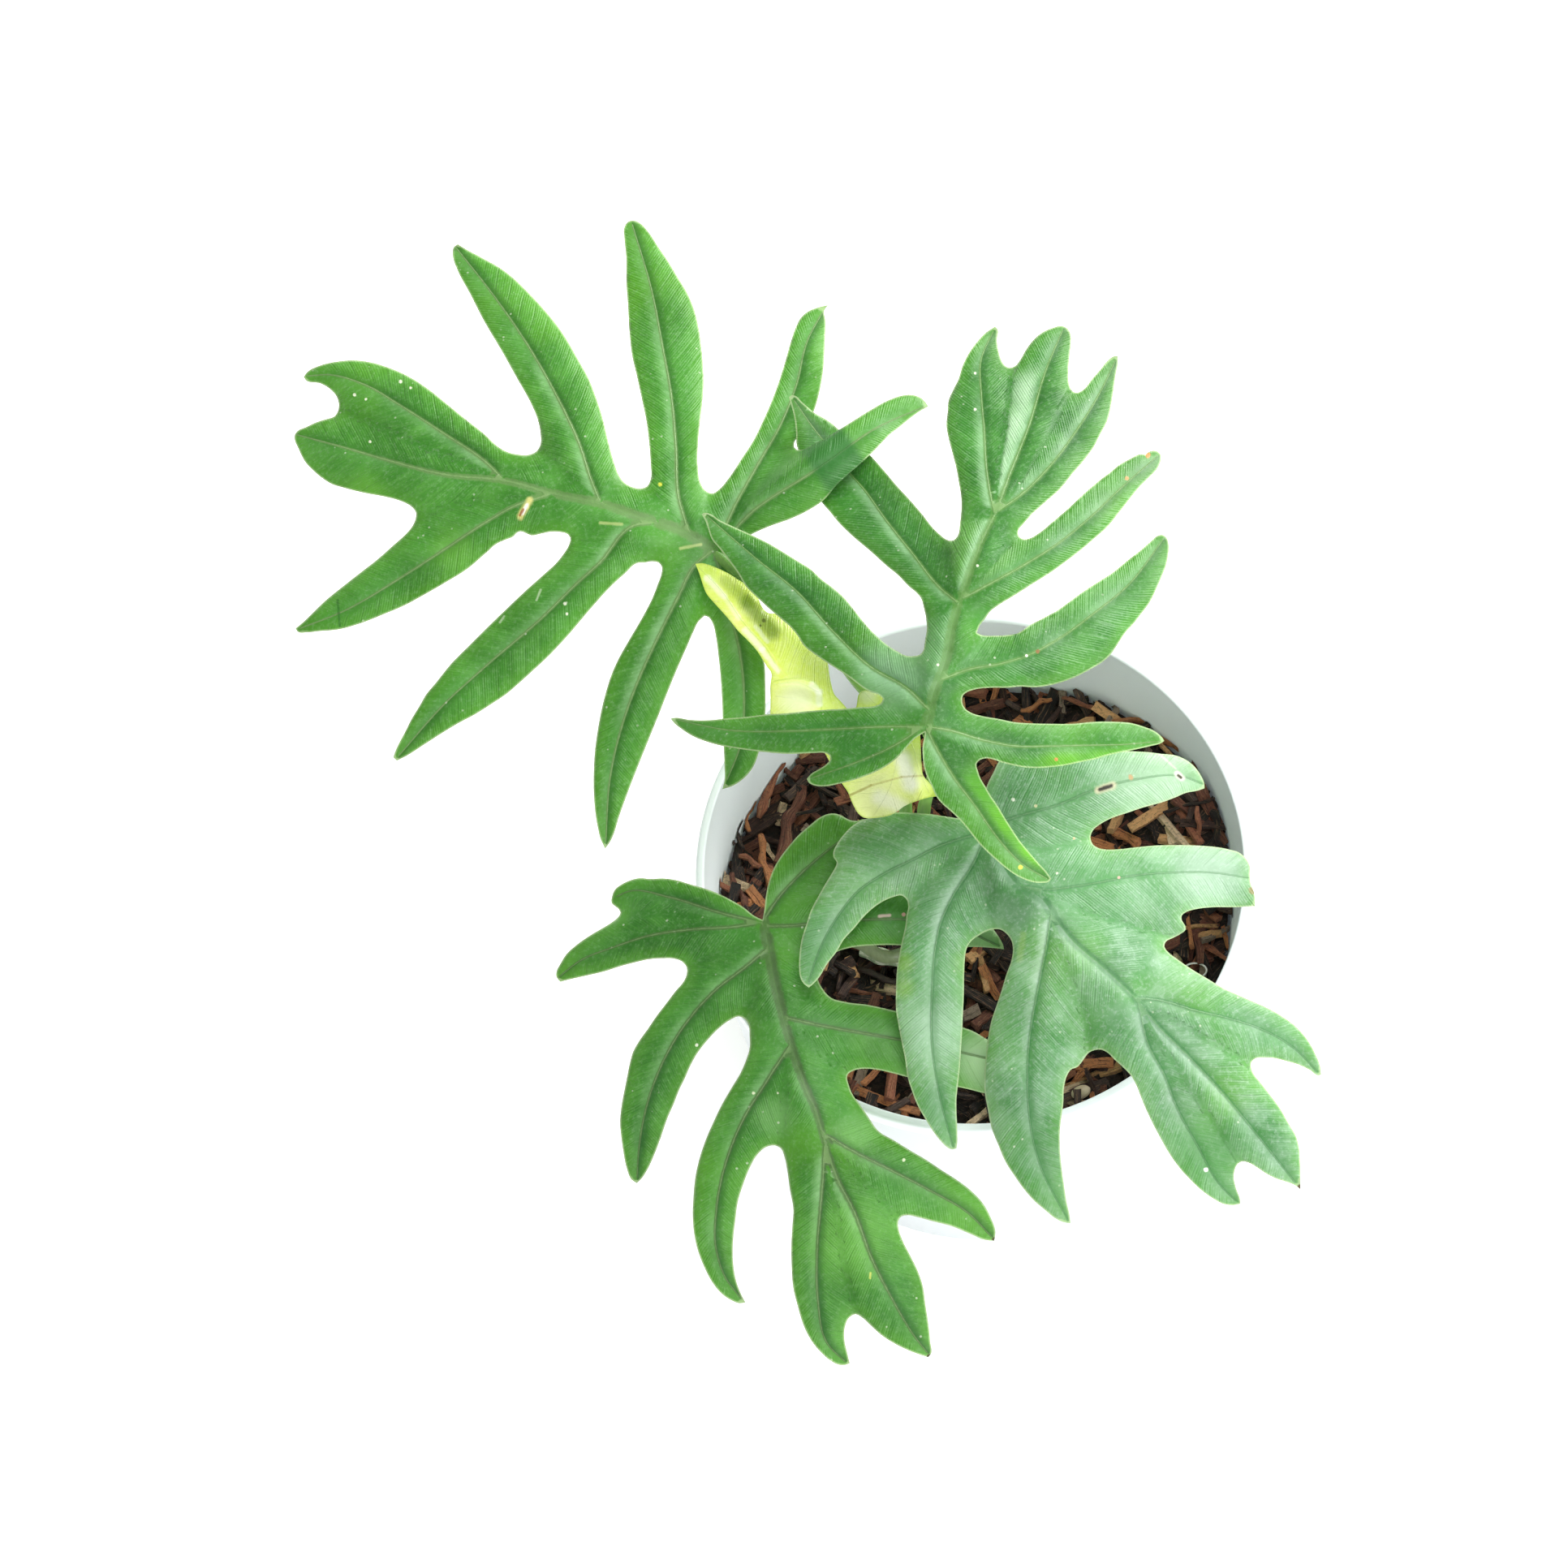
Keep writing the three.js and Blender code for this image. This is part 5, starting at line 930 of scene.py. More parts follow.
# The upper left leaf, the largest; its outline runs clockwise, x and y in mm on the plane of sight.
# A vein is a run of x, y and height above the rim in mm, from its root to the tip of its lobe.
# Paint: a patch is x, y, radius, side of the vein, colour and strength; a line is two ends, width,
# colour and strength; a mark is x, y, radius and colour. Places and sizes are in mm on that plane.
upper_left_outline = [
    -61.5, 77.2, -59.6, 74.6, -57.6, 71.4, -56.2, 67.5, -55.3, 63, -54.2, 58.5, -52.6, 54, -51.4, 50.2,
    -51.1, 45, -51.1, 38, -51.6, 32.5, -52.6, 28.4, -54.4, 23.9, -56.6, 21.4, -59.4, 19.6, -61.7, 18.9,
    -61.2, 20.8, -61.2, 25, -61.5, 32, -61.8, 41.3, -62.1, 46, -62.7, 52, -63.3, 56.5, -64.2, 60,
    -65, 61.2, -66.1, 61.6, -67.5, 60.3, -68.9, 57.5, -70.6, 53.6, -72.8, 48.6, -75.1, 43, -77.3, 37.4,
    -79.8, 31.2, -82.3, 25, -84.9, 18.3, -87.3, 11.6, -88.5, 7.7, -89.6, 5.5, -90.6, 4.2, -91.7, 6.6,
    -92.5, 9.9, -93.1, 13.9, -93.4, 18.3, -93.4, 23.4, -93.1, 28.4, -92.5, 32.9, -91.6, 37.9, -90.2, 43.5,
    -89, 47.2, -87.4, 50.8, -84.9, 55.3, -82.3, 59.7, -80.4, 63.1, -79, 65.9, -77.6, 69.5, -76.7, 72.1,
    -76.6, 73.6, -77.4, 74.7, -79, 75, -80.9, 74.7, -82.6, 74.6, -83.7, 74, -85.1, 72.6, -89, 69,
    -94.1, 63.4, -99.7, 56.8, -105, 51.2, -109, 47.5, -112.1, 44.7, -115.2, 42.1, -118.2, 40.1,
    -122.8, 37.2, -126.4, 35.3, -130.9, 32.6, -135.1, 29.9, -140.2, 26.7, -141.9, 25.9, -142.8, 26.7,
    -142.4, 28, -141.4, 30.2, -139.9, 33, -138.4, 36, -136.1, 39.8, -134.8, 42.1, -132.5, 44.9,
    -128.2, 50.2, -124.3, 54.1, -120.3, 58.1, -113.6, 64.6, -110.1, 67.9, -105.5, 72, -102.4, 74.9,
    -100.9, 76.8, -99.6, 78.9, -99.2, 80.9, -99.8, 81.7, -101.4, 82.2, -103.9, 82.3, -106.5, 81.8,
    -108.8, 81.4, -110, 81.9, -111.4, 82.4, -112.4, 82, -113.1, 81.2, -115.2, 80.3, -117.2, 79.4,
    -120, 77, -124.6, 73.1, -129.4, 70.1, -135.1, 66.8, -139.9, 64.2, -145.3, 61.9, -150.1, 60,
    -156.5, 58.2, -161.1, 57.8, -163.9, 57.5, -166.4, 57.7, -166.9, 58.5, -165.2, 59.9, -162.1, 62.9,
    -159.5, 65.4, -155.2, 68.9, -150.1, 72.9, -147, 75.3, -142.7, 79.1, -139.6, 81.9, -138.1, 83.7,
    -137.3, 85.6, -137.2, 87, -138.1, 88.3, -139.8, 89.4, -141.9, 90.2, -144.7, 90.9, -150, 91.9,
    -155.2, 93.2, -157.8, 94, -160, 95.3, -162.3, 97.2, -164.4, 99.4, -165.9, 102.2, -167, 106.4,
    -166.4, 107.2, -164.4, 108.1, -161.6, 109.4, -159, 110.2, -157.4, 110.7, -156.5, 111.9, -156.2, 113.5,
    -156.7, 115.5, -158.3, 117.4, -160.6, 118.8, -164.4, 119.7, -164.9, 120.5, -164.1, 121.6,
    -160.6, 123.4, -156.5, 124.3, -152.9, 124.6, -148.3, 124.1, -144.2, 122.9, -138.6, 120.4, -134, 117.4,
    -130, 114.2, -125.1, 110.2, -120.2, 106.3, -117.2, 103.5, -114.6, 102, -112.1, 101.4, -109.5, 101.3,
    -107.5, 102.2, -106.5, 104, -106.5, 106.3, -107.2, 109.9, -109, 114.2, -112.3, 120.1, -115.7, 126.2,
    -120.8, 134.9, -123.8, 140.8, -126.9, 146.6, -127.9, 149.2, -128.2, 151.2, -127.9, 152.5,
    -126.9, 153.2, -125.4, 152.3, -120.8, 149.8, -116.2, 147.2, -113.1, 144.8, -110.1, 141.9, -105, 136.4,
    -102.4, 133.2, -100.1, 129.8, -97.3, 124.9, -94.5, 119.8, -93.2, 116.5, -91.2, 110.4, -89.9, 105,
    -88.2, 98.9, -87.2, 96.3, -85.8, 94.4, -83.7, 93.3, -81.8, 93, -80.2, 93.6, -79.4, 95.2, -79.4, 99.2,
    -79.8, 104.6, -80.4, 109.4, -81.5, 114.8, -82.9, 121.2, -83.9, 125.5, -84.6, 131.4, -85, 138.4,
    -85.4, 144.3, -85.4, 149.6, -85.9, 155, -86, 156.9, -85, 158.7, -83.7, 159.1, -82.1, 158.5,
    -79.9, 156.2, -77.5, 152.6, -75.1, 149.1, -72.7, 145.1, -70.3, 141.1, -68.7, 137.3, -67.6, 133,
    -66.9, 128.2, -66.4, 122.8, -66.3, 118.5, -66.6, 114.2, -67.3, 108.3, -67.7, 103.5, -67.7, 98.1,
    -67.1, 94.4, -66, 92.6, -64.1, 91.8, -62.5, 92.8, -60.1, 95.6, -57.2, 100, -54.2, 104.6, -51.8, 109.4,
    -49.7, 114.2, -47.8, 119.3, -46.2, 124.4, -44.8, 129.3, -43.5, 133, -42.2, 135.3, -40.3, 136.8,
    -38.2, 137.6, -35.6, 138.2, -36.6, 136.8, -36.3, 134.6, -36.3, 131.4, -36.5, 127.1, -36.8, 122.3,
    -37.6, 117.5, -39, 112.4, -41, 108.2, -43.3, 105.4, -44, 104.2, -44, 103.2, -43.4, 102.6,
    -41.6, 102.7, -38.6, 104.2, -36, 105.6, -33.1, 107.4, -29, 110, -24.8, 112.6, -20.5, 114.9,
    -17.5, 115.9, -15.1, 116.1, -12.4, 115.1, -10.9, 113.2, -13, 112, -15.1, 110.5, -17.8, 108.3,
    -20.5, 106.2, -22.6, 104, -25.3, 101.3, -28.5, 98.4, -33.1, 94.3, -37.1, 89.8, -40.3, 87.7,
    -45.1, 85.4, -49.9, 83.7, -54.2, 81.8, -57.8, 79.6,
]
upper_left_veins = [
    [-63.7, 77.6, 60, -70.6, 82.1, 61.5, -81, 85.6, 62.5, -92, 89.4, 62.5, -102.4, 91.5, 61.5,
     -115.4, 94.9, 59.5, -130, 96.4, 56.5, -144.7, 100.1, 52.5, -155, 103.1, 49, -166.5, 106.2, 45],
    [-115.4, 94.9, 59.5, -120.3, 99.7, 58, -130, 106.3, 55.5, -140.7, 113.2, 52.5, -150, 118.6, 49.5,
     -158.5, 121, 47, -164, 120.7, 45],
    [-91.8, 89.6, 62.5, -93.2, 92.8, 62.4, -97.3, 104.8, 61, -102.4, 115.5, 58.5, -110, 128.8, 54.5,
     -117.7, 140, 50, -127.3, 152.3, 45],
    [-70.3, 83, 61.5, -72.5, 90.6, 61.5, -73.2, 103.5, 60, -74.3, 115.8, 57.5, -76.5, 128.2, 54,
     -79.1, 141.6, 49.5, -83.9, 158, 43],
    [-62.5, 80, 60.2, -59, 88, 60, -53.1, 98.7, 58.5, -47.3, 108.9, 56, -43.5, 118.5, 53.5,
     -40.8, 129.3, 50.5, -36.4, 137.6, 47.5],
    [-62, 79, 60.2, -54.2, 87.4, 63, -48.9, 91.2, 65, -41.9, 95.5, 67, -35.5, 99.8, 67.5,
     -24.8, 107.3, 65.5, -11.4, 113.4, 60],
    [-104, 91.6, 61.3, -113.1, 88.6, 59.5, -120.3, 84.5, 57.5, -130, 78.1, 54.5, -140.2, 71.5, 51,
     -155, 62.8, 45.5, -166.3, 58.3, 41],
    [-77.5, 84.6, 62, -83.7, 83.8, 61.8, -91.8, 74.9, 60, -98.3, 68.9, 58, -106, 61.3, 55,
     -119.7, 49.5, 49.5, -130, 40.1, 45, -142, 26.5, 39],
    [-63.9, 77.8, 60, -68.3, 74.3, 59.8, -72.8, 65.9, 58, -78.4, 54.7, 54.5, -82.9, 44.6, 50.5,
     -86.8, 33.4, 46, -89.3, 22.3, 41.5, -90.5, 5, 35],
    [-63.5, 77.2, 60, -61.8, 70, 57.5, -59.8, 62.5, 54, -57.4, 52.5, 49.5, -56.4, 42, 45, -57, 31, 41,
     -61.3, 19.3, 37],
]
make_leaf("leaf_upper_left", [{"outline": upper_left_outline, "veins": upper_left_veins}],
          126, [-16.3, 8, 14, -17.3, 23, 32, -20.5, 35, 44, -29, 46.2, 51, -35, 53.4, 53, -40, 57.4, 54.5,
                -51, 66.3, 57, -57, 71.5, 58, -63.4, 77.2, 59.4],
          {
              **BASE_LOOKS, "deep": "#34761f", "mid": "#48902f", "light": "#68ab4a", "warm": "#5fa322",
              "bloom_and_sheen": "#a9d49e", "rib": "#6b8f52", "rib_strength": 0.8, "sheen": 0.5,
              "patches": [(-150, 92, 8, 0, "#6fb13a", 0.4), (-128, 78, 8, 0, "#74b640", 0.4)],
              # The first line is painted shade: the darker band where another lobe lies beneath this one
              "lines": [(-37.6, 105.5, -30.2, 94.6, 6.0, "#2a6a2a", 0.85),
                        (-91.8, 84.5, -86.5, 84.2, 0.35, "#c9d68a", 0.6),
                        (-72, 78.2, -67, 79.2, 0.35, "#c9d68a", 0.6),
                        (-156.5, 65.5, -156, 59.2, 0.3, "#2f6a24", 0.7),
                        (-107.5, 65.5, -106.5, 68, 0.25, "#c6dcb2", 0.6),
                        (-116.5, 60, -115.5, 61.5, 0.25, "#c6dcb2", 0.6),
                        (-111.5, 86, -109.2, 90, 0.75, "#e4dc8a", 0.9),
                        (-111, 86.8, -109.8, 89, 0.4, "#f4efe6", 1.0),
                        (-111.6, 86.4, -110.8, 87.8, 0.3, "#a6632f", 0.9)],
              "marks": [(-77, 94, 0.6, "#d3d94e"), (-152.3, 116, 0.5, "#e4ead0"),
                        (-149.5, 115, 0.4, "#e4ead0"),
                        (-141, 119.3, 0.5, "#e4ead0"), (-138.5, 117.8, 0.4, "#dfe6c8"),
                        (-148.5, 104.5, 0.4, "#dfe6c8"),
                        (-100.5, 64.6, 0.5, "#e4ead0"), (-100, 62.1, 0.4, "#e4ead0")],
          })

# The upper right leaf, which lies highest, with a yellow-green half on its lowest lobe
upper_right_outline = [
    -11.8, 32.9, -14.2, 31.4, -16, 29.5, -18.3, 26.9, -21.1, 24.7, -25.2, 22.6, -29.8, 21, -33.5, 20.1,
    -36.2, 19.6, -39, 19.8, -40.4, 20.5, -40.9, 21.4, -39.9, 22.6, -38.1, 23.7, -36, 25.1, -35.1, 26.3,
    -35.3, 27.2, -36.5, 27.8, -39, 27.8, -46.3, 27.6, -50, 27.9, -53.7, 28.3, -57.4, 28.8, -62, 29.6,
    -65.6, 30.6, -68.9, 31.9, -71.6, 33.6, -73.4, 35, -74.5, 36.3, -73.4, 36.5, -69.8, 36, -65.2, 35.9,
    -61, 36.3, -56, 36.7, -50.9, 37.3, -45.9, 37.6, -40.8, 38.1, -35.8, 38.5, -31.7, 38.7, -28, 39.1,
    -23.8, 39.5, -22.6, 40.1, -22.1, 41.2, -22.9, 42, -24.8, 42.7, -26.1, 43.3, -27.5, 44.2, -29.8, 46,
    -33.5, 48.5, -36, 50.1, -38.5, 51.8, -41.8, 54.5, -43.1, 56.6, -44.7, 58.6, -47.3, 60.9, -50, 63.2,
    -52.8, 65.8, -56, 69, -57.8, 72, -60.1, 75.2, -62.4, 78.2, -64.3, 80.5, -65.2, 83, -66, 85.3,
    -66.8, 86.6, -66.3, 87, -64.9, 86.8, -62.4, 85.2, -59.7, 83.9, -54.6, 81.6, -50.5, 79.6, -46.3, 77.1,
    -43.1, 75.1, -39.9, 73.1, -37.2, 70.6, -34.4, 68.5, -31.6, 66, -29.3, 63.2, -27.5, 60.9, -25.2, 58.2,
    -22.9, 55.9, -20.2, 53.8, -18.3, 52.7, -16.5, 51.8, -14.6, 51.7, -13, 52.1, -12.2, 53.1, -11.9, 54.5,
    -11.7, 55.9, -11.3, 58.2, -11.5, 60.9, -12.1, 63.7, -12.8, 66, -14, 67.4, -15.6, 68.7, -18.3, 71.5,
    -21.1, 73.8, -25.2, 77.5, -29.8, 81.4, -33.5, 85.1, -35.1, 87.1, -37.2, 89.6, -39.5, 94.5,
    -41.6, 99.5, -42.8, 102, -43.3, 103.3, -43.5, 104.4, -43.5, 106, -43.6, 107.7, -44, 110.7,
    -44.8, 113.8, -45.3, 115.5, -44.6, 116, -43.5, 115.7, -42.2, 114.4, -40.5, 112.9, -39.2, 111.8,
    -36.6, 110.3, -34.4, 108.8, -33.1, 107.6, -29.3, 104.6, -25.2, 101.1, -21.4, 96.9, -18.8, 93.8,
    -15.3, 90, -12.3, 86.5, -9.7, 83.2, -7.9, 81.5, -6.4, 80.4, -4.9, 80.2, -3.8, 81.2, -3.2, 84.2,
    -2.8, 88.6, -2.9, 91.2, -3.4, 94.2, -4.1, 98.1, -5.1, 102, -6, 105.5, -6.5, 108.5, -6.2, 112,
    -6, 114.6, -4.9, 117.2, -3.6, 119.8, -2.5, 123.3, -1, 126.3, 1.6, 129.8, 3.3, 131.5, 5.5, 132.9,
    6.2, 132.2, 6, 129.8, 6.3, 127.2, 7, 124.8, 7.9, 123.3, 9.1, 122.8, 10.3, 123.1, 11.6, 124.6,
    13.1, 127.2, 15.1, 129.8, 17.2, 131.5, 20, 132.7, 21.6, 133.1, 23.5, 132.3, 24.2, 130.7, 24.2, 128.5,
    23.8, 125, 23.6, 121.1, 23.8, 118.5, 24.6, 117, 25.7, 116.6, 27, 117.2, 29.4, 120, 31.5, 122.4,
    33.3, 124.6, 34.8, 125.6, 35.7, 125.7, 35.8, 124.1, 35.2, 120.7, 34.7, 117.2, 34.1, 113.3,
    33.1, 109.4, 31.5, 106.4, 29.8, 103.1, 27.6, 100.1, 24.6, 96.6, 21.6, 92.9, 18.5, 90.1, 14.8, 86.8,
    12.5, 84.2, 11.2, 82.5, 11.4, 81.2, 12.5, 80.5, 14.2, 80.8, 16.4, 82.1, 19.8, 84.9, 23.3, 87.9,
    27, 91.4, 30.7, 94.6, 34.1, 97.2, 36.3, 99, 38.7, 100.3, 41.5, 101.5, 42.6, 101.3, 43, 101.8,
    45.4, 102.2, 46.3, 101.4, 46.3, 99.6, 45.4, 97.7, 43.7, 95.9, 41.1, 93.3, 38.5, 90.1, 35.9, 86.8,
    33.3, 83.6, 30.2, 80.8, 26.8, 77.9, 22.9, 74.9, 19, 72.1, 15.5, 69.9, 10.3, 66.6, 6.4, 64.2,
    4.6, 62.9, 2.9, 60.7, 1.6, 59, 1, 57.4, 1.8, 57, 5.5, 56.7, 9, 56.9, 10.7, 57.2, 14.2, 59.4,
    17.7, 61.3, 20.7, 62.9, 23.9, 65.2, 27.6, 67.9, 30.7, 69.9, 34.6, 72.4, 38, 75.2, 41.1, 77.6,
    44.1, 80.2, 45.6, 81.4, 46.7, 81.6, 47.7, 81, 48.3, 79.3, 48.2, 76.7, 47.7, 74.1, 46.7, 71.5,
    45.4, 68.5, 43.7, 65, 41.5, 62, 39.8, 59.8, 37.6, 57.4, 35.9, 54.8, 34.1, 52.2, 31.8, 50.1,
    29.8, 48.9, 25.9, 46.8, 22.4, 45.4, 18.5, 44.4, 14.6, 44, 12, 44.2, 8.5, 43.9, 4.6, 43.9, 0.7, 43.5,
    -1.4, 42.8, -2.4, 42, -2.6, 40.3, -1.9, 38.8, -0.1, 37.6, 2.9, 36.8, 6.4, 36.2, 10.3, 35.4,
    14.6, 35.1, 19, 35, 24.6, 35, 30.2, 35.5, 34.6, 35.5, 38.9, 35.2, 42.4, 34.2, 45, 33.1, 46.7, 31.6,
    47.2, 30.8, 46.7, 30.4, 43.7, 29.5, 40.2, 28.7, 36.3, 27.9, 32.8, 27.1, 30.2, 26.3, 26.8, 25.6,
    22.4, 24.7, 19, 24.3, 15.5, 24.1, 12.5, 24.3, 9.4, 24.9, 6.8, 25.6, 5.1, 26.2, 3.3, 26.5, 1.8, 26.1,
    0.9, 25.1, 1.2, 23.6, 2, 21.4, 3.2, 19.4, 4.1, 17.8, 6, 15, 7.8, 12, 9.7, 9, 11.5, 6.3, 13.8, 3.5,
    16.1, 0.8, 18.2, -1.5, 19.3, -3.1, 18.9, -3.8, 17, -4.2, 14.7, -4, 12.4, -3.2, 10.1, -2, 7.8, -0.3,
    5.5, 1.7, 3.2, 3.8, 0.9, 6.3, -0.9, 8.6, -2.8, 10.9, -5.1, 13.2, -7.4, 15.2, -9, 17.1, -10.1, 19.6,
    -11.3, 22.1, -12, 24.4, -12.3, 27.2, -12.3, 29.9, -11.9, 31.8,
]
upper_right_veins = [
    [-11.4, 34.5, 80, -9.6, 42.6, 81.5, -6.8, 49.9, 82.5, -4.7, 60.5, 83, -1.4, 70.5, 82.5, 2.5, 80.9, 81,
     5.6, 87.1, 79.5, 8.5, 95.1, 77, 13.8, 108.5, 72, 18.1, 122.4, 66, 22.4, 132.6, 61],
    [5.4, 86.6, 79.6, 4.2, 92, 78, 3.3, 98.5, 76, 2.8, 107.2, 73, 2.1, 115.9, 69.5, 2, 124.6, 65.5,
     5.4, 132.5, 61.5],
    [6, 87.3, 79.4, 12.5, 92, 77.5, 19, 98.5, 74.5, 25.5, 107.2, 70.5, 30.7, 115.5, 66,
     35.5, 125.3, 60.5],
    [-1.8, 66.3, 82.7, 4.2, 69.5, 82, 12.9, 74.3, 80, 21.1, 79.5, 77.5, 28.5, 85.5, 74, 36.3, 92.9, 69.5,
     46, 101.4, 63],
    [-7.5, 46, 81.8, -1.4, 48.3, 81, 6.8, 49.8, 79.5, 13.8, 52, 78, 21.1, 55.9, 75.5, 29.8, 62.2, 72,
     38, 68.9, 68, 47.3, 81, 61.5],
    [-11.2, 34.3, 80, -5.8, 33.4, 79.3, 2.5, 31, 77, 10.3, 29.5, 75, 19, 29.5, 72, 27.6, 29.7, 68.5,
     37, 29.9, 64.5, 47, 30.8, 59.5],
    [-11.3, 33.5, 80, -9.2, 29.4, 78.5, -4.6, 21.7, 75, 0.9, 14.3, 71, 6, 7, 66.5, 12, 0.6, 61.5,
     19, -3.6, 56.5],
    [-11.6, 34.3, 80, -20.6, 34.3, 78, -32.1, 33.8, 74.5, -45.9, 33.2, 69.5, -59.7, 33.4, 64,
     -74, 36.2, 57.5],
    [-13, 33.8, 79.8, -16.9, 31.1, 78.5, -22.9, 27.9, 76, -29.8, 25.1, 73, -40.4, 21.4, 68.5],
    [-10.9, 38.5, 80.7, -16, 43.5, 80, -25.2, 49, 77.5, -34.4, 57.7, 74.5, -43.6, 67.8, 71,
     -52.8, 75.2, 68, -66.2, 86.8, 64],
    [-3.6, 64.8, 82.8, -7.9, 68.3, 80.5, -14.9, 77, 75.5, -21.4, 85.2, 69.5, -27, 93, 62.5,
     -31, 97.5, 60.2, -35, 102.5, 59.5, -39, 107.5, 60.5, -44.6, 115.5, 63],
]
make_leaf("leaf_upper_right", [{"outline": upper_right_outline, "veins": upper_right_veins}],
          60, [-12.3, 0, 10, -12, 14, 31, -9.8, 22, 49, -9.4, 29, 69, -11.2, 33.8, 79],
          {
              **BASE_LOOKS, "deep": "#286620", "mid": "#397d2b", "light": "#5a9e43", "dark": "#1d4f19",
              "bloom_and_sheen": "#b4dcae", "sheen": 0.55, "shade": 0.5, "rib": "#5f8a44", "rib_strength": 0.7,
              # Painted sheen: the pale grey-green patches near the base and the whitish ones along the top
              # lobe's midrib; painted shade: the two dark green patches right of the midrib
              "patches": [(1, 19, 7, 1, "#58a426", 0.8), (8, 11.5, 8, 1, "#62ac22", 0.9),
                          (14.5, 3, 7, 1, "#66b020", 0.9),
                          (22, 25.5, 8, -1, "#6ab12c", 0.7), (34, 27.5, 8, -1, "#6ab12c", 0.7),
                          (-8, 52, 14, 1, "#8fbf90", 0.35),
                          (4, 60, 7, 0, "#35802c", 0.6), (8, 48, 7, 0, "#35802c", 0.4),
                          (-20, 47, 13, 0, "#9fc9a0", 0.5), (3, 78, 14, 1, "#8cbf6c", 0.3),
                          (8, 98, 8, 1, "#c2e2bc", 0.6), (11.5, 107.5, 8, 1, "#c2e2bc", 0.65),
                          (15, 116.5, 8, 1, "#c2e2bc", 0.6)],
              "lines": [(10.5, 57, 12, 52, 0.7, "#2f6f22", 0.7)],
              "marks": [(43.2, 101.2, 0.8, "#c98b4a"), (38, 95.5, 0.6, "#b98d4c"),
                        (20.6, 26.2, 0.6, "#c08a4a"),
                        (11.8, -0.3, 0.7, "#d3d94e"), (16, 52.8, 0.6, "#8a6a3c"),
                        (13.3, 51.8, 0.4, "#f0f2e4"),
                        (-8.6, 49.5, 0.4, "#e2e8d0"), (1.2, 74, 0.4, "#e2e8d0"),
                        (0.6, 121.4, 0.4, "#e2e8d0"),
                        (0.6, 112.5, 0.4, "#e2e8d0")],
          })
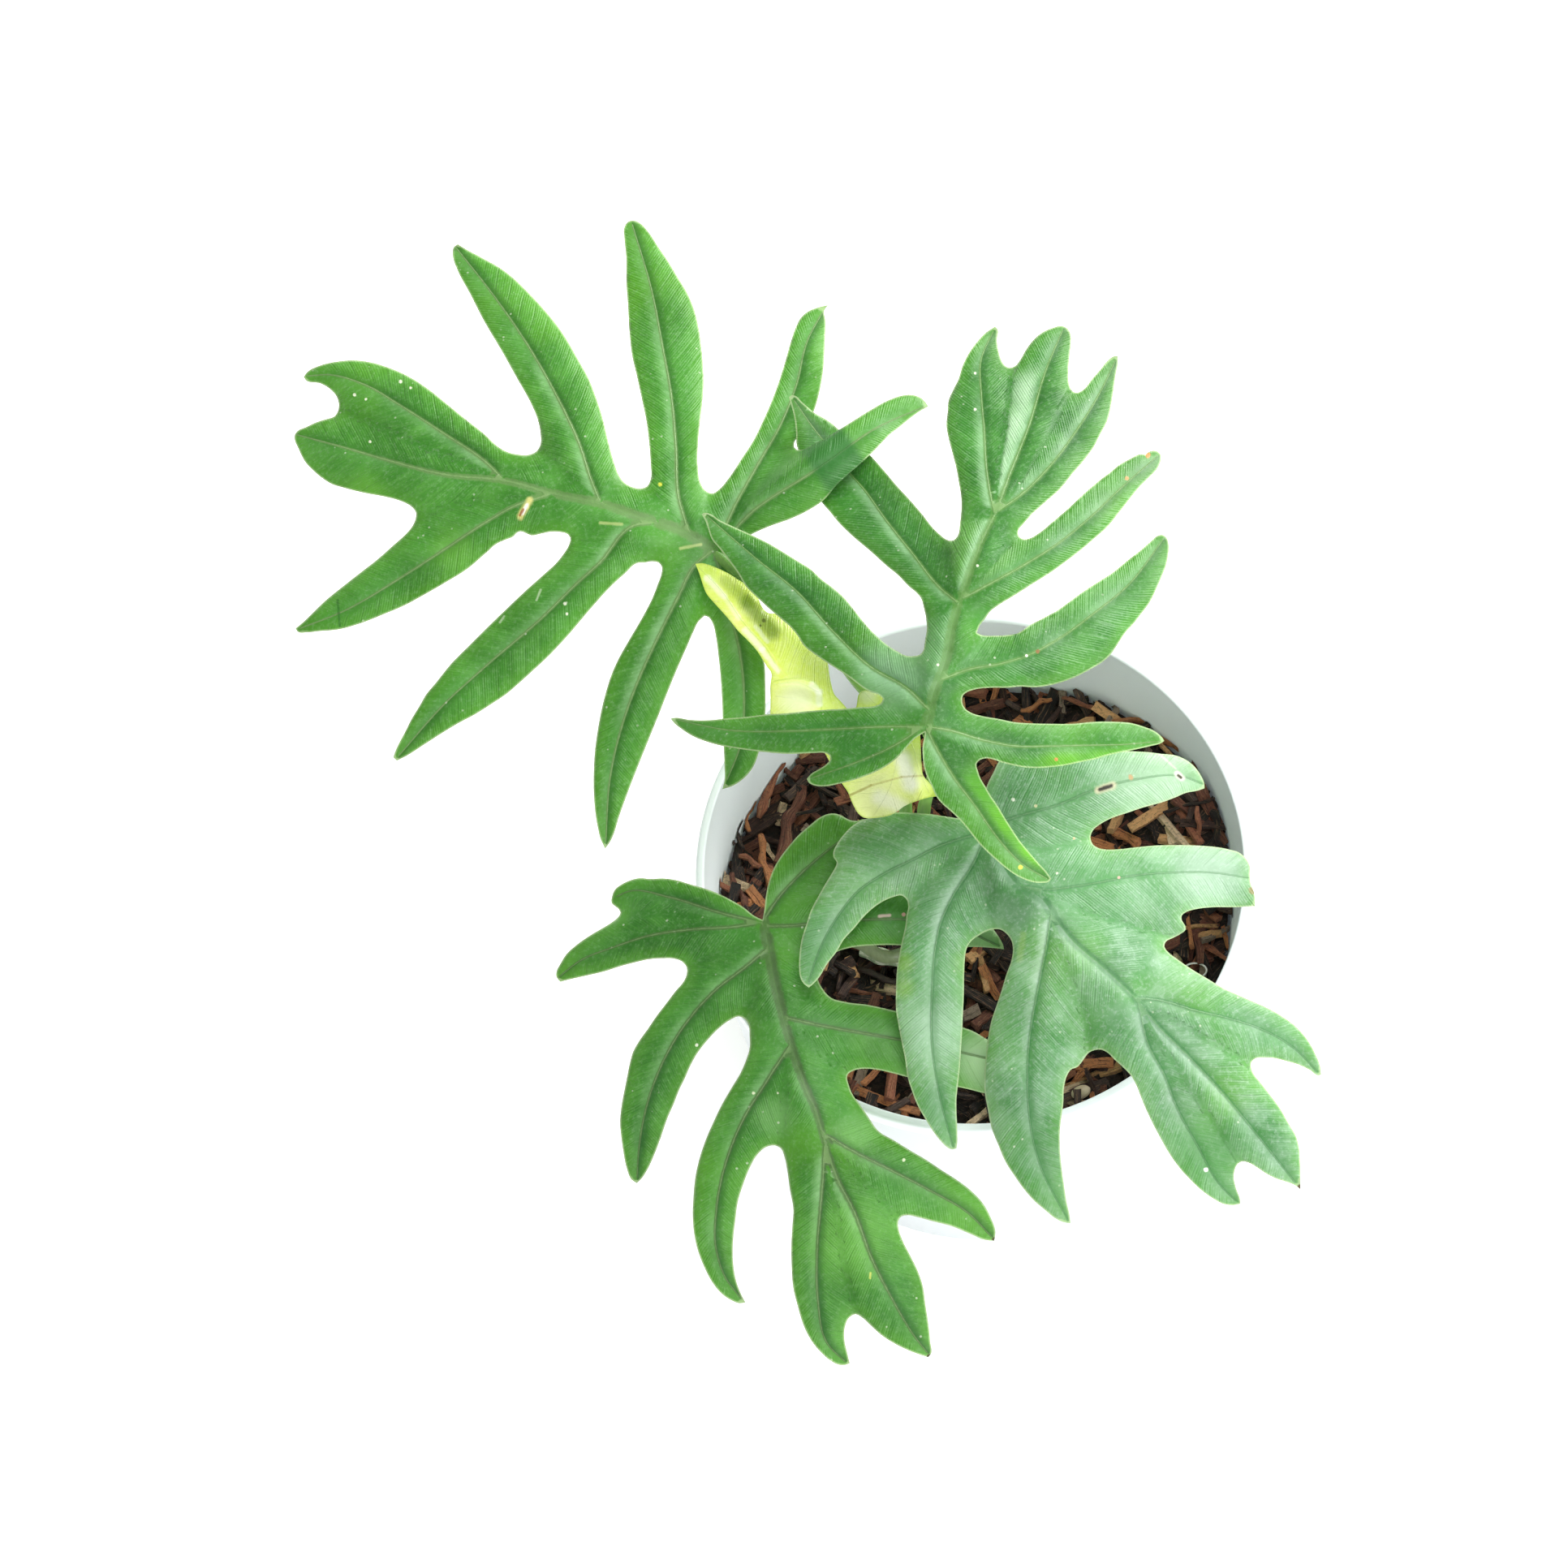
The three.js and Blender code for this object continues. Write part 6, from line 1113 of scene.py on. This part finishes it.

# The lower right leaf, bluish with bloom and made paler by painted sheen, over the right side of the pot
lower_right_outline = [
    0.8, 10.8, -1.2, 11.4, -3.5, 11.7, -7.5, 12.3, -10.1, 12.7, -13.8, 13, -17.5, 13.2, -20.2, 13,
    -23, 12.3, -25.7, 11.7, -27.6, 11.1, -29.6, 9.9, -31.7, 7.8, -33.5, 5.3, -34.4, 3.2, -34.3, 2.1,
    -33.5, 0.9, -33.8, -0.2, -34.7, -1.8, -36.3, -4.4, -38.1, -7.6, -39.7, -10.6, -41.1, -14.7,
    -42.2, -18.3, -42.7, -22, -42.8, -25.2, -42.5, -27.5, -41.6, -29.1, -40.4, -30, -39.5, -29.3,
    -38.1, -27.8, -35.8, -24.1, -33.5, -21.1, -31.7, -18.1, -29.4, -15.6, -26.7, -12.4, -23.9, -9.9,
    -21.6, -8.5, -19.3, -7.6, -17.5, -7.3, -16.3, -8.3, -15.9, -10.1, -16.3, -12, -16.6, -14.7,
    -17.5, -18.8, -18.2, -22.5, -18.7, -26.1, -18.9, -30.3, -18.9, -35.3, -18.2, -39.9, -17.5, -43.6,
    -16.7, -47.4, -16.1, -51.8, -15, -55.4, -13.4, -59.4, -11.6, -62.5, -9.8, -65.4, -8, -67.7,
    -6.5, -69.2, -5.1, -69.9, -4, -69.6, -3.8, -68.3, -3.8, -65.2, -4, -60.8, -4, -57.2, -3.7, -54.5,
    -3.2, -50, -2.9, -45.6, -2.6, -40.7, -2.4, -36.2, -2.2, -31.7, -2.1, -26, -1.9, -22.6, -1.5, -20.4,
    -0.4, -18.6, 1.6, -17.1, 3.7, -16, 5.5, -15.6, 6.8, -15.7, 8.3, -16.7, 9.6, -18.6, 9.9, -20.8,
    9.6, -23, 8.3, -26.7, 7.2, -30.4, 5.9, -34.3, 4.6, -38.2, 3.9, -41.6, 3.3, -46, 2.9, -50.9,
    2.9, -55.4, 3.6, -59.4, 4.7, -64.8, 6.3, -68.8, 8, -72.8, 10.3, -76.4, 12.5, -79.5, 15.2, -82.6,
    17.9, -84.9, 20.1, -86.7, 22.3, -87.8, 24.1, -88.1, 23.9, -86.2, 23.2, -83.1, 22.5, -78.6,
    21.9, -74.2, 21.5, -69.7, 21.5, -65.2, 21.9, -61.7, 22.3, -58.5, 22.5, -54.5, 23.2, -51.8,
    24.1, -50.3, 25.9, -49.5, 27.1, -48, 28.7, -46, 30.1, -45.4, 31.7, -45.3, 33, -45.9, 35, -47.8,
    37, -49.6, 39, -51.7, 40.2, -53.9, 41.7, -57.7, 43.6, -62, 46.4, -67.4, 48.9, -71.7, 51.3, -74.9,
    54.2, -78, 56.6, -80.2, 59.5, -82.2, 61.9, -83.4, 64.8, -83.6, 66, -83.3, 65.9, -82.1, 65, -79.6,
    64.4, -76.8, 64.6, -74.9, 65.3, -73.5, 66.4, -72.9, 68, -73.2, 70.1, -74.4, 72.5, -76, 75, -77.2,
    77.8, -78.1, 79.5, -78.8, 80.8, -79.8, 80.8, -77.6, 80.7, -73.5, 80.5, -69.8, 79.7, -66.6,
    77.8, -63.3, 75.8, -59.8, 73.3, -56.4, 70.9, -53.3, 69.3, -51.3, 68.7, -49.8, 68.7, -48.4,
    69.7, -47.5, 72.1, -47.3, 74.6, -47.5, 77.4, -48.2, 79.9, -48.9, 83.1, -50.4, 85.2, -51.7,
    85.9, -51.5, 85.6, -49, 84.6, -46.6, 83.1, -43.7, 81.5, -41.5, 79.5, -39.4, 76.2, -37, 72.9, -35.1,
    68.9, -33.3, 64.8, -31.5, 61.5, -30, 58, -27.9, 54, -25.5, 50.4, -23, 48.2, -21.3, 47.2, -19.9,
    47.5, -18.8, 49.5, -17.7, 51.5, -16.6, 52.5, -15.7, 52.4, -14.8, 51.5, -13.4, 51.5, -12.3,
    52.6, -11.4, 54.9, -10.7, 59.3, -10.2, 63.8, -10.2, 69.6, -10, 69.4, -6.7, 68.5, -4.3, 68.3, -2.3,
    68.3, 0, 67.4, 1.7, 65.6, 3.3, 63.3, 4, 60.2, 4.6, 55.3, 5, 49.5, 5.1, 45, 5, 40.6, 4.6, 36.1, 4.1,
    33.4, 4, 31.2, 4.3, 29.6, 5.3, 29, 7.1, 29.6, 8.7, 31.2, 10.1, 33.9, 11.6, 37.9, 13, 42.4, 14.5,
    46.8, 15.7, 50, 16.9, 52.6, 18, 55.3, 18.5, 57.1, 19.1, 57.1, 20, 56.2, 22.3, 54.6, 24.5, 52.6, 26.1,
    50, 27.2, 46.4, 27.6, 43.3, 28, 39.7, 28.2, 30, 28.6, 20, 28.4, 12, 27.8, 8, 27.2, 6.6, 25.9, 5.1, 23,
    3.9, 20.7, 2.9, 18, 2.2, 14.5,
]
lower_right_veins = [
    [2.8, 9.4, 40, 6, 3, 41.5, 10.2, -3.9, 42.5, 17.2, -8.2, 43, 20, -12.6, 43, 25.1, -18.9, 42.5,
     31.9, -24.8, 41, 39.4, -32, 38.5, 45.3, -39.1, 35.5, 53.6, -47.4, 31, 62.3, -56.8, 26,
     71.3, -67.8, 20.5, 80.5, -79.4, 14],
    [41, -35, 37.5, 43.3, -44.2, 33.5, 46.8, -50.7, 30.5, 50.5, -60, 26, 55.4, -69, 21.5, 60.7, -78.4, 17,
     65.4, -83.1, 14.5],
    [40.2, -32.6, 38.2, 45.7, -33.1, 37, 54.6, -35.6, 34, 63.1, -37.6, 30.5, 70.5, -40, 27,
     79.1, -44.9, 22, 85.4, -51.4, 17.5],
    [1.5, 8, 39.8, -8, 5, 38.8, -15, 1.5, 37.5, -22, -2, 36, -28, -6, 35, -33, -12, 34, -37.5, -20, 33,
     -40.5, -28.5, 32.5],
    [3, 7, 40, 0.3, 0.9, 40, -4.9, -7.4, 39.5, -7.9, -14, 38.5, -9.2, -20, 37.5, -10, -30, 35,
     -10, -45, 31, -8.5, -55, 28, -5, -69, 23.5],
    [19.3, -12, 43, 18, -20.5, 42, 16.8, -26.4, 40.5, 15.8, -31.6, 39, 14, -42.2, 35.5, 13.5, -54.1, 31,
     14.4, -65.2, 26.5, 16.8, -74.3, 22.5, 23.5, -87.5, 16.5],
    [12, -5, 42.7, 18, -5.8, 42.5, 22.7, -5.4, 42, 29.9, -4.3, 41, 40.6, -2.3, 38.5, 50.4, -1.6, 35,
     58, -1.6, 32, 68.3, -3, 27.5],
    [3.5, 9.8, 40, 12, 12.5, 40.5, 20, 14.7, 40.5, 29.9, 18.7, 39, 40.6, 21.4, 36.5, 51.3, 22.1, 33,
     57, 20, 31],
]
make_leaf("leaf_lower_right", [{"outline": lower_right_outline, "veins": lower_right_veins}],
          344, [-5, -9, 0, 0.5, 2, 22, 2.6, 9, 39.2],
          {
              **BASE_LOOKS, "deep": "#3b7d3a", "mid": "#6aa368", "light": "#aacbae", "warm": "#6fae48",
              "warmth": 0.55,
              "through": "#a3cf9c",
              "bloom_and_sheen": "#dcebe3", "vein": "#9fc090", "vein_strength": 0.2, "rib": "#447a4c",
              "rib_strength": 0.45, "dark": "#2f6a34", "mottle": 0.28, "sheen": 0.36, "shade": 0.35,
              "gloss": 0.38,
              # The three whitish patches, at 45, 22, at -10, -42 and at 58, -2, are painted sheen
              "patches": [(-2, -24, 5, 0, "#8fbf6a", 0.3), (-17, -24, 4, 0, "#a9cc4a", 0.25),
                          (-17, -30, 4, 0, "#a9cc4a", 0.25), (45, 22, 18, 0, "#c3dcc2", 0.5),
                          (16, -75, 24, 0, "#35782f", 0.5),
                          (-12, -62, 14, 0, "#4a8a48", 0.4), (58, -72, 18, 0, "#4f9540", 0.5),
                          (30, -8, 14, 0, "#5f9e60", 0.35),
                          (-38, -18, 12, 0, "#4f8d52", 0.5), (-10, -42, 14, 0, "#b4d6b6", 0.4),
                          (58, -2, 14, 0, "#cfe4d2", 0.45)],
              "lines": [(12.5, -17, 11.5, -23, 0.8, "#b9d46a", 0.2),
                        (46, 27.5, 50, 24, 0.25, "#e9f0d6", 0.4),
                        (31, 18.7, 34.5, 19.8, 0.9, "#d8d0ae", 0.9),
                        (31.4, 18.8, 34.1, 19.7, 0.5, "#2c241c", 1.0),
                        (50.4, 22.6, 51.5, 21.6, 0.7, "#eef1e0", 0.85),
                        (50.6, 22.3, 51.3, 21.7, 0.35, "#4a4034", 1.0)],
              "marks": [(39, 21.9, 0.8, "#c3a67a"), (10, 16.3, 0.6, "#f0f2e4"),
                        (15.5, 14.8, 0.5, "#d9d6a8"),
                        (25, 6.8, 0.4, "#cdbb8c"), (36, -2.9, 0.45, "#d8b7a4"),
                        (20.8, -1.8, 0.4, "#e2e8d0"),
                        (57.5, -74.9, 0.7, "#f6f8ee"), (80.6, -79.2, 0.8, "#5b4a34"),
                        (69, -6, 1.2, "#8f8a5a")],
          })

# The lower left leaf, which lies lowest, over the left front of the pot
lower_left_outline = [
    -51.8, -13.3, -53.7, -12.4, -56.7, -10.1, -59.8, -8.3, -62.8, -6.8, -66.3, -5.5, -69.7, -4.5,
    -73.6, -3.4, -76.2, -3.1, -79.7, -3.2, -82.1, -3, -84.5, -3.6, -86.6, -4.6, -88.2, -5.9, -88.9, -7.6,
    -89, -9.2, -88.2, -9.9, -87.2, -10.7, -86.8, -11.5, -87.3, -12.5, -88.8, -13.8, -91, -15.2,
    -93.6, -16.7, -96.2, -18.4, -98.4, -20.1, -100.1, -21.7, -101.6, -24.1, -102.6, -26.1, -102.6, -27.4,
    -101.6, -28.6, -99.7, -28.1, -95.3, -27.1, -91, -26.1, -86.6, -24.7, -83.2, -23.8, -80.1, -23.1,
    -76.2, -22.8, -73.6, -22.9, -71.5, -23.7, -70.5, -25, -70.5, -26.7, -71.2, -28.4, -73.2, -30.8,
    -75.4, -33.7, -78, -37.1, -80.1, -40.2, -82.1, -43, -83.6, -45.6, -84.5, -48.6, -85.1, -51.6,
    -85.8, -55.1, -86.6, -59.5, -86.9, -63, -86.6, -66.9, -86.1, -70.4, -85.2, -74.7, -84.1, -77.3,
    -82.8, -78.2, -81.8, -77.3, -80.2, -74.9, -78.7, -71.7, -77, -67.3, -75.2, -62.1, -73.5, -58.2,
    -72.3, -55.1, -71, -52.5, -69.7, -49.5, -68, -46.4, -65.4, -43, -62.4, -39.9, -59.8, -38,
    -57.6, -37.1, -56.1, -37.8, -55.2, -39.3, -55, -41.7, -55, -45.1, -55.8, -47.7, -57.2, -51,
    -59.3, -54.5, -61.9, -59, -64, -63.4, -65.7, -67.3, -67.2, -71.7, -68.3, -76.4, -68.8, -81.2,
    -69, -86, -68.7, -90.3, -67.9, -94.2, -66.1, -99, -64, -102.9, -61.8, -105.5, -59.6, -107,
    -57.5, -107.8, -56, -107.6, -57, -105.7, -58.1, -102.9, -58.8, -99.9, -59.1, -96.8, -59, -91.6,
    -58.5, -87.3, -57.9, -82.9, -56.6, -78.6, -54.9, -74.3, -53.1, -71.2, -50.9, -69.3, -48.8, -68.9,
    -47.3, -69.6, -46.4, -71.7, -45.7, -75.1, -45.1, -79.5, -44.2, -84.8, -44.5, -89.3, -44.7, -93.9,
    -44.6, -99, -44.3, -103.5, -43.1, -108.6, -41.5, -113.7, -39.7, -117.1, -37.4, -119.9, -35.1, -121.9,
    -33.2, -122.9, -31.4, -123, -30.3, -122.6, -30.9, -120.1, -31.6, -116.9, -31.5, -113.7, -30.5, -111.4,
    -28.9, -110.5, -27.3, -111.3, -25.2, -113.2, -22.7, -115.5, -19.5, -117.6, -16.3, -119.2,
    -13.5, -120.3, -11, -121.1, -10.4, -120.5, -10.5, -116.9, -11, -112.3, -11.7, -107.7, -12.3, -103.5,
    -13.5, -99.9, -15.3, -96.2, -17.2, -92.5, -18.3, -89.3, -18.4, -87.7, -17.6, -86.4, -16, -86.1,
    -13.5, -86.6, -9.8, -87.6, -5.2, -88.8, -0.6, -90.7, 3.5, -92.3, 5.3, -92.4, 5.6, -90.2, 4.4, -86.6,
    2.6, -83.3, -0.6, -79.9, -3.9, -77.4, -7.5, -75.1, -11.7, -72.3, -15.3, -70.2, -19, -67.9, -23.6, -65,
    -25.4, -62.4, -27.7, -59, -29.8, -56, -30.7, -53.5, -31, -52.3, -30.8, -51.4, -29.7, -50.6,
    -28.1, -50.1, -25.9, -50, -23.2, -50.3, -20.1, -51, -16.3, -52, -10, -53.4, -3.6, -54.5, -0.4, -55.2,
    2.9, -56, 8, -55.4, 13, -53.2, 16.2, -50.3, 13.5, -47.2, 9, -45, 3.8, -42.9, 0, -40.7, -2.5, -39.8,
    -8, -37.8, -14, -36.4, -18.8, -35.8, -21.9, -35.1, -26.3, -34.2, -29.9, -33.8, -32.1, -33.4,
    -34.8, -32.6, -36.8, -30.6, -38.2, -27.7, -38, -24.8, -36.4, -22.6, -33.3, -21.1, -30.3, -20.2,
    -27.6, -19.8, -23.9, -19.6, -20.7, -19.5, -17.7, -19.6, -10, -19.8, -1.4, -20, 1.3, -20, 4.5, -20.2,
    6.4, -20.4, 7.7, -20.6, 7.5, -19.5, 6.8, -18.1, 5.9, -16.7, 5, -15.5, 1, -12, -5, -8.6, -12, -6,
    -20, -4.4, -26, -3.8, -30, -3.6, -29, -0.5, -26.5, 3, -25, 7, -25, 10.2, -26.7, 11.5, -28.5, 11.1,
    -30.3, 11.3, -32.2, 12.3, -34, 12.9, -35.6, 12.8, -37.7, 11.9, -40, 10.1, -43.2, 7.3, -45.5, 4.6,
    -47.3, 2.3, -48.7, 0, -50, -3.2, -51, -7.8, -51.3, -10.6,
]
lower_left_veins = [
    [-51.4, -14, 25, -50.2, -20.4, 26, -49.3, -26.1, 26.8, -46.7, -36.9, 27.3, -43.7, -47.7, 27,
     -41.5, -53.8, 26.3, -38.7, -60.4, 25, -36.6, -67.5, 23, -33.7, -76.4, 20, -29.1, -85.6, 16.5,
     -25, -96.6, 12, -19.9, -106.7, 7.5, -14.4, -115.9, 3, -10.7, -120.6, 0.5],
    [-36.6, -69.5, 22.4, -36.9, -76.6, 20, -37.6, -84.7, 17, -38.4, -95.7, 12.5, -38.2, -106.7, 8,
     -35.8, -117.8, 3.5, -31, -122.6, 1],
    [-36.5, -66.2, 23.3, -29.1, -70.5, 21.5, -19.9, -75.1, 18.5, -10.7, -79.9, 15, -1.6, -85.2, 11,
     5, -91.8, 6.5],
    [-52, -14, 24.8, -58.9, -15, 24, -69.7, -15.7, 22, -79.7, -17.2, 19, -88.4, -20, 15.5,
     -97, -23.5, 11.5, -102, -27.4, 9],
    [-53, -13.8, 24.6, -62.4, -11.5, 22.8, -74.5, -7.8, 19.5, -84.9, -6.3, 15.5, -88.6, -8, 14],
    [-50.8, -20.5, 26, -55.9, -24.8, 25.3, -63.2, -30.4, 23.5, -71.5, -39.9, 19.5, -77.1, -49.9, 15,
     -80.1, -58.2, 11.5, -82.3, -70, 6.5, -82.8, -77.8, 3.5],
    [-45.6, -45, 27, -50.7, -52.9, 24.5, -56.2, -61.7, 21, -60.1, -70.8, 17, -63.2, -84.7, 11,
     -63.3, -94.2, 7, -60.9, -101.6, 4, -56.4, -107.4, 1.5],
    [-45.3, -37.6, 27.2, -36.7, -39.5, 26.8, -25.3, -41.5, 25.8, -15, -43.4, 24.3, -5, -45.5, 22.5,
     5, -47.8, 20.5, 15.5, -50.2, 18.5],
    [-50.5, -14.8, 25, -45.9, -14.8, 25.3, -33, -13.5, 26.5, -25.7, -13.2, 26.8, -16.6, -13.2, 26.5,
     -6, -14.5, 25.5, 7.3, -20.2, 23.5],
    [-51.2, -12.8, 25, -48, -8, 25.5, -44, -3.5, 26, -38, 2, 26.5, -32, 6.5, 26.5, -25.5, 9.5, 26],
]
make_leaf("leaf_lower_left", [{"outline": lower_left_outline, "veins": lower_left_veins}],
          258, [-20.5, -22.5, -19, -28, -19, -7, -40, -15.8, 11, -51, -14, 24.2],
          {
              **BASE_LOOKS, "stalk": "#8b9673", "stalk_dark": "#626e4e", "deep": "#29661a",
              "mid": "#41842e", "light": "#62a446", "warmth": 0.6, "dark": "#234f24", "sheen": 0.5,
              "rib": "#4f6b3c", "rib_strength": 0.75, "vein_strength": 0.32,
              # The two palest patches, on the right part under the lower right leaf, are painted light that
              # lifts that part out of the leaf's shadow
              "patches": [(-12, -44, 14, 0, "#79b65f", 0.5), (-30, -92, 16, 0, "#78b84e", 0.4),
                          (0, -14, 13, 0, "#b0dc9b", 0.8),
                          (5, -48, 12, 0, "#bfe3ad", 0.85), (-49, -62, 7, 0, "#7fb56c", 0.5),
                          (-28, -65, 7, 0, "#7fb56c", 0.4)],
              "lines": [(-23, -12.4, -20.4, -12.2, 0.35, "#e3c6bb", 0.9),
                        (-25.2, -100.4, -25.3, -101.6, 0.25, "#c9cf62", 0.8)],
              "marks": [(-17, -12, 0.6, "#d9a69a"), (-68, -44.2, 0.5, "#e2e8d0"),
                        (-54, -56, 0.5, "#cfdcb4"),
                        (-48, -56, 0.4, "#cfdcb4"), (-17, -72.5, 0.5, "#cfdcb4"),
                        (-10.8, -120.8, 0.6, "#4b4a2a"),
                        (5.2, -92, 0.6, "#4b4a2a")],
          })

# The young leaf: folded, one lobe hanging down like a ribbon, and a paler flap turned up in front
young_outline = [
    -13.2, 33.5, -12.8, 29, -12.6, 25, -12.2, 22.3, -10.3, 20, -8.8, 17.1, -10.1, 17, -12.4, 16.4,
    -14.2, 15.8, -17, 14.6, -18.9, 13.2, -20.5, 12.4, -22.3, 12, -23.8, 11.8, -25.4, 11.7, -26.9, 11.9,
    -28.2, 12.9, -29.2, 14.5, -30, 16.2, -30.7, 18, -32.1, 20.1, -34, 23, -36, 27, -39, 31, -44, 34,
    -49.7, 36, -49.8, 40, -49.9, 44.3, -49.8, 47.9, -50.6, 48.9, -51.5, 50.4, -53.1, 52.9, -55.1, 55.2,
    -57.8, 57.9, -59.9, 60.5, -61.8, 62.7, -63.9, 65, -65.6, 67.1, -66.6, 69.6, -67.4, 72.1, -68.3, 74.4,
    -66.7, 74.6, -65.1, 74.2, -62.8, 73.3, -60.1, 72, -57.8, 70.5, -56.3, 69.6, -54.4, 67.8, -52.9, 66,
    -52.1, 64.2, -51.3, 63, -50.3, 62.3, -49, 62.2, -46, 62, -43, 59.5, -40, 56, -37.4, 52.8, -35.7, 49.9,
    -35.4, 47.6, -34.9, 44.9, -34.1, 42.3, -32.6, 40.6, -31.2, 39, -30.2, 37.4, -29.2, 37.6, -28.6, 39.6,
    -27.9, 42.6, -27.3, 43.1, -25.6, 43.2, -23.6, 42.8, -21, 42, -17.5, 39.5, -14.4, 36.5,
]
young_veins = [
    [-19, 35, 61, -30, 37, 61.5, -38, 40.5, 62, -46, 46.5, 62, -51, 54, 62, -56, 59.5, 62, -62, 68, 62.5,
     -68.2, 74.3, 63],
    [-19, 34.5, 61, -18.5, 28, 59.5, -19.5, 22, 53, -21.5, 17, 43.5, -24.5, 12.3, 33.5],
    [-18.5, 34.5, 61, -15, 30, 60.5, -13.3, 24, 59, -10.8, 18, 54.5],
    [-19, 35.2, 61, -23, 39, 61.5, -26.5, 42.5, 62],
]
flap_outline = [-49.9, 37.2, -49.8, 41, -49.7, 45.5, -47.2, 46, -44.2, 46.3, -41.2, 46, -39.2, 45.3,
                -37.9, 43.9, -37, 40.3, -37.4, 37.6, -43, 36.4]
flap_veins = [[-38, 39, 62.6, -43, 41, 63, -49.5, 42, 63.4], [-38, 43, 64.4, -43, 45.2, 65, -49, 44.6, 65]]
make_leaf("leaf_young", [{"outline": young_outline, "veins": young_veins, "fold": 0.8, "ripple": 0.0},
           {"outline": flap_outline, "veins": flap_veins, "fold": 0.0, "ripple": 0.0}],
          189, [-20.3, -3, 4, -20.8, 10, 26, -19.2, 22, 42, -18.8, 30, 54.5, -19, 34.8, 60],
          {
              **BASE_LOOKS, "deep": "#d6ea5c", "mid": "#e8f680", "light": "#f5fbb4", "warm": "#dcee58",
              "bloom_and_sheen": "#fafdd8",
              "vein": "#f6f9e2", "vein_strength": 0.1, "rib_strength": 0.0, "sheen": 0.0, "shade": 0.0,
              "margin": "#b9d250", "through": "#f6fda0", "mottle": 0.2, "flecks": 0.1, "gloss": 0.26,
              "thin": 0.15,
              "stalk": "#a9c86a", "stalk_dark": "#86ad4e",
              # The patch at -26, 42.5 is painted light on a lobe that lies in the upper right leaf's shade
              "patches": [(-66, 72, 6, 0, "#a9cc44", 0.6),
                          (-26, 42.5, 4, 0, "#f4f8d0", 0.8), (-43, 41, 7, 0, "#f2f8c8", 0.8),
                          (-24, 17, 11, 0, "#f2f6bc", 0.8),
                          (-14, 24, 9, 0, "#eef3b0", 0.7)],
              # The whitish lines are painted highlights: along the curled left margin, on the hanging lobe
              # and on the flap's right edge
              "lines": [(-61, 70.2, -55.5, 64.8, 1.4, "#86a82c", 0.6),
                        (-55.5, 64.8, -49.4, 57.6, 1.9, "#668820", 0.75),
                        (-65.4, 70.8, -61.4, 66.6, 0.8, "#f7fbe0", 0.55),
                        (-61.4, 66.6, -57.6, 61, 0.6, "#f7fbe0", 0.35),
                        (-56, 58, -52, 53.4, 0.8, "#fbfdec", 0.6),
                        (-52, 53.4, -48, 48, 0.6, "#fbfdec", 0.6),
                        (-53.6, 59, -50.6, 55.2, 0.5, "#fbfdec", 0.4),
                        (-17.2, 26.4, -15.4, 20, 1.8, "#fcfdf2", 0.8),
                        (-23, 16.8, -17.5, 14.6, 1.8, "#fafbe8", 0.7),
                        (-39.6, 44.6, -37.9, 42.8, 0.8, "#fafcea", 0.6),
                        (-37.9, 42.8, -37.8, 39.9, 0.8, "#fafcea", 0.6),
                        (-30.2, 17.4, -25.1, 19.8, 0.3, "#a79a4e", 0.7),
                        (-25.1, 19.8, -17.5, 21.9, 0.25, "#b3a75a", 0.5),
                        (-17.5, 21.9, -12.2, 22.2, 0.25, "#b3a75a", 0.5)],
              "marks": [(-51.5, 60.4, 0.6, "#5e6b2c"), (-52.3, 59.2, 0.35, "#5e6b2c")],
          })


# Stage
# A plain, pale table that glows a little, four soft lamps and an even white room.
# The camera stands where the photograph's is reckoned to have stood.
TABLE_REACH = 4.0
TABLE_HEIGHT = -0.0002
AIM = (-0.03, 0.0, 0.15)

floor_paint, tree, shader, where = material("pale_floor")
shader.inputs["Base Color"].default_value = linear("#f7f7f5")
shader.inputs["Roughness"].default_value = 0.9
shader.inputs["Emission Color"].default_value = (1.0, 1.0, 1.0, 1.0)
shader.inputs["Emission Strength"].default_value = 0.35
ends = [(-1, -1), (1, -1), (1, 1), (-1, 1)]
floor = build_mesh("floor", [(x * TABLE_REACH, y * TABLE_REACH, TABLE_HEIGHT) for x, y in ends],
                   [(0, 1, 2, 3)], [floor_paint])

world = bpy.data.worlds.new("soft white room")
world.use_nodes = True
world.node_tree.nodes["Background"].inputs["Color"].default_value = (1.0, 1.0, 1.0, 1.0)
world.node_tree.nodes["Background"].inputs["Strength"].default_value = 0.55
bpy.context.scene.world = world


def soft_light(name, place, size, power):
    """A square area light that faces the plant."""
    lamp = bpy.data.lights.new(name, "AREA")
    lamp.size = size
    lamp.energy = power
    made = bpy.data.objects.new(name, lamp)
    made.location = place
    aim = Vector(AIM) - Vector(place)
    made.rotation_euler = aim.to_track_quat("-Z", "Y").to_euler()
    bpy.context.scene.collection.objects.link(made)
    return made


soft_light("overhead softbox", (0.4, 0.1, 1.9), 1.0, 20.0)
soft_light("right softbox", (1.6, -0.8, 0.8), 0.9, 18.0)
soft_light("back softbox", (1.3, 1.3, 0.8), 0.8, 46.0)
soft_light("front softbox", (0.3, -2.1, 1.1), 1.4, 22.0)

lens = bpy.data.cameras.new("camera")
lens.sensor_width = 36.0
lens.lens = 93.17
lens.clip_start = 0.01
lens.clip_end = 20.0
camera = bpy.data.objects.new("camera", lens)
turned = Matrix((tuple(RIGHT), tuple(UP), tuple(TOWARDS))).transposed()
camera.matrix_world = Matrix.Translation(Vector((EYE + [0, 0, POT_HEIGHT]) * MM)) @ turned.to_4x4()
bpy.context.scene.collection.objects.link(camera)
bpy.context.scene.camera = camera
bpy.context.scene.view_settings.view_transform = "Standard"
